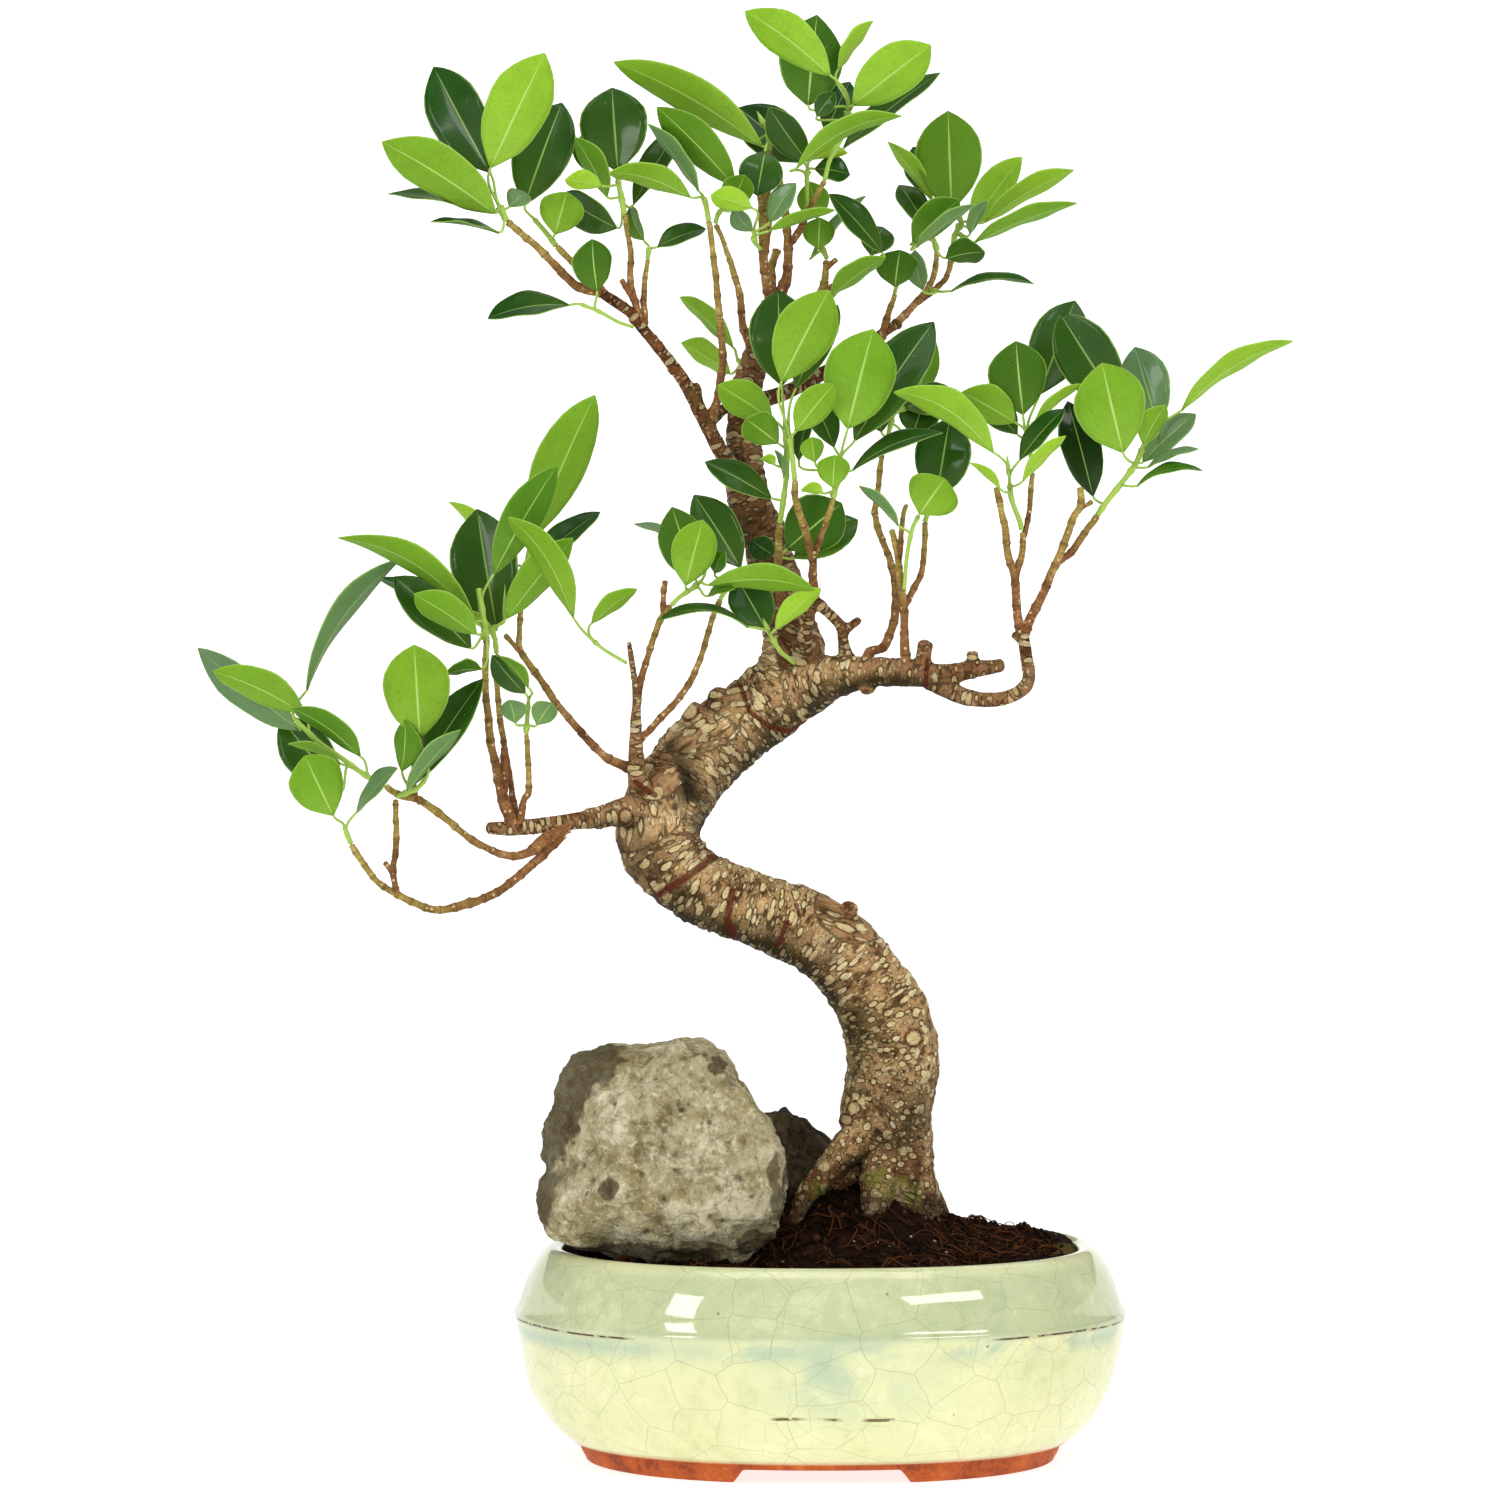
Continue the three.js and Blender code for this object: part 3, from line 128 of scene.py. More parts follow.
LIMBS = {
    "right": [
        (-10, 255, 9, 11), (-1.7, 257.3, 4, 9.6), (3.3, 259, 0, 7.8), (10, 260.3, -4, 6.2),
        (16.7, 261, -7, 5.2), (31.7, 260.7, -10, 4.5), (38.3, 259.3, -11, 4.4), (46.7, 261, -12, 3.2),
        (61, 263.3, -12, 2.3),
    ],
    "right_loop": [
        (36, 259, -11, 3.8), (43.3, 255, -12, 3.4), (48.3, 252.7, -13, 2.8), (55, 251.7, -14, 2.6),
        (61.7, 252.3, -15, 2.4), (67.3, 255, -16, 2.4), (69.7, 259, -17, 2.3), (69, 265, -17, 2.2),
        (67.5, 275, -17, 2.1),
    ],
    "left": [
        (-54, 214, -4, 7.4), (-64, 214.5, -11, 5), (-73, 212.7, -15, 3.7), (-83.3, 211, -18, 2.9),
        (-101.7, 209, -20, 2.6), (-111, 209, -21, 2.1),
    ],
    "left_rising": [
        (-57, 219, -6, 5.2), (-60.7, 224, -11, 3.4), (-61.3, 236.7, -14, 2.4), (-61.3, 246.7, -16, 1.8),
        (-61, 253.3, -17, 1.6), (-62.3, 261.7, -18, 1.2), (-63.7, 271.3, -19, 1.1),
    ],
    "upper_left": [
        (-27, 326, 9, 4.4), (-29, 328.3, 2, 3.4), (-33.3, 335, -3, 2.7), (-39.3, 346.7, -7, 2.6),
        (-46.7, 360, -10, 2.2), (-60, 376.7, -14, 2), (-63.3, 381, -15, 2), (-73.3, 387.7, -17, 1.8),
    ],
    "upper_link": [(-36, 345, -5, 2), (-31, 349, 1, 2), (-25, 347, 6, 2.2)],
    "back": [
        (-25, 350, 7, 3), (-12, 354, 16, 2.6), (0, 360, 22, 2.4), (12, 367, 26, 2.2), (21, 374, 28, 2),
        (26.7, 377.7, 29, 1.6),
    ],
    "loop_right": [
        (9, 264, -4, 3), (7.7, 271.7, -6, 2), (6.7, 276.7, -7, 1.9), (0, 283.3, -9, 1.9),
        (-2, 285.5, -9, 2),
    ],
    "loop_left": [(-1.4, 286, -9.4, 1.8), (-4, 280, -6, 2.4), (-5, 273.3, -3, 2.8), (-6.7, 266, 3, 3.4)],
}

TWIGS = {
    "left_long": [
        (-84, 209.5, -19, 2.4), (-91.7, 205, -21, 2.2), (-96.7, 201, -23, 1.6), (-102.7, 199.7, -25, 1.3),
        (-108.3, 201, -27, 1.25), (-116.7, 205.7, -30, 1.2), (-131.7, 217.3, -34, 1.3),
        (-140, 220, -35, 1.2), (-145, 222.7, -36, 1.1),
    ],
    "left_long_stub": [(-134.7, 218, -34.5, 1.2), (-135.7, 224, -35, 1)],
    "left_low": [
        (-85.7, 207, -18.5, 2), (-91.7, 201, -19.5, 1.7), (-95, 197.7, -22, 1.5), (-105, 189.3, -26, 1.4),
        (-113.3, 185, -29, 1.35), (-116.7, 184, -30, 1.6), (-126.7, 181.7, -33, 1.3),
        (-135, 184, -35, 1.2), (-147.3, 191, -38, 1.1), (-154, 200, -40, 1), (-156, 203.3, -40, 1),
    ],
    "left_upright": [
        (-141, 187.4, -37, 1.1), (-142.3, 195, -38, 1.1), (-141.3, 201.7, -39, 1.1),
        (-141.3, 218.3, -41.5, 0.9),
    ],
    "left_upright_stub": [(-142, 193, -37.8, 1), (-145, 197.5, -38, 0.9)],
    "left_a": [
        (-101.7, 209, -20, 2.2), (-105.3, 218.3, -21, 2), (-108.3, 230, -23, 1.5), (-110, 238.3, -24, 1.4),
        (-111.3, 255, -26, 1.2), (-111, 268.3, -27, 1.1), (-111.3, 271.5, -27.3, 1.1),
    ],
    "left_a_stub": [(-105.4, 221, -21.2, 1.4), (-105.3, 235.7, -20.4, 1.3)],
    "left_b": [
        (-101, 211, -19, 1.6), (-102.5, 219.7, -17, 1.2), (-103.3, 225, -17, 1), (-107.3, 251.7, -18, 1),
        (-107.7, 266.7, -19.5, 0.9),
    ],
    "left_c": [
        (-100, 210, -20.5, 1.4), (-98.7, 218.3, -23, 1.1), (-97, 221.7, -24, 1.1), (-97.7, 235, -26, 0.9),
        (-98, 240, -27, 0.9),
    ],
    "left_slanting": [
        (-60.5, 228, -11, 2), (-68.3, 231, -11, 1.6), (-73.3, 234.3, -12, 1.4), (-83.3, 245, -14, 1.3),
        (-96.7, 263.3, -16, 1.2), (-100.3, 270, -14, 1), (-99.7, 278.3, -12, 0.9), (-99, 288.3, -10, 0.9),
    ],
    "left_slanting_tip": [(-99, 267, -15.5, 1), (-105, 273.3, -15, 0.8)],
    "rising_fork": [
        (-60.9, 252.5, -17, 1.3), (-58.3, 263.3, -18, 1.1), (-54, 276.7, -20, 1.1), (-51.7, 281, -21, 1),
        (-49.8, 283, -21.3, 0.9),
    ],
    "rising_stub": [(-51.9, 280, -21, 0.9), (-52, 286.7, -21, 0.9), (-51.3, 291.3, -21, 0.8)],
    "rising_side": [
        (-60.8, 238, -14, 1.5), (-55, 243.3, -15, 1.2), (-45, 255, -17, 1.1), (-40, 265, -18, 1),
        (-36, 278.3, -18, 1), (-33.3, 285, -18, 0.9),
    ],
    "right_a": [
        (67.2, 274, -17, 2), (65.7, 280, -18, 1.5), (65, 292.3, -20, 1.4), (62.7, 300, -21, 1.3),
        (60.7, 315, -23, 1.1), (58.7, 322.3, -24, 1),
    ],
    "right_a_fork": [(65, 291.3, -20, 1.3), (67.3, 301.7, -19, 1.1), (67.7, 307.3, -18, 1)],
    "right_a_back": [
        (67.4, 304, -18.8, 1), (69.3, 311.7, -16, 0.9), (70.3, 321.7, -13, 0.9), (71, 327.3, -12, 0.8),
    ],
    "right_b": [
        (67.8, 273.5, -17, 1.9), (70, 278.3, -17, 1.7), (75, 289, -18, 1.5), (79.3, 298.3, -19, 1.4),
        (84, 311.7, -21, 1.3), (86.7, 316.7, -22, 1.2), (86.7, 322.3, -23, 1.2),
    ],
    "right_b_side": [(86.6, 315.5, -22, 0.9), (90.7, 317.7, -22, 0.8)],
    "right_b_fork": [
        (79, 297.6, -19, 1.3), (83.3, 300.5, -17.5, 1.2), (88.3, 307.3, -17, 1.2), (92.4, 313, -17, 1.2),
    ],
    "right_spur": [(67, 272, -17, 1.4), (64, 273.6, -16, 1.2)],
    "right_nub": [(34.3, 262, -12, 2.8), (35, 271, -13, 2.5)],
    "right_nub_small": [(50.5, 261, -12, 2.1), (51, 267.5, -12, 1.8)],
    "right_nub_under": [(15.5, 258, -7, 3), (15.7, 254, -9, 2)],
    "middle": [
        (28.8, 262, -10, 2.4), (28.5, 268, -12, 1.6), (28, 281.7, -14, 1.4), (27.3, 288.3, -14.5, 1.4),
        (26, 298.3, -14, 1.2), (23.7, 308.3, -14, 1),
    ],
    "middle_b": [(26.2, 297, -14, 1), (27.7, 311.7, -16, 0.9), (29, 316.7, -17, 0.8)],
    "middle_c": [
        (27.9, 283, -14, 1.2), (30.5, 287.7, -12.5, 1.1), (34, 295, -12, 1), (35, 305, -11, 1),
        (35, 310.7, -11, 0.9),
    ],
    "middle_back": [
        (14.3, 262, -5, 2.2), (16.7, 267.5, -3, 1.7), (21.7, 270, -3, 1.5), (25, 280, -2, 1.4),
        (24.5, 293, -4, 1.2), (18.7, 311.7, -7, 1.1), (18.7, 318.3, -7, 1), (20.7, 333.3, -7, 0.9),
    ],
    "loop_stub": [(7.6, 274, -6, 1.7), (13.3, 278.7, -8, 1.4)],
    "centre_a": [
        (-11.7, 281, 6, 2), (-13.7, 291.7, -2, 1.5), (-14, 301.7, -8, 1.3), (-13.4, 310.4, -11.8, 1.2),
    ],
    "centre_b": [
        (-1.8, 285.5, -8.6, 1.8), (-2.3, 293.3, -12, 1.5), (-2.7, 300, -16, 1.4), (-7.7, 317.3, -23, 1.2),
        (-8.3, 324.7, -24.9, 1.1),
    ],
    "centre_c": [
        (-2.6, 299.5, -15.8, 1.3), (0, 305, -18, 1.1), (2.7, 313.3, -21, 1), (4.2, 318.8, -22.8, 0.9),
    ],
    "upper_left_stub": [(-39.8, 349, -7.6, 1.6), (-41, 357.3, -9, 1.3)],
    "upper_left_a": [
        (-73, 387.5, -17, 1.6), (-81.7, 390, -19, 1.5), (-93.3, 401.7, -23, 1.3), (-104, 411, -27, 1.1),
    ],
    "upper_left_b": [
        (-72, 387, -17, 1.4), (-76.7, 393.3, -15, 1.3), (-83.3, 398.3, -13, 1.2), (-87.7, 402.7, -12, 1.1),
    ],
    "upper_left_c": [
        (-59.5, 377, -14, 1.5), (-62.7, 388.3, -15, 1.1), (-63.3, 401.7, -16, 1), (-65, 413.3, -17, 0.9),
    ],
    "upper_left_c_stub": [(-61.3, 383.3, -14.6, 1.1), (-66, 391.7, -16.5, 0.9)],
    "upper_left_d": [(-59, 376, -14, 1.4), (-58.3, 390, -11, 0.9), (-57.3, 398.3, -10, 0.8)],
    "top_a": [
        (-37.5, 343.5, -6, 2), (-34.3, 351.7, -7, 1.5), (-32.7, 361.7, -9, 1.3), (-32.7, 371.7, -11, 1.2),
        (-36, 405, -15, 1), (-37, 411, -16, 1),
    ],
    "top_b": [
        (-21, 367, 4, 2), (-25, 373.3, -2, 1.4), (-27.3, 388.3, -6, 1.1), (-31.7, 403.3, -9, 0.9),
        (-34.7, 410, -10, 0.8),
    ],
    "top_c": [
        (-15.7, 383, 3, 2.6), (-18.3, 395, -3, 1.7), (-19, 405, -5, 1.6), (-19.3, 418.3, -7, 1.5),
        (-21, 425.7, -8, 1.3),
    ],
    "top_c_back": [
        (-18.6, 398, -3.4, 1.5), (-17.3, 408, 0, 1.2), (-17.3, 418.3, 0, 1.1), (-17, 434.5, -3, 1),
    ],
    "top_d": [(-15.5, 382, 3.5, 2.2), (-16, 395, 6, 1.4), (-14.3, 401.7, 7, 1.3)],
    "top_e": [
        (-15, 382, 3, 2.6), (-10.7, 395, 0, 1.7), (-10.7, 408.3, -2, 1.4), (-13, 421.7, -4, 1.2),
        (-13.7, 425.7, -4, 1.2),
    ],
    "top_e_fork": [
        (-10.6, 403, -1, 1.4), (-6.7, 408.3, -5, 1.2), (-4, 414.3, -7, 1), (1.4, 424.5, -9.9, 0.9),
    ],
    "top_f": [(-18.4, 374, 4, 2.2), (-8, 381, 9, 1.7), (0.7, 388.3, 10, 1.4), (2.4, 398, 9, 1.1)],
    "top_f_cut": [(1, 388, 10, 1.3), (9, 392, 11, 1.1), (15.4, 395.8, 12, 1)],
    "top_f_stub": [(2.5, 396, 9.2, 1.1), (5.6, 398.5, 8, 0.9)],
    "back_a": [
        (24, 376, 28.6, 1.6), (30.7, 382.3, 30, 1.3), (36, 389, 31, 1.1), (38.3, 394.3, 32, 1),
        (39, 401, 32, 0.9),
    ],
    "back_a_fork": [(32, 384, 30.2, 1.1), (40, 390, 34, 1), (42.7, 394.3, 36, 1), (44, 402.5, 37, 0.9)],
    "back_b": [(20.5, 372, 27.8, 1.6), (22.7, 381, 27, 1.1), (24.8, 386.8, 26, 0.9)],
    "shoulder_nub": [(7.5, 177, -5, 5), (10.5, 183.5, -8, 2.6)],
    "bend_scar": [(-38, 241, 0, 7), (-43, 248.7, -3, 3)],
    "upper_nub": [(-32, 246, 4, 6), (-34.5, 255, 3, 3)],
}

# Stones: outward normals of their flats and how far each lies from the centre
FRONT_STONE = {
    "sharpness": 34,
    "centre": (-52, 104, -20),
    "facets": [
        (-1, -0.1, 0.14, 40),
        (-0.85, 0, 0.55, 42),
        (-0.35, 0, 1, 35.5),
        (0.1, 0, 1, 34.5),
        (0.86, 0, 0.5, 35),
        (1, 0, -0.05, 31.5),
        (0.6, 0, -0.8, 36),
        (0, 0, -1, 37),
        (-0.6, 0, -0.8, 41),
        (0.12, -1, 0.1, 31),
        (-0.8, -0.75, 0.1, 34),
        (-0.3, -0.8, 0.75, 35),
        (0.3, -0.7, -0.8, 37),
        (-0.4, -0.7, -0.8, 36),
        (0, 1, 0.2, 27),
        (0.7, 0.7, 0, 31),
        (-0.7, 0.7, 0.2, 33),
        (0, 0.7, -0.7, 33),
    ],
}

BACK_STONE = {
    "sharpness": 14,
    "centre": (-17, 89, 32),
    "facets": [
        (-1, 0, 0, 26),
        (-0.5, 0, 1, 26),
        (0.05, 0, 1, 25),
        (0.7, 0, 0.75, 25),
        (1, 0, 0, 24),
        (0, 0, -1, 26),
        (0, -1, 0.1, 15),
        (0.5, -0.8, 0.4, 18),
        (0, 1, 0.2, 16),
        (-0.6, 0.7, 0.5, 21),
    ],
}

# The front stone as it is seen: its outline, its pits with radius and depth, its dark patches with half
# sizes, and the edge past which its left side is dark
FRONT_OUTLINE = [
    (-81.7, 132.3), (-76.7, 134.3), (-69.3, 137.3), (-60, 136.3), (-51.7, 138.7), (-40, 139), (-36, 138),
    (-30.7, 132.3), (-26.7, 125), (-21, 115), (-15, 106.7), (-12.3, 96.7), (-11.3, 86.7), (-14, 80),
    (-13.7, 71.7), (-17.3, 64), (-40, 62.3), (-48.3, 65.7), (-73.3, 68.3), (-90.7, 72.7), (-94, 81.7),
    (-93, 91.7), (-90.7, 95), (-92.3, 103.3), (-90, 115), (-87.3, 125.7),
]
FRONT_PITS = [
    (-52, 108, 2.0, 2.2), (-48.3, 100, 1.7, 2.0), (-64.3, 86, 1.4, 1.6), (-52, 83.3, 1.9, 1.8),
    (-38.3, 134, 2.3, 2.0), (-34, 128.3, 1.6, 1.6), (-46.3, 115, 1.3, 1.4), (-48.3, 95, 1.5, 1.0),
    (-71, 88.3, 3.2, 0.9), (-60, 120, 1.2, 1.0), (-30, 104, 1.3, 1.2), (-26, 92, 1.6, 1.3),
    (-36, 78, 1.4, 1.2), (-80, 96, 1.5, 1.1), (-58, 74, 1.5, 1.2),
]
FRONT_DARK_PATCHES = [
    (-64, 67.5, 22, 4), (-71, 88.3, 4, 4), (-34, 131, 4, 3), (-15, 90, 3, 13), (-20, 70, 8, 5),
    (-45, 66, 12, 3.5),
]
FRONT_DARK_EDGE = [(-92, 72), (-89, 82), (-87, 94), (-82, 110), (-73, 124), (-67, 132), (-66, 142)]

# Soil
HEAP = {"x": 20, "y": 9, "height": 20.5, "left": 50, "right": 20, "front": 34, "back": 34}
HEAP_EDGE = 84.0
SOIL_FRONT = 66.6
SOIL_BACK = 71.2
SOIL_HALF_LENGTH = 85.6
CRUMB_REACH = 83.0
FIBRE_REACH = 80.0
FIBRE_LIMIT = 82.0

# Marks seen on the front of the bark, as x, z and half width
WIRE_SCARS = [
    ([(-35, 199.7), (-45, 192.3), (-55, 186)], 1.3),
    ([(-29, 188.3), (-31, 178.3), (-28.3, 171)], 1.2),
    ([(-7.7, 184), (-6.7, 180)], 0.8),
    ([(-10.7, 177.7), (-14, 170)], 0.9),
    ([(-26.7, 256.7), (-23.3, 247.7), (-16.7, 242.7), (-10, 241), (-2.7, 245)], 0.8),
    ([(36, 265), (35, 255)], 0.8),
    ([(-61.7, 224.3), (-55, 220)], 1.0),
]
KNOTS = [(30.7, 139, 2.6), (11.7, 115.7, 2.2), (9.3, 111.7, 2.0), (-65, 213, 2.2), (-43.3, 247.7, 2.6)]
MOSS = [(18.3, 92.3, 5), (24.3, 88.3, 5), (28.3, 90, 4), (0, 87.7, 4), (31, 86, 4)]
# Centre of the painted shade in the crease where the left limb leaves the trunk, as x and z
CREASE_SHADE_CENTRE = (-44.0, 223.0)
MARK_MIN_RADIUS = 1.6

# How light each tone of leaf is, from old and dark to young, and where the leaf's colours stand on that scale
LEAF_STOPS = [0.0, 0.16, 0.45, 0.7, 0.95]
# G is a grey tone for a dark leaf that carries a painted sheen
SHADES = {"K": 0.0, "D": 0.14, "M": 0.42, "L": 0.68, "B": 0.82, "P": 0.95, "G": 0.3}

# A blade's half width along its length, as shares of its length and of its greatest half width
BLADE_PLACES = [0, 0.04, 0.1, 0.2, 0.32, 0.45, 0.56, 0.68, 0.8, 0.88, 0.94, 0.975, 1]
BLADE_WIDTHS = [0.06, 0.2, 0.42, 0.7, 0.88, 0.98, 1.0, 0.94, 0.74, 0.52, 0.3, 0.14, 0.02]
BLADE_ROWS = 17
BLADE_COLUMNS = 9
BUD_WIDTH = 5.0
BUD_RADII = [0.35, 0.62, 0.6, 0.5, 0.4, 0.28, 0.16, 0.03]

# Shoots: the stations of each green stem
STEMS = {
    "left_end": [
        (-145.4, 222.9, -36.1, 1), (-151.7, 226.7, -37, 0.9), (-160, 232.7, -38, 0.9),
        (-166.7, 237.3, -39, 0.9), (-174.7, 245, -40, 0.7),
    ],
    "left_low": [(-156.3, 203.9, -40, 0.9), (-157.5, 206.5, -40, 0.8), (-158.3, 209, -40.5, 0.7)],
    "left_upright": [
        (-141, 219.4, -41.6, 0.8), (-138.5, 220.5, -42, 0.8), (-134.5, 222, -42, 0.8),
        (-132, 224.5, -42, 0.7),
    ],
    "left_middle_a": [
        (-111.3, 271.9, -27.4, 1.1), (-112, 277, -27.7, 1.1), (-112.7, 281.7, -28, 1.1),
        (-113.7, 288.7, -28.5, 1),
    ],
    "left_middle_b": [(-107.8, 267.3, -19.6, 0.8), (-108.3, 271.7, -20, 0.8), (-109.3, 275, -20.5, 0.7)],
    "left_back": [
        (-98.9, 288.9, -9.9, 0.8), (-98.3, 291.7, -9, 0.8), (-97.3, 300, -7, 0.8), (-95, 308.3, -5, 0.7),
    ],
    "left_rising_side": [(-64.5, 264, -18.3, 0.6), (-71.7, 268.3, -19, 0.6), (-75, 271, -20, 0.6)],
    "left_under": [(-98, 240.5, -27, 0.8), (-97.7, 243.3, -27.5, 0.8), (-97.3, 250, -28, 0.7)],
    "top_left": [(-104.6, 411.5, -27.2, 1), (-105.7, 414, -27.5, 1), (-106.7, 416, -28, 0.9)],
    "top_left_back": [(-88, 403.1, -11.9, 1), (-90.7, 406.7, -12, 0.9), (-95, 411.7, -12.5, 0.8)],
    "upper_left_low": [
        (-62.3, 376, -15.9, 0.6), (-67.3, 377.7, -18.5, 0.6), (-73.3, 381, -20.5, 0.6),
        (-79, 383.3, -21, 0.6),
    ],
    "upper_left_fan": [(-65.2, 413.8, -17, 0.9), (-66, 418.3, -17.5, 0.9), (-67.3, 425, -18, 0.8)],
    "upper_left_twin": [(-57.4, 398.8, -10, 0.8), (-57, 402, -10.5, 0.7)],
    "top_a": [(-37.1, 411.4, -16, 0.9), (-38, 416.7, -16.5, 0.9), (-38.7, 419, -17, 0.8)],
    "top_b": [(-34.8, 410.7, -10, 0.8), (-34, 413.5, -10, 0.8), (-32, 416, -10.5, 0.7)],
    "top_c": [(-17, 434.9, -3, 0.9), (-17.2, 439, -3.5, 0.8), (-17.8, 443.5, -4, 0.7)],
    "top_c_low": [(-19.8, 402, -6.1, 0.7), (-21.5, 404, -8.7, 0.7), (-22, 406, -10, 0.7)],
    "top_e": [(-4.2, 414.2, -5.3, 0.7), (-4.3, 421.7, -2, 0.7), (-4.3, 427.7, 0, 0.7)],
    "top": [(1.6, 425, -10, 0.8), (3.3, 431.7, -11, 0.8), (6.7, 438.3, -12, 0.8), (9.3, 447.7, -13, 0.7)],
    "top_f": [(2.3, 398.8, 8.9, 0.8), (-0.2, 405, 8.2, 0.8), (-1, 409.5, 7.5, 0.7)],
    "top_f_cut": [(16.1, 396.1, 12, 0.8), (18.5, 397.3, 11, 0.8), (20, 398, 10.5, 0.7)],
    "top_f_low": [(6.2, 388.2, 10.4, 0.6), (4.5, 386.5, 8.5, 0.6)],
    "right_top": [(44.2, 403, 37, 0.8), (45, 406.7, 36, 0.8), (46.7, 410, 35, 0.7)],
    "right_top_low": [(39, 401.5, 32, 0.8), (38, 405, 31, 0.8), (36.5, 408, 30, 0.7)],
    "right_top_stray": [(36.8, 388.5, 30.1, 0.6), (39, 388, 27.8, 0.6)],
    "back_b": [(24.9, 387.2, 26, 0.7), (25.5, 390, 25.5, 0.7)],
    "behind": [(-25.7, 362.4, 9.7, 0.7), (-27.3, 365, 11.5, 0.7)],
    "centre_a": [
        (-13.3, 310.8, -12, 1), (-11.7, 321.7, -14, 0.9), (-11, 330, -16, 0.9), (-11.7, 342, -17.5, 0.8),
    ],
    "centre_b": [(-8.4, 325.2, -25, 0.9), (-9.3, 333.3, -26, 0.9), (-10, 339, -27, 0.8)],
    "centre_c": [(4.3, 319.2, -22.9, 0.9), (6, 325, -24, 0.9), (6.7, 331, -25, 0.8)],
    "middle_front": [
        (28.1, 288.6, -16.5, 0.7), (29, 299.3, -18, 0.7), (30.7, 308.3, -19.5, 0.7),
        (32.7, 312.7, -20, 0.7),
    ],
    "middle_c": [(35, 311.2, -10.9, 0.9), (36, 314, -10.8, 0.8)],
    "middle_back": [(20.8, 333.8, -7, 0.8), (22.3, 338.3, -7.5, 0.8), (24, 345, -7, 0.7)],
    "trunk_front": [(-14.6, 297.2, 4.4, 0.7), (-13.5, 299, 2, 0.7)],
    "rising_fork": [
        (-49.4, 283.4, -21.4, 0.8), (-46.7, 286, -22, 0.8), (-43.3, 288.3, -22.5, 0.8),
        (-41, 290, -23, 0.7),
    ],
    "rising_side": [(-33.2, 285.4, -18, 0.8), (-31, 288.5, -18, 0.8), (-28.5, 291.5, -18, 0.7)],
    "shoulder": [
        (-8.6, 264, -1.6, 0.8), (-11, 266, -5, 0.8), (-13.3, 268, -8.5, 0.8), (-15.7, 272, -12, 0.7),
    ],
    "right_a_front": [
        (67.1, 308.5, -18.4, 0.8), (66.7, 311, -18.5, 0.9), (64, 318.3, -20.5, 0.8),
        (63.3, 323.3, -21.5, 0.7),
    ],
    "right_a_back": [(71, 327.8, -11.9, 0.8), (70.5, 332, -11, 0.8), (69.5, 337, -10.5, 0.7)],
    "right_b": [
        (92.6, 313.4, -17, 1), (96, 318.3, -17, 1), (100, 323.3, -17, 1), (105, 330, -17, 0.9),
        (107.3, 335, -17, 0.8),
    ],
}

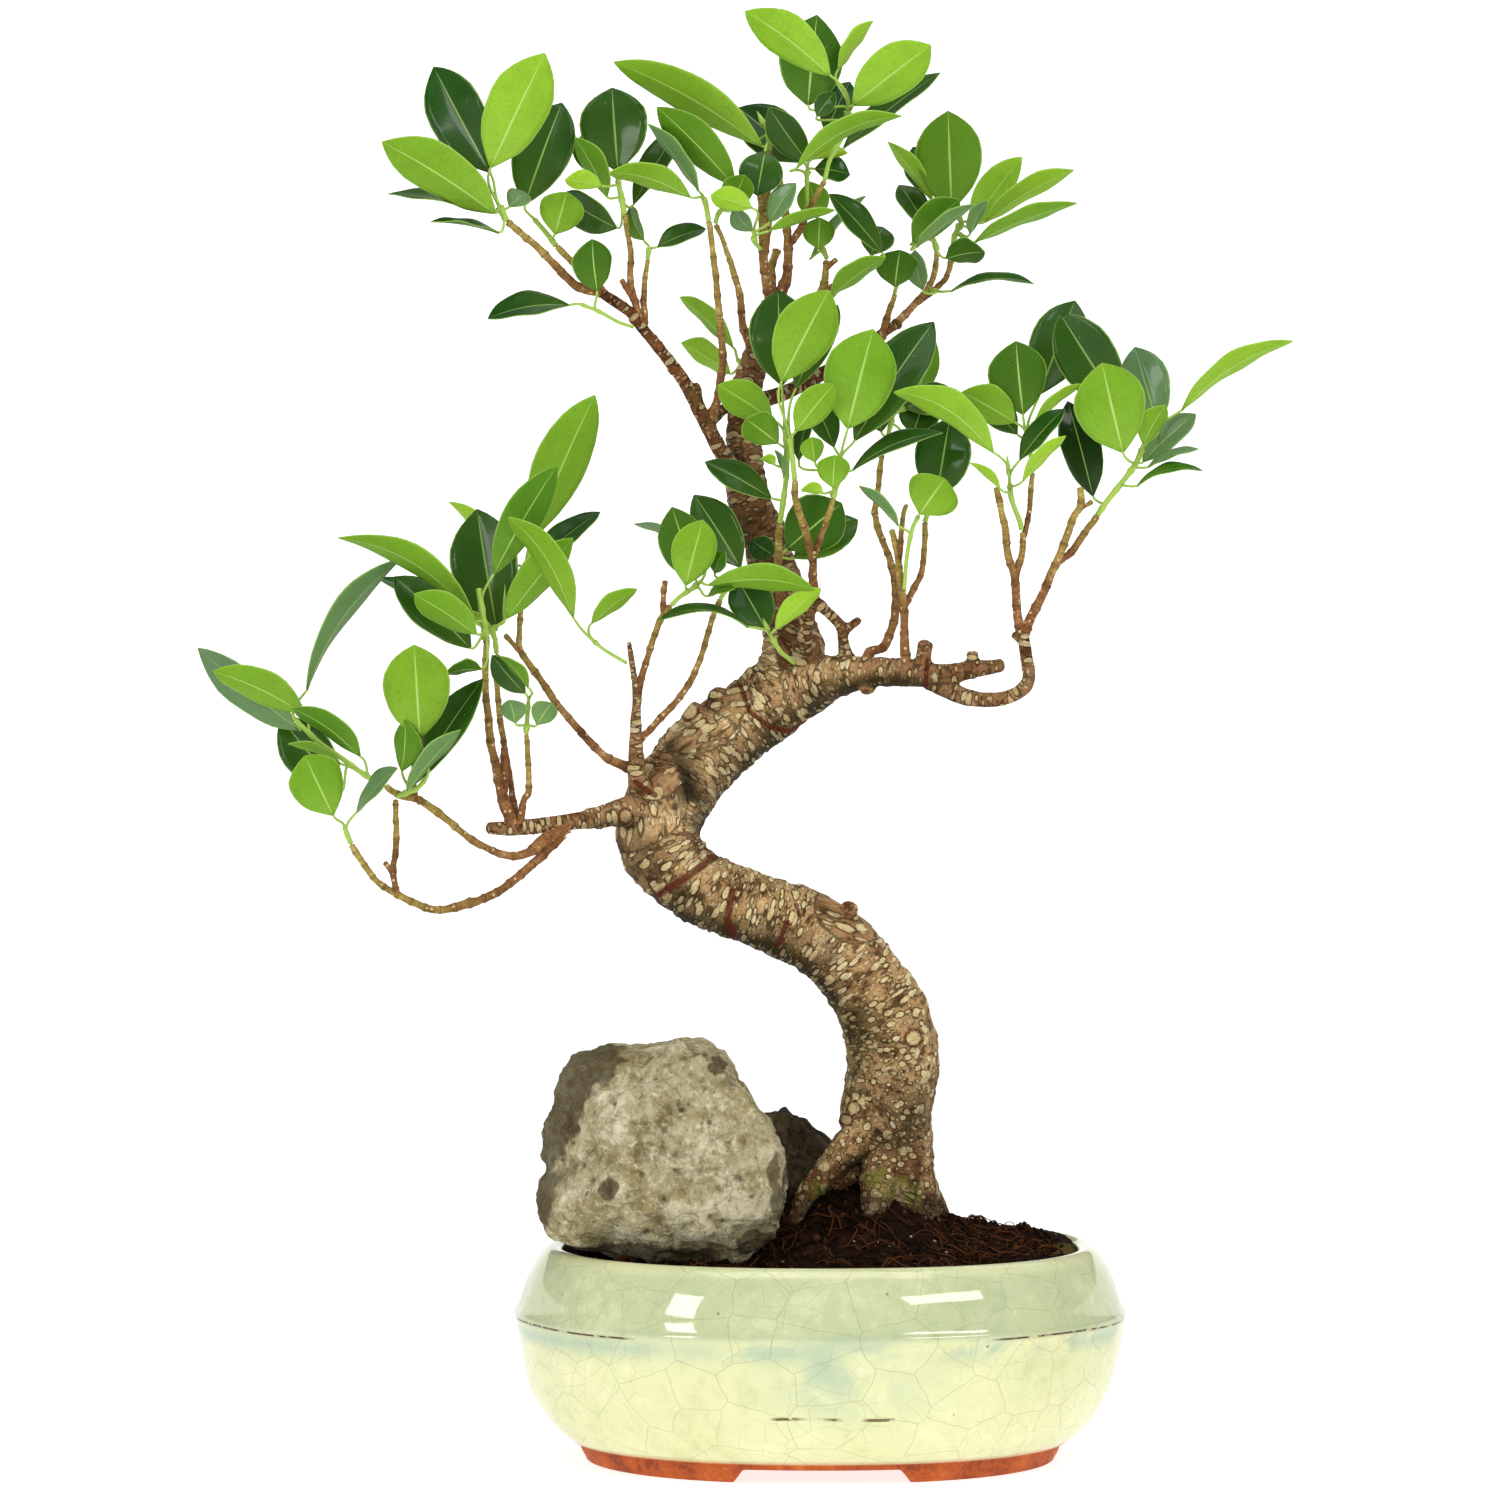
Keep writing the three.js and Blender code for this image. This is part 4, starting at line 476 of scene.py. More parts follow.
# For each leaf its tone, base x, base z, tip x, tip z, base y, tip y, width, turn, place of its stalk on the
# stem and arch. At turn 0 the underside faces the front, at 180 the upper side.
LEAVES = {
    "left_end": [
        ("L", -171.7, 247, -202.3, 261.3, -42, -50, 15, -40, 0.8, 2),
        ("G", -173.3, 241.7, -207.3, 269, -38, -30, 14, 150, 1, 1),
        ("D", -160, 221.7, -179.7, 245.7, -33, -27, 17, 175, 0.35, 1),
        ("L", -160, 230.5, -177.3, 237, -41, -45, 10, -70, 0.2, 1),
        ("M", -153.3, 233, -176, 249, -44, -54, 13, -50, 0.1, 2),
        ("G", -171, 255, -139.3, 299, -38, -25, 16, 68, 1, 5),
    ],
    "left_low": [
        ("L", -162.3, 213.3, -171.7, 233, -46, -58, 18, 10, 1, 1),
        ("G", -154.3, 214.3, -140.7, 229, -43, -54, 11, 120, 0.6, 1),
    ],
    "left_upright": [
        ("M", -139.3, 228, -138.3, 245, -45, -48, 11, -35, 0.3, 1),
        ("L", -133.3, 239, -135.3, 270, -46, -58, 22, 5, 1, 1),
        ("D", -136, 223, -112.3, 258.7, -40, -32, 15, 145, 0.6, 1),
        ("G", -137.7, 221.5, -119.7, 241.7, -46, -50, 11, 60, 0.3, 1),
    ],
    "left_middle_a": [
        ("M", -108.7, 293.7, -87.7, 329.7, -32, -40, 14, 25, 0.6, 2),
        ("L", -115, 278.3, -160.7, 305.7, -32, -44, 15, -55, 0.3, 7),
        ("D", -116.7, 278.3, -147.3, 292.3, -18, -10, 13, -120, 0.3, 1),
        ("L", -114.5, 273.7, -135.3, 287, -36, -48, 13, -30, 0.15, 1),
        ("D", -116.5, 269, -142, 292.7, -29, -22, 17, -150, 0.1, 1),
        ("D", -113, 262, -125, 260.3, -36, -44, 9, -60, 0, 1),
    ],
    "left_middle_b": [
        ("D", -107.7, 275.7, -114.3, 315.3, -14, -4, 23, 172, 1, 1),
        ("L", -104.3, 279, -82.3, 305.7, -22, -26, 15, 40, 0.8, 1),
        ("L", -105, 278.3, -105, 290.3, -19, -19, 3, 90, 1, 0),
        ("P", -108.3, 272.7, -120, 281, -19, -16, 7, -60, 0.3, 1),
    ],
    "left_back": [
        ("L", -95.5, 306, -75, 353.3, -8, -18, 19, 25, 0.8, 2),
        ("P", -103.3, 298.3, -123.7, 317.7, 2, 10, 11, -65, 0.2, 1),
        ("D", -95.8, 296.3, -73.3, 314.3, -2, 6, 13, 130, 0.1, 1),
    ],
    "left_rising_side": [
        ("L", -82.3, 279.3, -104, 312.7, -28, -50, 13, -40, 1, 5),
        ("L", -76, 277.3, -61, 288.7, -22, -26, 9, 50, 1, 1),
    ],
    "left_under": [
        ("D", -98.3, 254, -109.3, 266.7, -32, -36, 9, 160, 0.9, 1),
        ("M", -97.3, 256, -106.7, 266.3, -38, -44, 8, -60, 1, 1),
        ("G", -101.5, 244, -103.7, 251.7, -31, -33, 9, -20, 0.2, 1),
        ("G", -94.3, 243.4, -89.3, 250.7, -31, -34, 9, 20, 0.2, 1),
    ],
    "top_left": [
        ("L", -108.3, 414, -146, 437.7, -32, -44, 20, -35, 1, 2),
        ("D", -110, 427.7, -128.7, 462.7, -24, -12, 20, 165, 1, 1),
        ("B", -109.7, 429.3, -91.7, 467.3, -32, -40, 21, 15, 1, 1),
        ("D", -107.7, 414.3, -144, 420.3, -25, -18, 14, -110, 0.8, 1),
        ("D", -107, 407.5, -129.7, 411, -31, -34, 12, -100, 0.1, 1),
        ("G", -103.5, 416, -97.3, 420.3, -24, -20, 9, 150, 0.5, 1),
    ],
    "top_left_back": [
        ("D", -98.3, 417, -86, 450.7, -11, 0, 20, 170, 1, 1),
        ("L", -88.3, 407, -84.3, 421, -17, -23, 15, 5, 0.2, 1),
    ],
    "upper_left_low": [
        ("D", -83.7, 383.3, -110.7, 378.7, -22, -28, 15, -125, 1, 2),
        ("D", -74.3, 388, -76, 405.3, -24, -29, 14, 20, 0.7, 1),
    ],
    "upper_left_fan": [
        ("D", -67.7, 409, -86.3, 420, -12, -2, 13, 150, 0.4, 1),
        ("D", -75.3, 427, -77.7, 441, 5, 10, 11, 170, 0.9, 1),
        ("M", -71, 419.5, -81.7, 439.3, -20, -24, 12, -50, 0.4, 1),
        ("P", -72.7, 423, -85, 425, -28, -33, 8, -40, 0.6, 1),
        ("D", -67.3, 428, -69.3, 455.7, -14, -6, 23, 175, 1, 1),
        ("D", -62, 417, -45.3, 444.3, -6, 4, 12, 140, 0.2, 1),
    ],
    "upper_left_twin": [
        ("M", -58.7, 405, -63.2, 416.3, -8, -4, 9, 130, 1, 1),
        ("D", -54, 402.7, -38, 408.7, -8, -6, 11, 130, 0.7, 1),
    ],
    "top_a": [
        ("L", -43.3, 419.3, -70.5, 427.3, -24, -36, 13, -55, 0.8, 3),
        ("G", -40.5, 421.5, -57.3, 443.7, -19, -22, 11, -65, 1, 1),
    ],
    "top_b": [
        ("M", -28.3, 423, -54.3, 449.3, -13, -28, 14, -25, 1, 2),
        ("M", -29.5, 415.5, -25, 426.7, -16, -20, 11, 15, 0.6, 1),
    ],
    "top_c": [
        ("L", -19.3, 436.3, -68.7, 464.3, -8, -22, 16, -40, 0.2, 4),
        ("G", -21.7, 439, -51.7, 463, 2, 10, 13, -110, 0.5, 1),
        ("D", -18.3, 434.5, -21, 419.7, -10, -12, 15, 180, 0.1, 2),
        ("B", -17.4, 444, -15.5, 448.5, -4, -5, 4, 30, 1, 0),
        ("B", -18.6, 443.5, -21, 448, -4, -5, 3.4, -20, 1, 0),
    ],
    "top_c_low": [
        ("G", -22.7, 408, -28.7, 416, -12, -14, 8, 140, 0.7, 1),
        ("P", -22.7, 415.7, -36.4, 420, -20, -27, 9, -30, 1, 1),
        ("G", -16.7, 411, -8, 424, -12, -15, 9, 150, 1, 1),
        ("L", -17, 408, 5, 415, -12, -18, 7, 60, 0.8, 1),
    ],
    "top_e": [
        ("D", -5.7, 431, -27.3, 449, 3, 10, 18, -165, 1, 1),
        ("D", -4.7, 432, -17, 449.3, -5, -13, 12, 160, 1, 1),
        ("D", -1.7, 428.7, 10, 426.7, 2, 4, 10, 150, 1, 1), ("P", -2.3, 432, 9.3, 434, 0, -1, 7, 60, 1, 1),
        ("L", -7.7, 429, 27.3, 446.3, -18, -26, 12, 60, 0.8, 5),
    ],
    "top": [
        ("B", 3.3, 460, -25, 481.3, -18, -26, 16, -30, 1, 3),
        ("D", -4, 450, -1, 480, -11, -4, 22, 10, 1, 1), ("P", 6, 461.7, 17.7, 478, -9, -4, 9, 60, 1, 1),
        ("B", 11, 450, 37, 470, -17, -27, 18, 20, 1, 1),
        ("D", 8, 435.7, 40, 460.7, -7, 2, 14, 125, 0.4, 1),
        ("D", 2, 440.7, 10, 457.7, -5, 2, 11, 165, 0.6, 1),
        ("D", -1, 446.3, 5, 454.3, -17, -19, 7, 170, 0.8, 1),
    ],
    "top_f": [
        ("L", -1, 412.3, -3.3, 424.5, 9, 9, 11, 0, 1, 1), ("M", -0.5, 402, 0, 412.5, 3, 1, 11, 5, 0.3, 1),
        ("G", -3, 399, 15.3, 419.7, 12, 18, 9, 70, 0.2, 1),
    ],
    "top_f_cut": [
        ("D", 20.5, 401, 3, 420.3, 6, 0, 12, -140, 1, 1),
        ("D", 17, 400, 21, 409.3, 15, 19, 12, 170, 0.2, 1),
    ],
    "top_f_low": [("L", 3.7, 386.5, 21.7, 399.3, 4, -3, 13, 60, 1, 1)],
    "right_top": [
        ("M", 44, 415.3, 42.7, 448, 30, 20, 23, 5, 0.9, 1),
        ("D", 38.3, 420.3, 31, 436, 42, 48, 12, 160, 1, 1),
        ("B", 37.3, 418.3, 22.7, 437.7, 34, 26, 10, -60, 0.9, 1),
        ("L", 51.7, 404.3, 85.7, 417.3, 32, 24, 12, 65, 0.4, 1.5),
        ("B", 55, 411, 84.7, 428.3, 36, 36, 12, 55, 1, 2),
        ("B", 50.3, 409.7, 67.3, 432.7, 41, 48, 13, 25, 0.9, 1),
        ("G", 50, 407, 55.7, 418.3, 29, 25, 7, 50, 0.5, 1),
    ],
    "right_top_low": [
        ("D", 35, 409.5, 26.3, 423.3, 33, 40, 11, -150, 1, 1),
        ("M", 31, 404.3, 46.5, 418.5, 21, 15, 14, 35, 0.3, 1),
        ("G", 32.3, 402.7, 51.7, 417, 13, 7, 9, 65, 0.2, 1),
        ("D", 42, 399, 55, 401, 25, 19, 12, 45, 0.1, 1),
    ],
    "right_top_stray": [
        ("D", 43.7, 388, 71.3, 390.3, 24, 18, 10, 110, 1, 3),
        ("G", 34.2, 388.5, 31.7, 401.7, 23, 19, 8, 150, 0.8, 1),
    ],
    "back_b": [("D", 25, 389.5, 26.7, 401.7, 20, 15, 15, 8, 1, 1)],
    "behind": [
        ("L", -29, 369.3, -46.7, 386, 12, 16, 12, -60, 1, 1),
        ("B", -30, 360.5, -46.3, 370.7, 12, 18, 12, -50, 0.2, 1),
    ],
    "centre_a": [
        ("D", -12.7, 356.7, -14, 388.3, -16, -7, 20, 175, 1, 1),
        ("L", -16, 345.3, -34, 356.7, -20, -26, 13, -20, 0.9, 1),
        ("M", -14, 337.3, -24.7, 345.3, -24, -34, 12, -15, 0.7, 1),
        ("D", -16.3, 319, -38.3, 331, -13, -10, 11, -150, 0.2, 1),
        ("P", -15, 330, -20, 332, -20, -23, 6, -60, 0.5, 1),
        ("G", -12, 326, -15, 335, -19, -21, 5, -60, 0.3, 1),
    ],
    "centre_b": [
        ("L", -12.7, 358, 3, 388.3, -31, -40, 20, 15, 1, 1),
        ("D", -8, 355.5, 6, 383.3, -24, -14, 13, 150, 1, 1),
        ("L", -8, 341.3, 4.7, 357, -32, -37, 12, 20, 0.9, 1),
    ],
    "centre_c": [
        ("L", 9.3, 342.3, 17.7, 375.3, -28, -33, 24, 8, 1, 1),
        ("D", 11.7, 338.3, 38, 377.7, -22, -10, 19, 160, 1, 2),
        ("D", 4.7, 336, -4, 355.5, -21, -13, 11, -165, 1, 1),
        ("L", -1.7, 331, -2.7, 339.3, -28, -31, 8, 10, 0.4, 1),
        ("L", 4.3, 322.5, 5, 333.3, -28, -33, 11, 5, 0.1, 1),
        ("P", 1, 320.5, -6, 322, -27, -32, 6, -50, 0.1, 1),
        ("D", 11, 328.3, 41, 340.7, -23, -20, 11, 120, 0.6, 3),
        ("D", -7, 331.5, -3.3, 346.7, -14, -11, 7, 140, 0.5, 1),
    ],
    "middle_front": [
        ("L", 33.3, 313.7, 41.7, 325.5, -23, -27, 18, 5, 1, 1),
        ("G", 26, 310, 13, 323, -22, -27, 8, -65, 0.7, 1),
    ],
    "middle_c": [("D", 39, 319.3, 43.3, 345.5, -10, -6, 19, 172, 1, 1)],
    "middle_back": [
        ("M", 31.7, 351, 38.7, 371, 2, 6, 10, 20, 1, 1), ("D", 31, 340, 35, 351.7, -2, 1, 14, 170, 0.8, 1),
        ("D", 20.5, 341, 19, 351, -9, -8, 8, 170, 0.4, 1), ("M", 23.5, 348, 24.3, 356, -4, 0, 7, 50, 1, 1),
        ("D", 28.3, 349, 46, 353.5, -3, 3, 12, 160, 1, 1),
    ],
    "trunk_front": [
        ("D", -11, 302, 7.3, 317.3, 0, -6, 20, 10, 1, 1),
        ("M", -8.5, 299, 12.7, 311.7, 3.4, 9, 14, 160, 0.9, 1),
        ("D", -15.5, 300, -23, 305.3, 1, -1, 9, 165, 1, 1),
    ],
    "rising_fork": [
        ("D", -41.5, 292, -49.3, 316, -20, -17, 16, 8, 1, 1),
        ("L", -44.7, 290, -39, 311.7, -28, -34, 15, 10, 0.6, 1),
        ("G", -45.3, 303.3, -62, 310.3, -11, -5, 9, -110, 1, 1),
        ("L", -37, 290, -1.7, 288.3, -29, -35, 12, 45, 1, 4),
        ("M", -37.3, 286.3, -28.3, 288.7, -26, -28, 7, 120, 0.9, 1),
    ],
    "rising_side": [
        ("D", -26.5, 296, -42, 320, -14, -8, 15, -165, 1, 1),
        ("M", -35, 294, -31.7, 301.3, -23, -25, 7, 150, 0.8, 1),
    ],
    "shoulder": [
        ("D", -17.7, 274.7, -27.7, 292, -12, -6, 15, -170, 1, 1),
        ("P", -14.7, 275.3, 0.3, 289, -18, -25, 10, 45, 1, 1),
        ("D", -24, 276, -54, 278, -23, -33, 9, -110, 0.9, 5),
        ("L", -17, 274.5, -19, 279, -15, -16, 3, 0, 1, 0),
    ],
    "right_a_front": [
        ("B", 57.7, 334.3, 24.7, 354.3, -34, -47, 16, -50, 0.9, 6),
        ("D", 66.7, 331.7, 81.7, 348.7, -26, -25, 11, 130, 1, 1),
        ("P", 67.7, 324.7, 82, 339.7, -30, -36, 8, 55, 0.8, 1),
        ("P", 60, 322, 50, 330.7, -30, -33, 6, -65, 0.7, 1),
        ("D", 63, 326.3, 62.3, 334, -22, -22, 3, 90, 1, 0),
    ],
    "right_a_back": [
        ("L", 65, 344.3, 47.3, 354.3, -18, -26, 14, -25, 1, 1),
        ("D", 65.7, 340.3, 50.7, 354.3, -8, -3, 12, -155, 0.9, 1),
        ("D", 67.7, 347, 65.3, 371.3, -17, -22, 20, 8, 1, 1),
        ("D", 73.3, 353.7, 85, 384.7, -2, 10, 19, 170, 1, 1),
        ("P", 71.7, 344.7, 87.3, 357, -14, -14, 7, 60, 0.9, 1),
    ],
    "right_b": [
        ("L", 101, 334.3, 94, 364, -28, -36, 24, 5, 0.7, 1),
        ("D", 100, 349.3, 80, 380.5, -14, -8, 20, 170, 1, 1),
        ("G", 112.7, 343.3, 105, 369.3, -8, 0, 17, 170, 1, 1),
        ("L", 107.7, 337, 115.3, 350, -22, -27, 10, 35, 0.9, 1),
        ("G", 107.7, 331, 125.3, 347, -12, -8, 12, 140, 0.8, 1),
        ("G", 109.3, 329.3, 126.3, 335.3, -18, -18, 8, 110, 0.7, 1),
        ("M", 105.7, 323, 127.7, 328, -22, -24, 9, 110, 0.4, 3),
        ("B", 120.7, 348.3, 157.7, 371.3, -9, -14, 13, 60, 1, 4),
        ("K", 91, 319.7, 82.5, 351.3, -12, -7, 14, -170, 0.1, 1),
    ],
}


def at(places):
    """Places of x, z, y as rows of x, y, z in the part's frame."""
    places = np.asarray(places, float).reshape(-1, 3)
    k = 1 + places[:, 2] / VIEW_DISTANCE
    x = EYE_X + (places[:, 0] - EYE_X) * k
    z = EYE_Z + (places[:, 1] - EYE_Z) * k
    return np.stack([x, places[:, 2], z], axis=1) + MIDDLE


def seen(points):
    """The x and z at which points of the part's frame are seen from the front."""
    points = points - MIDDLE
    k = 1 + points[:, 1] / VIEW_DISTANCE
    return np.stack([EYE_X + (points[:, 0] - EYE_X) / k, EYE_Z + (points[:, 2] - EYE_Z) / k], axis=1)


def smooth(value, low, high):
    t = np.clip((value - low) / (high - low), 0, 1)
    return t * t * (3 - 2 * t)


def noise(points, size, seed=0):
    """Smooth noise from -1 to 1 at points, with lumps about size across."""
    place = np.asarray(points, float) / size
    cell = np.floor(place).astype(np.int64)
    part = place - cell
    part = part * part * (3 - 2 * part)
    total = np.zeros(len(place))
    for corner in range(8):
        step = np.array([corner & 1, corner >> 1 & 1, corner >> 2 & 1])
        spot = cell + step
        number = spot[:, 0] * 374761393 + spot[:, 1] * 668265263 + spot[:, 2] * 1274126177 + seed * 974711
        number = (number ^ (number >> 13)) & 0xFFFFFFFF
        number = (number * 1103515245 + 12345) & 0xFFFFFFFF
        value = ((number ^ (number >> 16)) & 0xFFFF) / 32767.5 - 1
        total += value * np.prod(np.where(step, part, 1 - part), axis=1)
    return total


def fractal(points, size, octaves=4, seed=0):
    total = np.zeros(len(points))
    weight = 1.0
    for octave in range(octaves):
        total += weight * noise(points, size, seed + octave)
        weight *= 0.5
        size *= 0.5
    return total


def spline(stations, step):
    """Stations resampled about every step millimetres along a smooth curve through them."""
    rows = np.asarray(stations, float)
    ends = np.vstack([2 * rows[0] - rows[1], rows, 2 * rows[-1] - rows[-2]])
    out = []
    for i in range(len(rows) - 1):
        a, b, c, d = ends[i : i + 4]
        count = max(2, int(np.linalg.norm(c[:3] - b[:3]) / step))
        for t in np.arange(count) / count:
            out.append(
                0.5 * (
                    2 * b + (c - a) * t + (2 * a - 5 * b + 4 * c - d) * t**2 + (3 * b - a - 3 * c + d) * t**3
                )
            )
    out.append(rows[-1])
    return np.array(out)


def lengths_along(places):
    """How far along their line each of the places is."""
    return np.concatenate([[0], np.cumsum(np.linalg.norm(np.diff(places, axis=0), axis=1))])


def thick_line(stations, step):
    """A smooth line of centres and radii through stations of x, z, y and radius."""
    places = [(x, z, y) for x, z, y, _ in stations]
    return spline(np.hstack([at(places), np.array([[r] for *_, r in stations])]), step)


def add_object(name, data):
    """A new object of the scene that shows the data."""
    thing = bpy.data.objects.new(name, data)
    bpy.context.scene.collection.objects.link(thing)
    return thing


class Shell:
    """Vertices, faces and per-vertex values of one piece while it is put together."""

    def __init__(self):
        self.points = []
        self.faces = []
        self.values = {}
        self.count = 0

    def add(self, points, faces, **values):
        points = np.asarray(points, float)
        self.points.append(points)
        self.faces.extend([tuple(int(i) + self.count for i in face) for face in faces])
        for name in sorted(set(self.values) | set(values)):
            column = self.values.setdefault(name, [np.zeros(self.count)] if self.count else [])
            column.append(np.broadcast_to(np.asarray(values.get(name, 0.0), float), (len(points),)).copy())
        self.count += len(points)


def grid_faces(rows, columns, wrap):
    faces = []
    for j in range(rows - 1):
        for i in range(columns if wrap else columns - 1):
            a = j * columns + i
            b = j * columns + (i + 1) % columns
            faces.append((a, b, b + columns, a + columns))
    return faces


def tube(centres, radii, sides, rough=0.0, seed=0):
    """Rings round a line of centres, closed by rounded ends: points, faces, length along and turn around."""
    along = np.gradient(centres, axis=0)
    along /= np.linalg.norm(along, axis=1)[:, None]
    side = np.array([0.0, -1.0, 0.0])
    length = lengths_along(centres)
    turns = 2 * np.pi * np.arange(sides) / sides
    rings = []
    for centre, way, radius in zip(centres, along, radii):
        side = side - way * side.dot(way)
        side /= np.linalg.norm(side)
        up = np.cross(way, side)
        rings.append(centre + radius * (np.cos(turns)[:, None] * side + np.sin(turns)[:, None] * up))
    points = np.vstack(rings)
    if rough:
        outward = points - np.repeat(centres, sides, axis=0)
        outward /= np.maximum(np.linalg.norm(outward, axis=1), 1e-6)[:, None]
        points = points + outward * (rough * fractal(points, 2.4, 3, seed))[:, None]
    faces = grid_faces(len(centres), sides, True)
    first = len(points)
    tips = [centres[0] - 0.4 * radii[0] * along[0], centres[-1] + 0.4 * radii[-1] * along[-1]]
    points = np.vstack([points, tips])
    for i in range(sides):
        j = (i + 1) % sides
        faces.append((j, i, first))
        faces.append((first - sides + i, first - sides + j, first + 1))
    length = np.concatenate([np.repeat(length, sides), [0, length[-1]]])
    around = np.concatenate([np.tile(turns, len(centres)), [0, 0]])
    return points, faces, length, around


def piece(name, shell, material, slot, *nodes):
    """One object from a shell, riding on the part, in place of the CAD nodes."""
    mesh = bpy.data.meshes.new(name)
    mesh.from_pydata((np.vstack(shell.points) * MM).tolist(), [], shell.faces)
    for key, columns in shell.values.items():
        mesh.attributes.new(key, "FLOAT", "POINT").data.foreach_set(
            "value", np.concatenate(columns).astype(np.float32)
        )
    work = bmesh.new()
    work.from_mesh(mesh)
    bmesh.ops.recalc_face_normals(work, faces=work.faces)
    work.to_mesh(mesh)
    work.free()
    mesh.shade_smooth()
    mesh.materials.append(material)
    thing = add_object(name, mesh)
    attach(thing, "root")
    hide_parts(*nodes)
    return thing


# Materials

def rgb(red, green, blue):
    """A colour as it is seen on a screen, from 0 to 255, as a linear colour with alpha."""
    parts = [c / 255 for c in (red, green, blue)]
    return tuple([c / 12.92 if c <= 0.04045 else ((c + 0.055) / 1.055) ** 2.4 for c in parts] + [1.0])


def put(tree, kind, inputs=(), **settings):
    """A node with settings, and with inputs by name or number, each a value or another node's socket."""
    node = tree.nodes.new(kind)
    for key, value in settings.items():
        setattr(node, key, value)
    for key, value in dict(inputs).items():
        if isinstance(value, bpy.types.NodeSocket):
            tree.links.new(value, node.inputs[key])
        else:
            node.inputs[key].default_value = value
    return node


def maths(tree, operation, a, b=0.0, c=0.0, clamp=False):
    return put(tree, "ShaderNodeMath", {0: a, 1: b, 2: c}, operation=operation, use_clamp=clamp).outputs[0]


def times(tree, a, b):
    return maths(tree, "MULTIPLY", a, b)


def scaled(tree, value, share, rest, clamp=False):
    """A value times a share, and the rest added."""
    return maths(tree, "MULTIPLY_ADD", value, share, rest, clamp)


def less(tree, value):
    """1 less a value."""
    return maths(tree, "SUBTRACT", 1.0, value)


def blend(tree, mask, low, high):
    node = put(tree, "ShaderNodeMix", {0: mask, 6: low, 7: high}, data_type="RGBA")
    return node.outputs[2]


def laid(tree, colour, mask, share, other):
    """The colour with a share of another laid over it where the mask is."""
    return blend(tree, times(tree, mask, share), colour, other)


def reach(tree, value, low, high):
    """0 below low, 1 above high, smooth between."""
    inputs = {"Value": value, "From Min": low, "From Max": high}
    return put(tree, "ShaderNodeMapRange", inputs, interpolation_type="SMOOTHSTEP").outputs[0]


def attribute(tree, name):
    return put(tree, "ShaderNodeAttribute", attribute_name=name).outputs["Fac"]


def cloud(tree, where, scale, detail=4.0, rough=0.55, warp=0.0):
    inputs = {"Vector": where, "Scale": scale, "Detail": detail, "Roughness": rough, "Distortion": warp}
    return put(tree, "ShaderNodeTexNoise", inputs).outputs["Fac"]


def new_group(name, inputs, outputs):
    """An empty shader group: its tree, its input sockets and its output node."""
    tree = bpy.data.node_groups.new(name, "ShaderNodeTree")
    for label, kind, value in inputs:
        socket = tree.interface.new_socket(label, in_out="INPUT", socket_type=kind)
        if value is not None:
            socket.default_value = value
    for label, kind in outputs:
        tree.interface.new_socket(label, in_out="OUTPUT", socket_type=kind)
    start = tree.nodes.new("NodeGroupInput").outputs
    end = tree.nodes.new("NodeGroupOutput").inputs
    return tree, start, end


def use_group(tree, name, **inputs):
    return put(tree, "ShaderNodeGroup", inputs, node_tree=bpy.data.node_groups[name]).outputs


def mottle(tree, where, scale, dark, middle, light):
    """Clouds of three colours, as the group's outputs."""
    return use_group(tree, "Mottle", Where=where, Scale=scale, Dark=dark, Middle=middle, Light=light)


def edge_lines(tree, start, end, wave_scale, dimensions):
    """Thin wandering lines along the edges of cells, as the group's mask."""
    shift = put(tree, "ShaderNodeTexNoise", {"Vector": start["Where"], "Scale": wave_scale, "Detail": 2.0})
    inputs = {0: shift.outputs["Color"], 1: (0.5, 0.5, 0.5)}
    offset = put(tree, "ShaderNodeVectorMath", inputs, operation="SUBTRACT").outputs[0]
    inputs = {0: offset, "Scale": start["Wander"]}
    step = put(tree, "ShaderNodeVectorMath", inputs, operation="SCALE").outputs[0]
    moved = put(tree, "ShaderNodeVectorMath", {0: start["Where"], 1: step}, operation="ADD").outputs[0]
    inputs = {"Vector": moved, "Scale": start["Scale"]}
    cells = put(
        tree, "ShaderNodeTexVoronoi", inputs, voronoi_dimensions=dimensions, feature="DISTANCE_TO_EDGE"
    )
    tree.links.new(maths(tree, "LESS_THAN", cells.outputs["Distance"], start["Width"]), end["Mask"])


def speckle(tree, where, scale, size, share):
    """A mask of small spots."""
    return use_group(tree, "Speckle", Where=where, Scale=scale, Size=size, Share=share)["Mask"]


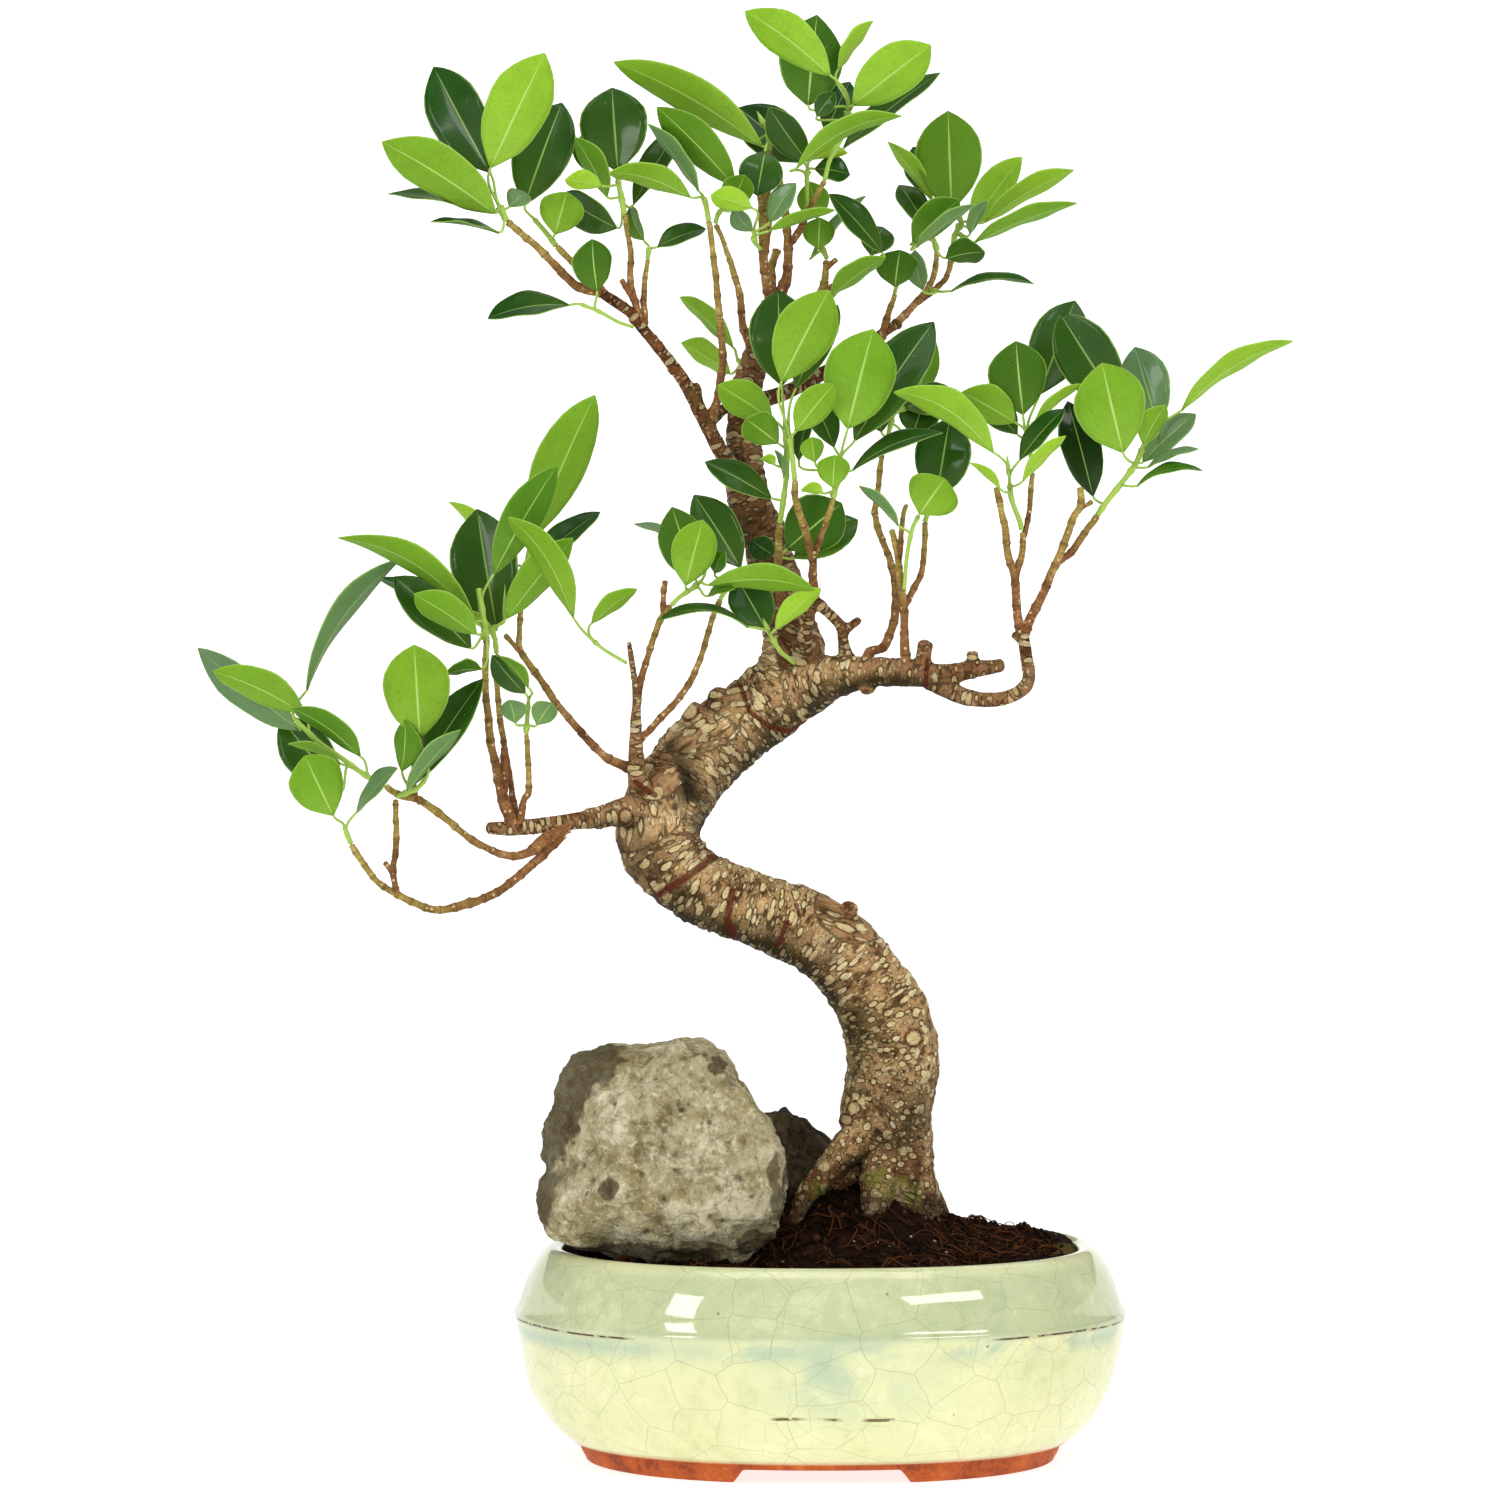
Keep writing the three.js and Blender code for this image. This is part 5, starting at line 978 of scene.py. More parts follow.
def make_groups():
    colour, number, vector = "NodeSocketColor", "NodeSocketFloat", "NodeSocketVector"

    tree, start, end = new_group(
        "Mottle",
        [("Where", vector, None), ("Scale", number, 60.0), ("Dark", colour, rgb(90, 80, 60)),
         ("Middle", colour, rgb(140, 130, 100)), ("Light", colour, rgb(190, 185, 150))],
        [("Colour", colour), ("Height", number)],
    )
    broad = cloud(tree, start["Where"], start["Scale"], 3.0, 0.5)
    fine = cloud(tree, start["Where"], times(tree, start["Scale"], 6.3), 6.0, 0.65)
    both = scaled(tree, fine, 0.45, times(tree, broad, 0.55))
    low = blend(tree, reach(tree, both, 0.34, 0.5), start["Dark"], start["Middle"])
    tree.links.new(blend(tree, reach(tree, both, 0.5, 0.66), low, start["Light"]), end["Colour"])
    tree.links.new(both, end["Height"])

    tree, start, end = new_group(
        "Speckle",
        [("Where", vector, None), ("Scale", number, 300.0), ("Size", number, 0.2), ("Share", number, 0.5)],
        [("Mask", number)],
    )
    spots = put(tree, "ShaderNodeTexVoronoi", {"Vector": start["Where"], "Scale": start["Scale"]})
    near = maths(tree, "LESS_THAN", spots.outputs["Distance"], start["Size"])
    pick = put(tree, "ShaderNodeSeparateColor", {0: spots.outputs["Color"]}).outputs[0]
    tree.links.new(times(tree, near, maths(tree, "LESS_THAN", pick, start["Share"])), end["Mask"])

    tree, start, end = new_group(
        "Lenticels",
        [("Where", vector, None), ("Scale", number, 0.3), ("Size", number, 0.3)],
        [("Mask", number), ("Shadow rim", number)],
    )
    cells = put(tree, "ShaderNodeTexVoronoi", {"Vector": start["Where"], "Scale": start["Scale"]})
    ragged = cloud(tree, start["Where"], times(tree, start["Scale"], 4.0), 3.0)
    away = maths(
        tree, "MULTIPLY_ADD", ragged, 0.16, maths(tree, "SUBTRACT", cells.outputs["Distance"], start["Size"])
    )
    tree.links.new(less(tree, reach(tree, away, 0.04, 0.1)), end["Mask"])
    # a ring round each pore, used for its dent and for its painted shadow
    inner = reach(tree, away, 0.06, 0.1)
    tree.links.new(times(tree, inner, less(tree, reach(tree, away, 0.1, 0.2))), end["Shadow rim"])

    tree, start, end = new_group(
        "Crackle",
        [("Where", vector, None), ("Scale", number, 0.1), ("Width", number, 0.01), ("Wander", number, 1.0)],
        [("Mask", number)],
    )
    edge_lines(tree, start, end, 0.12, "2D")

    tree, start, end = new_group(
        "Cracks",
        [
            ("Where", vector, None), ("Scale", number, 100.0), ("Width", number, 0.02),
            ("Wander", number, 0.002),
        ],
        [("Mask", number)],
    )
    edge_lines(tree, start, end, 60.0, "3D")


def new_material(name, gloss):
    """An empty node material: its tree, its shader and object coordinates in metres."""
    material = bpy.data.materials.new(name)
    material.use_nodes = True
    tree = material.node_tree
    tree.nodes.clear()
    shader = tree.nodes.new("ShaderNodeBsdfPrincipled")
    shader.inputs["Specular IOR Level"].default_value = gloss
    put(tree, "ShaderNodeOutputMaterial", {"Surface": shader.outputs[0]})
    where = tree.nodes.new("ShaderNodeTexCoord").outputs["Object"]
    return material, tree, shader, where


def connect(tree, shader, colour, roughness, height=None, strength=0.3, distance=0.0003):
    tree.links.new(colour, shader.inputs["Base Color"])
    if isinstance(roughness, bpy.types.NodeSocket):
        tree.links.new(roughness, shader.inputs["Roughness"])
    else:
        shader.inputs["Roughness"].default_value = roughness
    if height is not None:
        bump = put(tree, "ShaderNodeBump", {"Height": height, "Strength": strength, "Distance": distance})
        tree.links.new(bump.outputs[0], shader.inputs["Normal"])


def glaze_material(colours):
    material, tree, shader, where = new_material("crackle_glaze", 0.5)
    bare = attribute(tree, "bare")
    body = mottle(tree, where, 22.0, colours.glaze_dark, colours.glaze, colours.glaze_light)
    cool = mottle(tree, where, 30.0, colours.shoulder_dark, colours.shoulder, colours.shoulder_light)
    streak = cloud(tree, where, 34.0, 3.0, 0.5, 1.2)
    colour = blend(tree, attribute(tree, "band"), body["Colour"], cool["Colour"])
    blue = times(tree, attribute(tree, "run"), reach(tree, streak, 0.32, 0.56))
    colour = laid(tree, colour, blue, 0.85, colours.glaze_run)
    skin = put(
        tree, "ShaderNodeCombineXYZ", {0: attribute(tree, "around"), 1: attribute(tree, "up")}
    ).outputs[0]
    fine = use_group(tree, "Crackle", Where=skin, Scale=0.15, Width=0.014, Wander=1.6)["Mask"]
    wide = use_group(tree, "Crackle", Where=skin, Scale=0.062, Width=0.007, Wander=3.0)["Mask"]
    patch = reach(tree, cloud(tree, where, 26.0, 2.0), 0.44, 0.58)
    crackle = maths(tree, "MAXIMUM", times(tree, fine, times(tree, patch, 0.7)), wide)
    colour = laid(tree, colour, crackle, 0.4, rgb(128, 122, 88))
    specks = speckle(tree, where, 95.0, 0.05, 0.3)
    colour = laid(tree, colour, specks, 0.6, rgb(112, 96, 60))

    broken = reach(tree, cloud(tree, where, 260.0, 3.0), 0.4, 0.5)
    level = maths(tree, "ABSOLUTE", attribute(tree, "level"))
    halo = times(tree, less(tree, reach(tree, level, 0.2, 1.3)), attribute(tree, "rift"))
    colour = laid(tree, colour, halo, 0.3, rgb(150, 132, 92))
    line = times(tree, less(tree, reach(tree, level, 0.18, 0.42)), attribute(tree, "rift"))
    colour = blend(tree, times(tree, line, broken), colour, rgb(66, 42, 32))
    low = maths(tree, "ABSOLUTE", attribute(tree, "low"))
    dash = times(tree, less(tree, reach(tree, low, 0.3, 0.7)), attribute(tree, "dash"))
    colour = blend(tree, times(tree, dash, broken), colour, rgb(104, 88, 40))

    clay = mottle(tree, where, 90.0, rgb(132, 50, 8), colours.clay, rgb(206, 110, 42))
    colour = blend(tree, bare, colour, clay["Colour"])
    roughness = scaled(tree, bare, 0.7, 0.055)
    ripple = scaled(tree, crackle, -0.04, times(tree, cloud(tree, where, 40.0, 2.0), 0.4))
    grit = times(tree, bare, cloud(tree, where, 900.0, 3.0))
    connect(tree, shader, colour, roughness, maths(tree, "ADD", ripple, grit), 0.22, 0.0008)
    return material


def leaf_material(colours):
    material, tree, shader, where = new_material("fig_leaf", 0.12)
    across = attribute(tree, "across")
    along = attribute(tree, "along")
    upper = attribute(tree, "upper")
    shade = attribute(tree, "shade")
    sheen = attribute(tree, "sheen")
    stalk = attribute(tree, "stalk")
    top_ramp = put(tree, "ShaderNodeValToRGB", {0: shade})
    under_ramp = put(tree, "ShaderNodeValToRGB", {0: shade})
    tops = [
        rgb(10, 42, 3), colours.leaf_old, colours.leaf_middle, colours.leaf_fresh, colours.leaf_young
    ]
    unders = [
        rgb(38, 80, 12), rgb(52, 98, 14), rgb(78, 128, 20), rgb(112, 160, 32), rgb(152, 198, 48)
    ]
    for ramp, tones in ((top_ramp, tops), (under_ramp, unders)):
        for place, value in zip(LEAF_STOPS[1:-1], tones[1:-1]):
            ramp.color_ramp.elements.new(place).color = value
        ramp.color_ramp.elements[0].color = tones[0]
        ramp.color_ramp.elements[-1].position = LEAF_STOPS[-1]
        ramp.color_ramp.elements[-1].color = tones[-1]
    colour = blend(tree, upper, under_ramp.outputs[0], top_ramp.outputs[0])
    # painted sheen: a grey-green highlight laid over the leaves of tone G
    colour = laid(tree, colour, sheen, 0.45, rgb(126, 156, 118))
    patches = cloud(tree, where, 140.0, 4.0)
    darker = times(tree, reach(tree, patches, 0.4, 0.75), 0.14)
    colour = blend(tree, darker, colour, rgb(40, 92, 26))
    warm = times(tree, attribute(tree, "vary"), scaled(tree, shade, 0.34, 0.02))
    colour = blend(tree, warm, colour, rgb(140, 168, 34))
    paler = times(tree, reach(tree, along, 0.7, 0.0), scaled(tree, shade, 0.22, 0.04))
    colour = blend(tree, paler, colour, rgb(158, 190, 84))
    grain = times(tree, reach(tree, cloud(tree, where, 900.0, 3.0), 0.5, 0.7), 0.16)
    colour = blend(tree, grain, colour, rgb(30, 76, 18))
    aside = maths(tree, "ABSOLUTE", across)
    slant = scaled(tree, aside, -5.0, times(tree, along, 17.0))
    wave = maths(tree, "ABSOLUTE", maths(tree, "SUBTRACT", maths(tree, "FRACT", slant), 0.5))
    side_vein = less(tree, reach(tree, wave, 0.0, 0.1))
    side_vein = times(tree, side_vein, less(tree, stalk))
    vein_share = scaled(tree, upper, -0.05, 0.09)
    colour = blend(tree, times(tree, side_vein, vein_share), colour, rgb(176, 206, 104))
    rib_width = scaled(tree, along, -0.035, 0.062)
    rib = less(tree, reach(tree, maths(tree, "DIVIDE", aside, rib_width), 0.35, 1.0))
    rib_share = scaled(tree, upper, -0.32, 0.8)
    colour = blend(tree, times(tree, rib, rib_share), colour, rgb(178, 208, 112))
    margin = reach(tree, aside, 0.93, 0.985)
    colour = laid(tree, colour, margin, 0.55, rgb(166, 200, 92))
    colour = blend(tree, stalk, colour, rgb(158, 188, 84))
    flecks = speckle(tree, where, 420.0, 0.1, 0.12)
    colour = laid(tree, colour, flecks, 0.25, rgb(196, 210, 150))
    roughness = scaled(tree, upper, -0.22, 0.52)
    roughness = scaled(tree, patches, 0.1, roughness)
    height = scaled(tree, side_vein, 0.1, times(tree, cloud(tree, where, 500.0, 3.0), 0.35))
    connect(tree, shader, colour, roughness, height, 0.25, 0.0003)
    tree.links.new(times(tree, upper, 0.18), shader.inputs["Coat Weight"])
    shader.inputs["Coat Roughness"].default_value = 0.1
    return material


def bark_material(colours):
    material, tree, shader, where = new_material("fig_bark", 0.1)
    moss = attribute(tree, "moss")
    under = attribute(tree, "under")
    skin = put(
        tree,
        "ShaderNodeCombineXYZ",
        {0: attribute(tree, "skin_x"), 1: attribute(tree, "skin_y"), 2: attribute(tree, "skin_z")},
    ).outputs[0]
    wood = mottle(tree, where, 110.0, colours.bark_dark, colours.bark, colours.bark_light)
    ruddy = mottle(tree, where, 150.0, rgb(62, 28, 14), rgb(114, 66, 36), rgb(166, 120, 78))
    colour = blend(tree, attribute(tree, "ruddy"), wood["Colour"], ruddy["Colour"])
    rings = cloud(tree, skin, 0.42, 6.0, 0.66, 0.4)
    colour = laid(tree, colour, reach(tree, rings, 0.5, 0.6), 0.8, rgb(66, 40, 18))
    green = cloud(tree, where, 45.0, 4.0)
    colour = laid(tree, colour, reach(tree, green, 0.5, 0.72), 0.4, rgb(116, 104, 58))
    # painted shade: the bark is darkened to olive brown where it faces down, broken up by clouds
    shade = times(tree, under, reach(tree, cloud(tree, where, 130.0, 4.0), 0.08, 0.42))
    colour = blend(tree, shade, colour, rgb(52, 42, 16))

    pores = use_group(tree, "Lenticels", Where=skin, Scale=0.36, Size=0.34)
    seeds = use_group(tree, "Lenticels", Where=skin, Scale=0.7, Size=0.3)
    pale = maths(tree, "MAXIMUM", pores["Mask"], times(tree, seeds["Mask"], 0.7))
    pale = maths(tree, "MAXIMUM", pale, reach(tree, attribute(tree, "mark"), 0.25, 0.5))
    # painted shadow: each raised pale pore gets a dark ring round it, which also dents the bump
    rim = maths(tree, "MAXIMUM", pores["Shadow rim"], times(tree, seeds["Shadow rim"], 0.5))
    colour = laid(tree, colour, rim, 0.8, rgb(56, 38, 18))
    grain = mottle(tree, where, 260.0, rgb(200, 172, 116), colours.pores, rgb(250, 238, 196))
    # the pale pores show less in the painted shade on the undersides and on the ruddy bark
    covered = scaled(tree, under, -0.55, 0.88)
    covered = scaled(tree, attribute(tree, "ruddy"), -0.42, covered, True)
    colour = blend(tree, times(tree, pale, covered), colour, grain["Colour"])
    # painted shade in the crease by the left limb, and the bark darker at its foot
    colour = blend(tree, attribute(tree, "fold"), colour, rgb(36, 27, 12))
    scar = reach(tree, attribute(tree, "scar"), 0.25, 0.6)
    colour = laid(tree, colour, scar, 0.85, rgb(92, 34, 16))
    moss = times(tree, moss, reach(tree, cloud(tree, where, 300.0, 5.0), 0.36, 0.56))
    colour = laid(tree, colour, moss, 0.8, rgb(118, 122, 50))
    height = maths(tree, "ADD", rings, times(tree, cloud(tree, where, 1300.0, 4.0), 0.7))
    height = scaled(tree, pale, 0.75, height)
    height = scaled(tree, rim, -0.4, height)
    connect(tree, shader, colour, scaled(tree, wood["Height"], 0.3, 0.5), height, 0.9, 0.0016)
    return material


def twig_material(colours):
    material, tree, shader, where = new_material("fig_twig", 0.15)
    length = attribute(tree, "length")
    brown = mottle(tree, where, 190.0, rgb(80, 44, 22), colours.twigs, rgb(182, 140, 90))
    green = mottle(tree, where, 190.0, rgb(116, 94, 40), rgb(160, 142, 66), rgb(196, 182, 100))
    colour = blend(tree, attribute(tree, "young"), brown["Colour"], green["Colour"])
    band = cloud(tree, put(tree, "ShaderNodeCombineXYZ", {0: length}).outputs[0], 1.6, 4.0)
    colour = laid(tree, colour, reach(tree, band, 0.48, 0.62), 0.4, rgb(74, 40, 24))
    pores = speckle(tree, where, 560.0, 0.28, 0.34)
    colour = laid(tree, colour, pores, 0.75, rgb(214, 192, 146))
    colour = laid(tree, colour, attribute(tree, "ring"), 0.45, rgb(72, 38, 22))
    height = maths(tree, "ADD", band, scaled(tree, pores, 0.5, cloud(tree, where, 1500.0, 3.0)))
    connect(tree, shader, colour, 0.55, height, 0.6, 0.0005)
    return material


def soil_material(colours):
    material, tree, shader, where = new_material("potting_soil", 0.05)
    fibre = attribute(tree, "fibre")
    moss = attribute(tree, "moss")
    earth = mottle(tree, where, 190.0, rgb(13, 7, 4), colours.soil, rgb(56, 35, 22))
    colour = blend(tree, fibre, earth["Colour"], rgb(92, 54, 28))
    colour = blend(tree, moss, colour, rgb(96, 84, 36))
    crumbs = speckle(tree, where, 260.0, 0.16, 0.06)
    colour = laid(tree, colour, crumbs, 0.7, rgb(196, 184, 160))
    height = maths(tree, "ADD", earth["Height"], cloud(tree, where, 1800.0, 4.0))
    connect(tree, shader, colour, 0.85, height, 0.7, 0.0008)
    return material


def stone_material(name, dark, middle, light, crust, scale):
    material, tree, shader, where = new_material(name, 0.1)
    pit = attribute(tree, "pit")
    crest = attribute(tree, "crest")
    rock = mottle(tree, where, scale, dark, middle, light)
    colour = rock["Colour"]
    broad = cloud(tree, where, 30.0, 8.0, 0.62, 0.8)
    colour = laid(tree, colour, reach(tree, broad, 0.52, 0.6), 0.55, crust)
    colour = laid(tree, colour, reach(tree, crest, 0.55, 1.0), 0.38, light)
    colour = laid(tree, colour, reach(tree, less(tree, crest), 0.55, 1.0), 0.4, dark)
    patch = reach(tree, cloud(tree, where, 48.0, 7.0, 0.68, 0.5), 0.53, 0.6)
    colour = laid(tree, colour, patch, 0.55, light)
    fine = cloud(tree, where, 420.0, 5.0, 0.7)
    colour = laid(tree, colour, reach(tree, fine, 0.54, 0.64), 0.65, light)
    colour = laid(tree, colour, reach(tree, less(tree, fine), 0.54, 0.66), 0.6, dark)
    veins = use_group(tree, "Cracks", Where=where, Scale=70.0, Width=0.02, Wander=0.012)["Mask"]
    colour = laid(tree, colour, veins, 0.25, dark)
    holes = speckle(tree, where, 230.0, 0.2, 0.16)
    colour = laid(tree, colour, holes, 0.6, rgb(62, 54, 38))
    # darker where the listed dark patches and the dark left side of the front stone are
    stain = maths(
        tree, "MULTIPLY_ADD", attribute(tree, "stain"), 1.5,
        maths(tree, "SUBTRACT", cloud(tree, where, 90.0, 6.0), 0.8)
    )
    stain = times(tree, reach(tree, stain, 0.0, 0.8), 0.78)
    colour = blend(tree, stain, colour, rgb(78, 66, 44))
    colour = laid(tree, colour, pit, 0.7, rgb(66, 54, 32))
    height = maths(tree, "ADD", rock["Height"], times(tree, cloud(tree, where, 1100.0, 4.0), 0.7))
    height = scaled(tree, fine, 0.8, height)
    height = scaled(tree, maths(tree, "ADD", holes, veins), -0.25, height)
    connect(tree, shader, colour, 0.8, height, 1.0, 0.0026)
    return material


# Pieces

def oval(turn, half_length):
    """The place on an oval of the pot's shape at a turn."""
    across, along = [np.sign(v) * np.abs(v) ** (2 / OVAL_POWER) for v in (np.cos(turn), np.sin(turn))]
    return half_length * across, half_length * POT_DEPTH_RATIO * along


def make_pot(sides, unevenness, material):
    turns = np.pi / 2 + 2 * np.pi * np.arange(sides + 1) / sides
    rows = spline([(a, z, 0.0) for a, z in POT_PROFILE], 1.6)
    up = np.repeat(lengths_along(rows), sides + 1)
    around = np.tile(turns * 88, len(rows))
    points = []
    for half_length, z, _ in rows:
        x, y = oval(turns, half_length)
        points.append(np.stack([x, y, np.full(sides + 1, z)], axis=1))
    points = np.vstack(points)
    footed = points[:, 2] < FOOT_HEIGHT
    cut = 1 - smooth(np.abs(points[:, 0]), ARCH_HALF_WIDTH - 1, ARCH_HALF_WIDTH + 3)
    points[footed, 2] += (FOOT_HEIGHT - points[footed, 2]) * cut[footed]
    glazed = smooth(points[:, 2], 6.6, 7.4)
    lumps = unevenness * fractal(points, 26.0, 2, 3) * glazed
    outward = points / np.linalg.norm(points[:, :2], axis=1)[:, None]
    points[:, :2] += lumps[:, None] * outward[:, :2]
    level = points[:, 2] - KILN_LINE_HEIGHT - 0.7 * noise(points, 30.0, 8)
    rift = smooth(np.abs(points[:, 0] + 3), 56, 62) * (points[:, 1] < 20)
    low = points[:, 2] - KILN_DASH_HEIGHT - 0.5 * noise(points, 9.0, 9)
    dash = np.zeros(len(points))
    for middle, half in KILN_DASHES:
        dash = np.maximum(dash, 1 - smooth(np.abs(points[:, 0] - middle), half - 1.5, half + 1))
    dash *= points[:, 1] < 0
    run = np.exp(-(((points[:, 0] - 8) / 19) ** 2))
    run = run * smooth(points[:, 2], 16, 40) * (1 - smooth(points[:, 2], 46, 52))
    run = np.maximum(run, 0.8 * np.exp(-(((points[:, 2] - 44.5) / 3.4) ** 2)))
    band = 0.75 * smooth(points[:, 2], 47, 49.5) * (1 - 0.5 * smooth(points[:, 2], 66, 69))
    lines = {"level": level, "rift": rift, "low": low, "dash": dash}
    glaze = {"run": run, "band": band, "around": around, "up": up, "bare": 1 - glazed}
    shell = Shell()
    shell.add(points + MIDDLE, grid_faces(len(rows), sides + 1, False), **lines, **glaze)
    disc = []
    steps = np.linspace(1, 0.02, 26)
    for share in steps:
        x, y = oval(turns, POT_PROFILE[0][0] * share)
        disc.append(np.stack([x, y, np.full(sides + 1, FOOT_HEIGHT)], axis=1))
    disc = np.vstack(disc)
    for x in (-DRAIN_X, DRAIN_X):
        disc[:, 2] += DRAIN_DEPTH * (1 - smooth(np.hypot(disc[:, 0] - x, disc[:, 1]), 5.0, 6.0))
    shell.add(disc + MIDDLE, grid_faces(len(steps), sides + 1, False), bare=1.0)
    return piece("pot_body", shell, material, "glaze", "pot")


def soil_height(x, y):
    slope = smooth(y, -35, 25)
    across = (x - HEAP["x"]) / np.where(x < HEAP["x"], HEAP["left"], HEAP["right"])
    along = (y - HEAP["y"]) / np.where(y < HEAP["y"], HEAP["front"], HEAP["back"])
    heap = HEAP["height"] * np.exp(-(across**2) - along**2)
    edge = np.hypot(x / HEAP_EDGE, y / (HEAP_EDGE * POT_DEPTH_RATIO))
    return SOIL_FRONT + (SOIL_BACK - SOIL_FRONT) * slope + heap * (1 - smooth(edge, 0.8, 1))


def soil_surface(x, y):
    places = np.stack([x, y, np.zeros_like(x)], axis=1)
    rough = 1.5 * fractal(places, 11.0, 2, 21) + 0.9 * fractal(places, 3.6, 3, 24)
    edge = np.hypot(x / HEAP_EDGE, y / (HEAP_EDGE * POT_DEPTH_RATIO))
    return soil_height(x, y) + rough * (1 - 0.7 * smooth(edge, 0.9, 1.0))


def make_soil(crumbs, material):
    random = np.random.default_rng(7)
    shell = Shell()
    sides = 260
    turns = 2 * np.pi * np.arange(sides) / sides
    shares = np.linspace(1, 0.01, 96)
    rows = []
    for share in shares:
        x, y = oval(turns, SOIL_HALF_LENGTH * share)
        rows.append(np.stack([x, y, soil_surface(x, y)], axis=1))
    points = np.vstack(rows)
    points[:sides, 2] -= 3
    green = 0.7 * smooth(noise(points, 9.0, 31), 0.35, 0.7)
    green = green * smooth(points[:, 0], 30, 60) * (points[:, 1] > -10)
    faces = [tuple(reversed(face)) for face in grid_faces(len(shares), sides, True)]
    shell.add(points + MIDDLE, faces, moss=green)
    corners = np.array([(1, 0, 0), (0, 1, 0), (-1, 0, 0), (0, -1, 0), (0, 0, 1), (0, 0, -1)], float)
    sides8 = [(0, 1, 4), (1, 2, 4), (2, 3, 4), (3, 0, 4), (1, 0, 5), (2, 1, 5), (3, 2, 5), (0, 3, 5)]
    for _ in range(crumbs):
        share = random.uniform(0, 0.97) ** 0.6
        x, y = oval(random.uniform(0, 2 * np.pi), CRUMB_REACH * share)
        z = float(soil_surface(np.array([float(x)]), np.array([float(y)]))[0])
        size = random.uniform(0.4, 1.5) * (1.6 if random.random() < 0.08 else 1)
        body = corners * size * random.uniform(0.6, 1.2, (6, 1))
        turn = random.uniform(0, 2 * np.pi)
        cosine, sine = math.cos(turn), math.sin(turn)
        spun = body @ np.array([[cosine, sine, 0], [-sine, cosine, 0.3], [0, 0.2, 1]])
        spun = spun + (float(x), float(y), z + 0.2 * size) + MIDDLE
        shell.add(spun, sides8, fibre=float(random.random() < 0.12) * 0.7)
    for number in range(crumbs // 6):
        crest = number % 3 == 0
        turn = random.uniform(-0.6, 0.9) if crest else random.uniform(0, 2 * np.pi)
        share = random.uniform(0.45, 0.96) if crest else random.uniform(0.2, 0.96)
        x, y = oval(turn, FIBRE_REACH * share)
        way = random.uniform(0, 2 * np.pi)
        length = random.uniform(4, 15)
        steps = np.linspace(0, 1, 7)
        curl = random.uniform(-1.2, 1.2)
        line_x = float(x) + length * (steps - 0.5) * np.cos(way + curl * steps)
        line_y = float(y) + length * (steps - 0.5) * np.sin(way + curl * steps)
        edge = np.hypot(line_x / FIBRE_LIMIT, line_y / (FIBRE_LIMIT * POT_DEPTH_RATIO))
        if edge.max() > 1:
            continue
        lift = random.uniform(0.1, 1.0) + random.uniform(0, 2.2) * np.sin(np.pi * steps)
        centres = np.stack([line_x, line_y, soil_surface(line_x, line_y) + lift], axis=1)
        points, faces, _, _ = tube(centres, np.full(7, random.uniform(0.14, 0.34)), 4)
        shell.add(points + MIDDLE, faces, fibre=random.choice([0.15, 0.4, 0.8, 1.0]))
    return piece("soil_surface", shell, material, "soil", "soil")


def ball(level):
    """A ball of radius 1 made by splitting an icosahedron's faces, with no points bunched at poles."""
    mesh = bpy.data.meshes.new("ball")
    work = bmesh.new()
    bmesh.ops.create_icosphere(work, subdivisions=level, radius=1.0)
    work.to_mesh(mesh)
    work.free()
    points = np.empty(len(mesh.vertices) * 3)
    mesh.vertices.foreach_get("co", points)
    faces = [tuple(face.vertices) for face in mesh.polygons]
    bpy.data.meshes.remove(mesh)
    return points.reshape(-1, 3), faces


def stone_shape(facets, sharpness, directions):
    """Points of a block cut by facets at their distances, with edges as sharp as the number is high."""
    total = np.zeros(len(directions))
    for x, y, z, distance in facets:
        normal = np.array([x, y, z], float)
        normal /= np.linalg.norm(normal)
        total += np.maximum(0, directions @ normal / distance) ** sharpness
    return directions * (total ** (-1 / sharpness))[:, None]


def fit_outline(points, centre, outline):
    """Points moved in or out from a centre so that their outline from the front follows the given one."""
    flat = seen(points + centre)
    middle = seen(centre[None, :])[0]
    away = flat - middle
    angle = np.arctan2(away[:, 1], away[:, 0])
    wanted = np.asarray(outline, float) - middle
    wanted_angle = np.arctan2(wanted[:, 1], wanted[:, 0])
    order = np.argsort(wanted_angle)
    wanted_reach = np.linalg.norm(wanted, axis=1)[order]
    wanted_angle = wanted_angle[order]
    bins = 180
    slot_of = ((angle + np.pi) / (2 * np.pi) * bins).astype(int) % bins
    widest = np.zeros(bins)
    np.maximum.at(widest, slot_of, np.linalg.norm(away, axis=1))
    middles = (np.arange(bins) + 0.5) / bins * 2 * np.pi - np.pi
    target = np.interp(middles, wanted_angle, wanted_reach, period=2 * np.pi)
    share = np.clip(target / np.maximum(widest, 1e-6), 0.8, 1.25)
    scale = np.interp(angle, middles, share, period=2 * np.pi)
    points = points.copy()
    points[:, 0] *= scale
    points[:, 2] *= scale
    return points


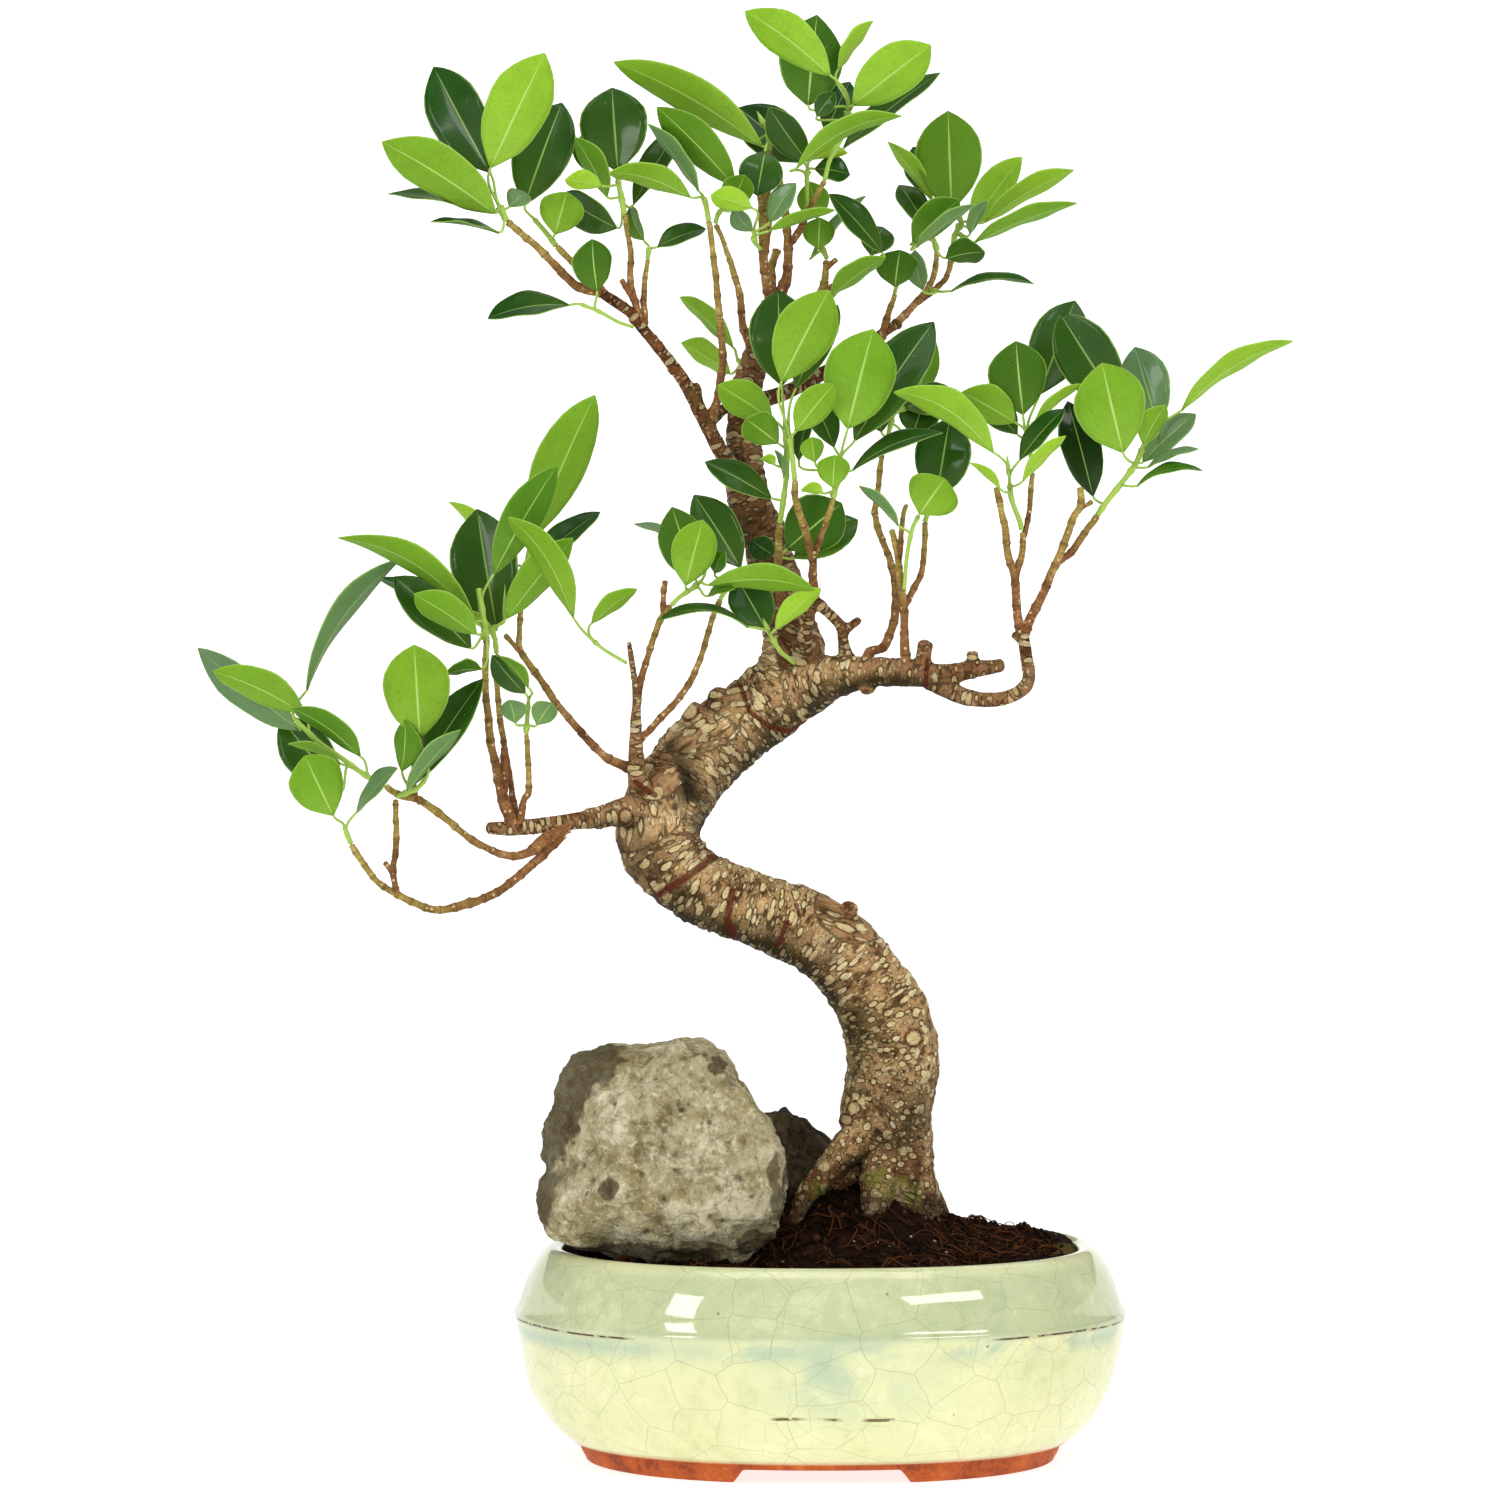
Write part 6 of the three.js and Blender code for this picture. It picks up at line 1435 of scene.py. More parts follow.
def make_stone(name, node, table, outline, pits, dark_patches, level, relief, material, slot, lines=False):
    centre = at([table["centre"]])[0]
    directions, faces = ball(level)
    points = stone_shape(table["facets"], table["sharpness"], directions)
    if outline:
        points = fit_outline(points, centre, outline)
    size = np.linalg.norm(points, axis=1)
    push = relief * fractal(points, 17.0, 3, 41) + 0.95 * fractal(points, 4.5, 4, 45)
    ridge = np.abs(noise(points, 9.0, 51)) + 0.5 * np.abs(noise(points, 4.0, 52))
    push -= 0.9 * np.exp(-((ridge / 0.12) ** 2))
    push += 1.5 * (0.4 - np.abs(noise(points, 8.0, 54))) + 0.7 * (0.4 - np.abs(noise(points, 3.4, 55)))
    if lines:
        slanted = points[:, 2] + 0.9 * points[:, 0] - 0.3 * points[:, 1]
        push += 0.8 * noise(np.stack([slanted, points[:, 1] * 0.2, points[:, 0] * 0.1], axis=1), 2.6, 61)
    crest = smooth(push - relief * fractal(points, 17.0, 3, 41), -1.4, 1.9)
    flat = seen(points + centre)
    facing = directions[:, 1] < -0.1
    pit = np.zeros(len(points))
    for x, z, radius, depth in pits:
        near = np.exp(-(((flat[:, 0] - x) ** 2 + (flat[:, 1] - z) ** 2) / radius**2)) * facing
        push -= depth * near
        pit = np.maximum(pit, smooth(near + 0.25 * noise(points, 1.6, 57), 0.5, 1.0))
    stain = np.zeros(len(points))
    for x, z, wide, tall in dark_patches:
        wander = 0.7 * fractal(points, 5.0, 3, 71)
        near = 1 - smooth(((flat[:, 0] - x) / wide) ** 2 + ((flat[:, 1] - z) / tall) ** 2 + wander, 0.2, 1.3)
        stain = np.maximum(stain, near * facing)
    # the left side darker past the given edge
    if outline:
        edge_x, edge_z = np.array(FRONT_DARK_EDGE, float).T
        past = np.interp(flat[:, 1], edge_z, edge_x) - flat[:, 0] + 4.0 * fractal(points, 6.0, 4, 73)
        stain = np.maximum(stain, 0.9 * smooth(past, -3.5, 4.5))
    points = points * (1 + push / size)[:, None]
    shell = Shell()
    shell.add(points + centre, faces, pit=pit, stain=stain, crest=crest)
    return piece(name, shell, material, slot, node)


def is_woody(name):
    """Whether a short piece in the table of twigs is part of the thick wood."""
    return "nub" in name or "scar" in name or name in ("loop_stub", "upper_left_stub", "right_spur")


def wood_lines():
    """Smooth centres and radii of the trunk, then of each root, limb and short stub."""
    others = ROOTS + list(LIMBS.values()) + [line for name, line in TWIGS.items() if is_woody(name)]
    return [thick_line(TRUNK, 1.2)] + [thick_line(line, 1.0) for line in others]


def remeshed(shell, size):
    """The shell's solids grown together into one skin of even facets about size across."""
    mesh = bpy.data.meshes.new("skin")
    mesh.from_pydata((np.vstack(shell.points) * MM).tolist(), [], shell.faces)
    thing = add_object("skin", mesh)
    grown = thing.modifiers.new("remesh", "REMESH")
    grown.mode = "VOXEL"
    grown.voxel_size = size * MM
    ease = thing.modifiers.new("smooth", "SMOOTH")
    ease.factor = 0.5
    ease.iterations = 3
    result = thing.evaluated_get(bpy.context.evaluated_depsgraph_get()).to_mesh()
    points = np.empty(len(result.vertices) * 3)
    normals = np.empty(len(result.vertices) * 3)
    result.vertices.foreach_get("co", points)
    result.vertices.foreach_get("normal", normals)
    faces = [tuple(face.vertices) for face in result.polygons]
    bpy.data.objects.remove(thing)
    bpy.data.meshes.remove(mesh)
    return points.reshape(-1, 3) / MM, normals.reshape(-1, 3), faces


def segment_distance(flat, line):
    """Distance of seen places from a line of seen places."""
    best = np.full(len(flat), 1e9)
    line = np.asarray(line, float)
    for a, b in zip(line[:-1], line[1:]):
        way = b - a
        t = np.clip(((flat - a) @ way) / way.dot(way), 0, 1)
        best = np.minimum(best, np.linalg.norm(flat - (a + t[:, None] * way), axis=1))
    return best


def make_wood(voxel, marks, material):
    raw = Shell()
    samples, ways, lengths, radii = [], [], [], []
    for number, rows in enumerate(wood_lines()):
        centres, reach_of = rows[:, :3], rows[:, 3]
        points, faces, _, _ = tube(centres, reach_of, 22 if number else 40)
        raw.add(points, faces)
        way = np.gradient(centres, axis=0)
        ways.append(way / np.linalg.norm(way, axis=1)[:, None])
        lengths.append(number * 400 + lengths_along(centres))
        samples.append(centres)
        radii.append(reach_of)
    points, normals, faces = remeshed(raw, voxel)

    # each point of the skin belongs to the line whose surface is nearest
    samples, ways = np.vstack(samples), np.vstack(ways)
    lengths, radii = np.concatenate(lengths), np.concatenate(radii)
    tree = KDTree(len(samples))
    for i, centre in enumerate(samples):
        tree.insert(centre, i)
    tree.balance()
    owner = np.empty(len(points), int)
    for i, place in enumerate(points):
        near = tree.find_n(place, 8)
        owner[i] = min(near, key=lambda hit: hit[2] / radii[hit[1]])[1]
    way = ways[owner]
    side = np.cross(way, (0.0, 1.0, 0.0))
    side /= np.maximum(np.linalg.norm(side, axis=1), 1e-6)[:, None]
    up = np.cross(way, side)
    away = points - samples[owner]
    turn = np.arctan2(np.einsum("ij,ij->i", away, up), np.einsum("ij,ij->i", away, side))
    length = lengths[owner] + np.einsum("ij,ij->i", away, way)
    radius = radii[owner]
    flat = seen(points)
    front = normals[:, 1] < 0.15

    # the skin laid flat, so that pores are stretched across the wood, and the swellings on it
    squash = 0.38 + 0.42 * (1 - smooth(flat[:, 1], 125, 160))
    skin = np.stack([length, np.cos(turn) * radius * squash, np.sin(turn) * radius * squash], axis=1)
    push = 0.55 * noise(skin, 3.2, 81) + 0.35 * noise(skin * (1.8, 1, 1), 1.9, 82)
    push += 0.9 * noise(points, 13.0, 83) * np.clip(radius / 12, 0.2, 1)
    push *= np.clip(radius / 9, 0.25, 1)

    # pale marks, round and dense near the foot and short dashes across the wood above
    random = np.random.default_rng(11)
    mark = np.zeros(len(points))
    skin_tree = KDTree(len(points))
    for i, place in enumerate(points):
        skin_tree.insert(place, i)
    skin_tree.balance()
    picks = random.choice(len(points), marks, replace=False)
    for pick in picks:
        r = radius[pick]
        if r < MARK_MIN_RADIUS or mark[pick] > 0:
            continue
        low = flat[pick, 1] < 150
        if low and random.random() < 0.8:
            wide = tall = random.uniform(0.8, 1.9)
        else:
            wide, tall = random.uniform(1.4, 3.6) * min(1, r / 10), random.uniform(0.6, 1.1)
        across = np.cross(way[pick], normals[pick])
        for place, index, _ in skin_tree.find_range(points[pick], wide + 1):
            offset = np.array(place) - points[pick]
            value = (offset.dot(way[pick]) / tall) ** 2 + (offset.dot(across) / wide) ** 2
            if value < 1.4:
                mark[index] = max(mark[index], 1 - value / 1.4)
    push += 0.42 * smooth(mark, 0, 0.5)

    # scars, knots and moss where the photo shows them, painted shade in the crease by the left limb, and a
    # darker foot
    scar = np.zeros(len(points))
    for line, wide in WIRE_SCARS:
        near = np.exp(-((segment_distance(flat, line) / wide) ** 2)) * front
        scar = np.maximum(scar, near)
        push -= 0.7 * near
    for x, z, wide in KNOTS:
        near = np.hypot(flat[:, 0] - x, flat[:, 1] - z) / wide
        bump_up = np.exp(-(((near - 1) / 0.35) ** 2)) * front
        push += 0.8 * bump_up
        mark = np.maximum(mark, (near < 0.9) * front * 0.8)
        scar = np.maximum(scar, 0.6 * bump_up)
    moss = np.zeros(len(points))
    for x, z, wide in MOSS:
        near = np.hypot(flat[:, 0] - x, flat[:, 1] - z) / wide + 0.4 * noise(points, 3.0, 91)
        moss = np.maximum(moss, (1 - smooth(near, 0.5, 1.1)) * front)
    # painted shade in the crease where the left limb leaves the trunk, and the bark darker below where it
    # meets the soil
    across = flat[:, 0] - CREASE_SHADE_CENTRE[0] - 0.3 * (CREASE_SHADE_CENTRE[1] - flat[:, 1])
    fold = np.exp(-((across / 6.0) ** 2 + ((flat[:, 1] - CREASE_SHADE_CENTRE[1]) / 18) ** 2))
    fold = 0.98 * np.where(radius > 6, fold, 0) * smooth(fractal(points, 6.0, 2, 95) + 0.7, -0.2, 0.6)
    fold = np.maximum(fold, 0.6 * (1 - smooth(flat[:, 1], 84, 90)))
    # painted shade: darker where the skin faces down
    under = smooth(-normals[:, 2] + 0.3 * noise(points, 7.0, 97), -0.25, 0.75) * smooth(radius, 2, 5)
    points = points + normals * push[:, None]
    shell = Shell()
    ruddy = smooth(6.8 - radius, 0, 3) * (0.55 + 0.45 * smooth(flat[:, 1], 252, 285))
    ruddy = np.maximum(ruddy, 0.75 * smooth(flat[:, 1], 258, 290))
    foot = 0.9 * (1 - smooth(flat[:, 1], 92, 116)) * smooth(noise(points, 5.0, 98), -0.5, 0.3)
    ruddy = np.maximum(ruddy, foot)
    skin_of = {"skin_x": skin[:, 0], "skin_y": skin[:, 1], "skin_z": skin[:, 2]}
    shell.add(points, faces, mark=mark, scar=scar, moss=moss, fold=fold, under=under, ruddy=ruddy, **skin_of)
    return piece("trunk_wood", shell, material, "bark", "trunk")


def make_twigs(sides, material):
    shell = Shell()
    for number, (name, line) in enumerate(TWIGS.items()):
        if is_woody(name):
            continue
        rows = thick_line(line, 0.7)
        length = lengths_along(rows[:, :3])
        random = np.random.default_rng(100 + number)
        spacing = random.uniform(4.5, 8.0)
        phase = random.uniform(0, spacing)
        to_node = np.abs((length + phase) % spacing - spacing / 2)
        node = np.exp(-((to_node / 0.55) ** 2))
        wobble = 0.35 * noise(rows[:, :3], 7.0, 110 + number)
        centres = rows[:, :3] + np.stack([wobble, wobble * 0.6, wobble * 0], axis=1)
        stub = "stub" in name
        radii = rows[:, 3] * (1 + 0.2 * node)
        points, faces, along, _ = tube(centres, radii, sides, 0.17, 130 + number)
        young = 0.9 * smooth(along / length[-1], 0.15, 1.0) * smooth(1.9 - rows[-1, 3], 0.1, 0.8)
        young = 0.0 if stub else young
        ring = np.concatenate([np.repeat(node, sides), [0, 0.6 if stub else 0]])
        shell.add(points, faces, young=young, length=along, ring=ring)
    return piece("twigs", shell, material, "bark", "trunk")


def make_blade(shell, row, centres, seed, half_thick, width_share):
    """One leaf: its stalk from the stem, and a blade with an upper and a lower skin."""
    tone, bx, bz, tx, tz, by, ty, width, turn, share, arch = row
    base, tip = at([(bx, bz, by), (tx, tz, ty)])
    chord = tip - base
    reach_of = np.linalg.norm(chord)
    along = chord / reach_of
    under = np.array([0.0, -1.0, 0.0]) + along * along[1]
    under /= np.linalg.norm(under)
    angle = math.radians(turn)
    under = under * math.cos(angle) + np.cross(along, under) * math.sin(angle)
    side = np.cross(along, under)
    stem_length = lengths_along(centres)
    spot = share * stem_length[-1]
    root = np.array([np.interp(spot, stem_length, centres[:, i]) for i in range(3)])
    nearest = min(int(np.searchsorted(stem_length, spot)), len(centres) - 2)
    way = centres[nearest + 1] - centres[nearest]
    way /= np.linalg.norm(way)
    gap = np.linalg.norm(base - root)
    shade = SHADES[tone]
    # leaves of tone G get a painted sheen
    sheen = 1.0 if tone == "G" else 0.0
    random = np.random.default_rng(seed)
    if gap > 0.8:
        t = np.linspace(0, 1, 9)[:, None]
        out_of = root + way * 0.4 * gap
        into = base - along * 0.4 * gap
        line = (1 - t) ** 3 * root + 3 * (1 - t) ** 2 * t * out_of + 3 * (1 - t) * t**2 * into + t**3 * base
        thick = np.interp(t[:, 0], [0, 0.15, 1], [0.75, 0.5, 0.42])
        points, faces, _, _ = tube(line, thick, 7)
        shell.add(points, faces, stalk=1.0, shade=shade)
    if width < BUD_WIDTH:
        line = base + np.linspace(0, 1, len(BUD_RADII))[:, None] * chord
        thick = 0.5 * width * np.array(BUD_RADII)
        points, faces, _, _ = tube(line, thick, 7)
        shell.add(points, faces, stalk=0.6, shade=0.9)
        return
    rows, columns = BLADE_ROWS, BLADE_COLUMNS
    t = np.linspace(0, 1, rows)
    outline = np.interp(t, BLADE_PLACES, BLADE_WIDTHS)
    u = np.linspace(-1, 1, columns)
    half = 0.5 * width * width_share * outline
    bow = -4 * arch * t * (1 - t)
    wave = 2 * np.pi * (t[:, None] * random.uniform(1.2, 2.2) + random.uniform(0, 1))
    ripple = 0.06 * half[:, None] * np.sin(wave) * u**2 * np.sign(u)
    lift = 0.2 * half[:, None] * np.abs(u) ** 1.3 + ripple
    grid = base + t[:, None, None] * chord + u[None, :, None] * half[:, None, None] * side
    grid = grid + (bow[:, None] - lift)[:, :, None] * under
    rib = np.exp(-((u / 0.12) ** 2))[None, :] * (1 - t[:, None]) ** 0.7
    top = grid - under * (half_thick - 0.2 * rib)[:, :, None]
    low = grid + under * (half_thick + 0.38 * rib)[:, :, None]
    spread = {
        "across": np.broadcast_to(u[None, :], (rows, columns)).ravel(),
        "along": np.broadcast_to(t[:, None], (rows, columns)).ravel(),
        "shade": shade,
        "sheen": sheen,
        "stalk": 0.0,
        "vary": random.random(),
    }
    count = rows * columns
    faces = grid_faces(rows, columns, False)
    edge = [j * columns for j in range(rows)]
    for j in range(rows - 1):
        a, b = edge[j], edge[j + 1]
        faces.append((a, b, b + count, a + count))
        a, b = a + columns - 1, b + columns - 1
        faces.append((b, a, a + count, b + count))
    faces += [tuple(i + count for i in reversed(face)) for face in grid_faces(rows, columns, False)]
    for i in range(columns - 1):
        faces.append((i + 1, i, i + count, i + 1 + count))
        last = (rows - 1) * columns + i
        faces.append((last, last + 1, last + 1 + count, last + count))
    both = {key: np.concatenate([np.broadcast_to(value, (count,))] * 2) for key, value in spread.items()}
    upper = np.concatenate([np.ones(count), np.zeros(count)])
    shell.add(np.vstack([top.reshape(-1, 3), low.reshape(-1, 3)]), faces, upper=upper, **both)


def make_shoot(name, number, half_thick, width_share, material):
    rows = LEAVES[name]
    shell = Shell()
    line = thick_line(STEMS[name], 0.8)
    centres = line[:, :3]
    radii = line[:, 3].copy()
    length = lengths_along(centres)
    for row in rows:
        radii += 0.22 * np.exp(-(((length - row[9] * length[-1]) / 0.9) ** 2))
    radii[0] *= 1.1
    points, faces, _, _ = tube(centres, radii, 10)
    shell.add(points, faces, stalk=1.0, shade=0.5)
    for place, row in enumerate(rows):
        make_blade(shell, row, centres, 1000 * number + place, half_thick, width_share)
    return piece("leaves_" + name, shell, material, "leaf", "shoot_" + name)


def make_lamp(name, place, width, height, power):
    data = bpy.data.lights.new(name, "AREA")
    data.shape = "RECTANGLE"
    data.size = width
    data.size_y = height
    data.energy = power
    data.color = (1, 1, 1)
    lamp = add_object(name, data)
    lamp.location = place
    way = [t - p for t, p in zip(LAMP_TARGET, place)]
    lamp.rotation_euler = Vector(way).to_track_quat("-Z", "Y").to_euler()


def make_stage(brightness):
    world = bpy.data.worlds.new("studio")
    bpy.context.scene.world = world
    world.use_nodes = True
    sky = world.node_tree.nodes["Background"].inputs
    sky["Color"].default_value = (1, 1, 1, 1)
    sky["Strength"].default_value = WORLD_STRENGTH * brightness
    bpy.context.scene.view_settings.view_transform = "Standard"

    turns = 96
    reaches = [(0.02, 0.0), (0.5, 0.0), (1.5, 0.0), (3.0, 0.0), (BACKDROP_REACH - BACKDROP_CURVE, 0.0)]
    for step in range(1, 12):
        a = step / 12 * math.pi / 2
        out, up = BACKDROP_CURVE * math.sin(a), BACKDROP_CURVE * (1 - math.cos(a))
        reaches.append((BACKDROP_REACH - BACKDROP_CURVE + out, up))
    reaches += [(BACKDROP_REACH, BACKDROP_CURVE), (BACKDROP_REACH, BACKDROP_HEIGHT)]
    points = []
    for away, z in reaches:
        for turn in range(turns):
            a = 2 * math.pi * turn / turns
            points.append((away * math.cos(a), away * math.sin(a), z))
    faces = [tuple(reversed(range(turns)))] + grid_faces(len(reaches), turns, True)
    mesh = bpy.data.meshes.new("backdrop")
    mesh.from_pydata(points, [], faces)
    mesh.shade_smooth()
    material, tree, shader, where = new_material("backdrop", 0.5)
    tone = mottle(tree, where, 3.0, rgb(184, 184, 184), rgb(188, 188, 188), rgb(192, 192, 192))
    connect(tree, shader, tone["Colour"], 0.8)
    shader.inputs["Emission Color"].default_value = (1, 1, 1, 1)
    away = put(tree, "ShaderNodeVectorMath", {0: where}, operation="LENGTH").outputs["Value"]
    far = reach(tree, away, BACKDROP_GLOW_FROM, BACKDROP_GLOW_TO)
    glow = scaled(tree, far, BACKDROP_GLOW_RISE, BACKDROP_GLOW)
    tree.links.new(glow, shader.inputs["Emission Strength"])
    mesh.materials.append(material)
    add_object("backdrop", mesh)
    for name, (place, width, height, power) in LAMPS.items():
        make_lamp(name, place, width, height, power * brightness)


def make_camera():
    data = bpy.data.cameras.new("camera")
    data.sensor_fit = "HORIZONTAL"
    data.sensor_width = SENSOR_WIDTH
    data.lens = SENSOR_WIDTH * VIEW_DISTANCE / VIEW_WIDTH
    data.shift_y = -0.1
    data.clip_end = 20.0
    camera = add_object("camera", data)
    camera.location = tuple((np.array([EYE_X, -VIEW_DISTANCE, EYE_Z]) + MIDDLE) * MM)
    camera.rotation_euler = (math.pi / 2, 0, 0)
    bpy.context.scene.camera = camera


# Add-on

def tint(name, description, value):
    """A colour that a user may change."""
    return bpy.props.FloatVectorProperty(
        name=name, description=description, default=value, min=0.0, max=1.0, size=4, subtype="COLOR"
    )


def number_of(name, description, value, low, high):
    """A whole number that a user may change."""
    return bpy.props.IntProperty(
        name=name, description=description, default=value, min=low, max=high, subtype="UNSIGNED"
    )


def measure(name, description, value, low, high):
    """A length in metres that a user may change."""
    return bpy.props.FloatProperty(
        name=name, description=description, default=value, min=low, max=high, unit="LENGTH"
    )


class BonsaiPotSettings(bpy.types.PropertyGroup):
    """The pot's glaze and clay, and how finely it is built."""

    sides: number_of("Pot sides", "Points round the pot's wall", 260, 36, 720)
    unevenness: measure("Unevenness", "How far the wall swells", 0.00035, 0, 0.001)
    glaze_dark: tint("Glaze, dark", "Darkest clouds of the wall's glaze", rgb(204, 206, 150))
    glaze: tint("Glaze", "Glaze of the wall", rgb(219, 220, 168))
    glaze_light: tint("Glaze, light", "Palest clouds of the wall's glaze", rgb(229, 229, 182))
    glaze_run: tint("Glaze runs", "Cooler runs below the ridge", rgb(150, 178, 158))
    shoulder_dark: tint("Shoulder, dark", "Darkest clouds above the ridge", rgb(146, 164, 124))
    shoulder: tint("Shoulder", "Glaze above the ridge", rgb(172, 184, 144))
    shoulder_light: tint("Shoulder, light", "Palest clouds above the ridge", rgb(198, 204, 164))
    clay: tint("Clay", "Bare clay of the foot", rgb(178, 80, 18))


class BonsaiGroundSettings(bpy.types.PropertyGroup):
    """The soil's and stones' colours and relief, and how finely they are built."""

    crumbs: number_of("Crumbs", "Loose crumbs on the soil", 2600, 0, 8000)
    stone_level: number_of("Stone detail", "How often a stone's faces are split", 7, 3, 7)
    relief: measure("Stone relief", "Height of the stones' broad lumps", 0.0015, 0, 0.003)
    soil: tint("Soil", "Damp potting soil", rgb(30, 17, 10))
    pale_dark: tint("Pale stone, dark", "Hollows of the front stone", rgb(122, 106, 66))
    pale: tint("Pale stone", "Front stone", rgb(192, 180, 138))
    pale_light: tint("Pale stone, light", "Crests of the front stone", rgb(242, 234, 200))
    dark_dark: tint("Dark stone, dark", "Hollows of the back stone", rgb(30, 23, 14))
    dark: tint("Dark stone", "Back stone", rgb(62, 51, 34))
    dark_light: tint("Dark stone, light", "Crests of the back stone", rgb(122, 106, 76))


class BonsaiWoodSettings(bpy.types.PropertyGroup):
    """The wood's colours and marks, and how finely it is built."""

    voxel: measure("Skin facet", "Size of the trunk's facets", 0.0009, 0.0005, 0.004)
    marks: number_of("Marks", "Pale marks on the bark", 500, 0, 4000)
    twig_sides: number_of("Twig sides", "Points round a twig", 10, 5, 24)
    bark_dark: tint("Bark, dark", "Darkest patches of the bark", rgb(88, 60, 32))
    bark: tint("Bark", "Bark between its pores", rgb(188, 150, 102))
    bark_light: tint("Bark, light", "Palest patches of the bark", rgb(236, 204, 154))
    pores: tint("Pores", "Raised pale pores of the bark", rgb(234, 212, 156))
    twigs: tint("Twigs", "Brown twigs", rgb(132, 88, 48))


class BonsaiLeafSettings(bpy.types.PropertyGroup):
    """The leaves' colours, thickness and width."""

    thickness: measure("Blade thickness", "Thickness of a blade", 0.00032, 0.0001, 0.001)
    width: bpy.props.FloatProperty(
        name="Blade width", description="Share of each blade's own width", default=1.0, min=0.6, max=1.1,
        subtype="FACTOR",
    )
    leaf_old: tint("Old leaf", "Dark upper side of an old leaf", rgb(20, 68, 3))
    leaf_middle: tint("Grown leaf", "Upper side of a grown leaf", rgb(42, 96, 3))
    leaf_fresh: tint("Fresh leaf", "Upper side of a fresh leaf", rgb(96, 148, 16))
    leaf_young: tint("Young leaf", "Light upper side of a young leaf", rgb(144, 196, 34))


class BonsaiStageSettings(bpy.types.PropertyGroup):
    """The light round the part."""

    brightness: bpy.props.FloatProperty(
        name="Brightness", description="Strength of all the light", default=1.0, min=0.1, max=4.0,
        subtype="FACTOR",
    )


class BONSAI_OT_pot(bpy.types.Operator):
    """Build the glazed pot"""

    bl_idname = "bonsai.pot"
    bl_label = "Pot"

    def execute(self, context):
        settings = context.scene.bonsai_pot
        make_pot(settings.sides, settings.unevenness / MM, bpy.data.materials["crackle_glaze"])
        return {"FINISHED"}


class BONSAI_OT_materials(bpy.types.Operator):
    """Make the shared shader groups and the materials"""

    bl_idname = "bonsai.materials"
    bl_label = "Materials"

    def execute(self, context):
        make_groups()
        pot, ground, wood = context.scene.bonsai_pot, context.scene.bonsai_ground, context.scene.bonsai_wood
        glaze_material(pot)
        leaf_material(context.scene.bonsai_leaves)
        bark_material(wood)
        twig_material(wood)
        soil_material(ground)
        stone_material(
            "rough_pale_stone", ground.pale_dark, ground.pale, ground.pale_light, rgb(156, 138, 84), 60.0
        )
        stone_material(
            "rough_dark_stone", ground.dark_dark, ground.dark, ground.dark_light, rgb(74, 58, 34), 80.0
        )
        return {"FINISHED"}


class BONSAI_OT_soil(bpy.types.Operator):
    """Build the soil with its crumbs and fibres"""

    bl_idname = "bonsai.soil"
    bl_label = "Soil"

    def execute(self, context):
        make_soil(context.scene.bonsai_ground.crumbs, bpy.data.materials["potting_soil"])
        return {"FINISHED"}


class BONSAI_OT_stones(bpy.types.Operator):
    """Build both stones"""

    bl_idname = "bonsai.stones"
    bl_label = "Stones"

    def execute(self, context):
        settings = context.scene.bonsai_ground
        level, relief = settings.stone_level, settings.relief / MM
        pale, dark = bpy.data.materials["rough_pale_stone"], bpy.data.materials["rough_dark_stone"]
        make_stone(
            "stone_pale", "stone_front", FRONT_STONE, FRONT_OUTLINE, FRONT_PITS, FRONT_DARK_PATCHES, level, relief,
            pale, "pale_stone",
        )
        make_stone(
            "stone_dark", "stone_back", BACK_STONE, None, [], [], level - 1, relief, dark, "dark_stone",
            lines=True,
        )
        return {"FINISHED"}


class BONSAI_OT_wood(bpy.types.Operator):
    """Build the trunk with its limbs and roots, and the twigs"""

    bl_idname = "bonsai.wood"
    bl_label = "Trunk and twigs"

    def execute(self, context):
        settings = context.scene.bonsai_wood
        make_wood(settings.voxel / MM, settings.marks, bpy.data.materials["fig_bark"])
        make_twigs(settings.twig_sides, bpy.data.materials["fig_twig"])
        return {"FINISHED"}


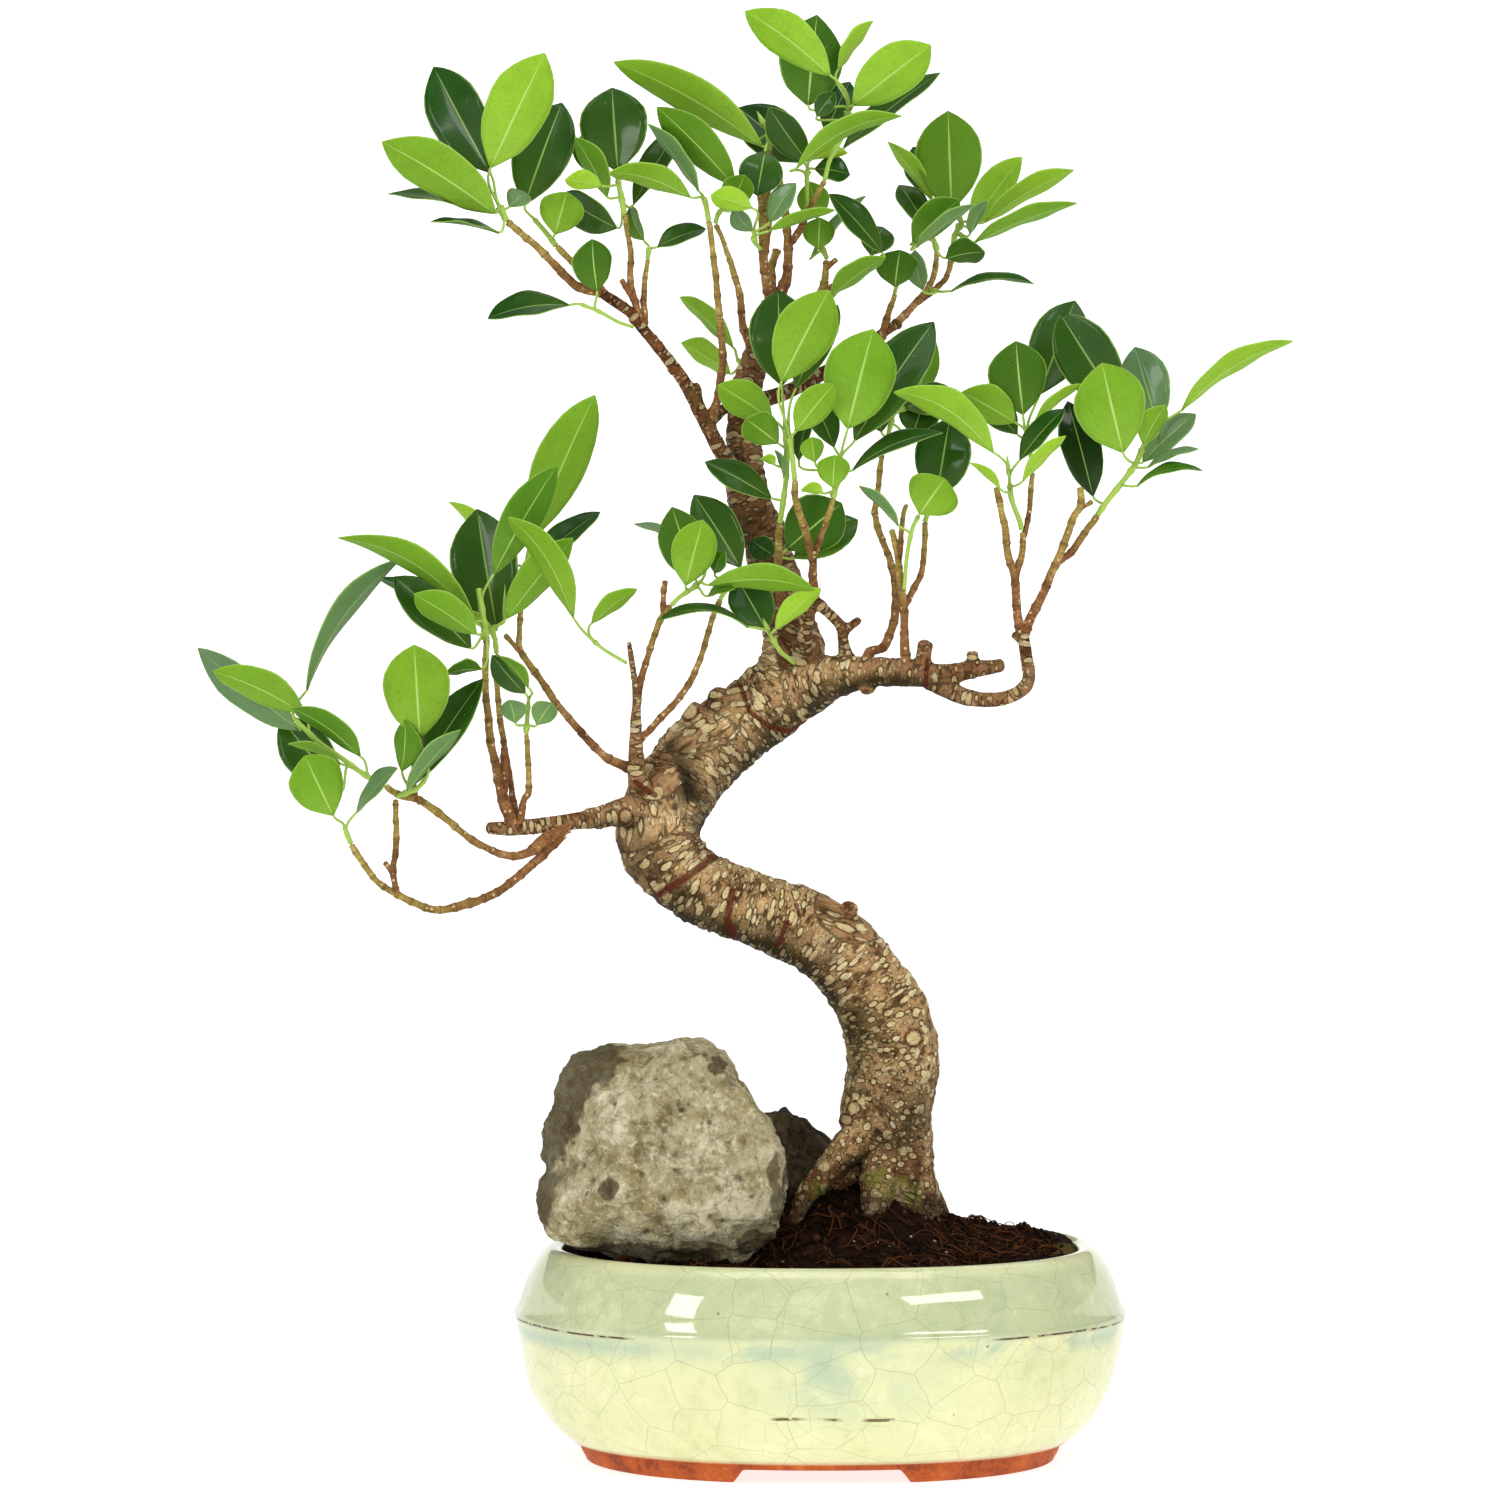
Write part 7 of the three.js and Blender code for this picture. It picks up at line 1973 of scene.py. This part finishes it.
class BONSAI_OT_leaves(bpy.types.Operator):
    """Build every leafy shoot"""

    bl_idname = "bonsai.leaves"
    bl_label = "Leafy shoots"

    def execute(self, context):
        settings = context.scene.bonsai_leaves
        half_thick = 0.5 * settings.thickness / MM
        for number, name in enumerate(STEMS):
            make_shoot(name, number + 1, half_thick, settings.width, bpy.data.materials["fig_leaf"])
        return {"FINISHED"}


class BONSAI_OT_stage(bpy.types.Operator):
    """Make the floor, the lamps and the camera"""

    bl_idname = "bonsai.stage"
    bl_label = "Stage"

    def execute(self, context):
        make_stage(context.scene.bonsai_stage.brightness)
        make_camera()
        return {"FINISHED"}


class BONSAI_PT_panel(bpy.types.Panel):
    """Lists the bonsai's settings and steps in the sidebar of the 3D view."""

    bl_idname = "BONSAI_PT_panel"
    bl_label = "Banyan bonsai"
    bl_space_type = "VIEW_3D"
    bl_region_type = "UI"
    bl_category = "Bonsai"

    def draw(self, context):
        scene = context.scene
        for settings, kind in SETTINGS.items():
            for name in kind.__annotations__:
                self.layout.prop(getattr(scene, settings), name)
        for step in STEPS:
            self.layout.operator("bonsai." + step)


STEPS = ["materials", "pot", "soil", "stones", "wood", "leaves", "stage"]
CLASSES = [
    BonsaiPotSettings, BonsaiGroundSettings, BonsaiWoodSettings, BonsaiLeafSettings, BonsaiStageSettings,
    BONSAI_OT_materials, BONSAI_OT_pot, BONSAI_OT_soil, BONSAI_OT_stones, BONSAI_OT_wood, BONSAI_OT_leaves,
    BONSAI_OT_stage, BONSAI_PT_panel,
]
SETTINGS = {
    "bonsai_pot": BonsaiPotSettings,
    "bonsai_ground": BonsaiGroundSettings,
    "bonsai_wood": BonsaiWoodSettings,
    "bonsai_leaves": BonsaiLeafSettings,
    "bonsai_stage": BonsaiStageSettings,
}


def register():
    for kind in CLASSES:
        bpy.utils.register_class(kind)
    for name, kind in SETTINGS.items():
        setattr(bpy.types.Scene, name, bpy.props.PointerProperty(type=kind))


def unregister():
    for name in SETTINGS:
        delattr(bpy.types.Scene, name)
    for kind in reversed(CLASSES):
        bpy.utils.unregister_class(kind)


def main():
    register()
    for step in STEPS:
        if getattr(bpy.ops.bonsai, step)() != {"FINISHED"}:
            raise RuntimeError("step " + step + " did not finish")


if __name__ == "__main__":
    main()
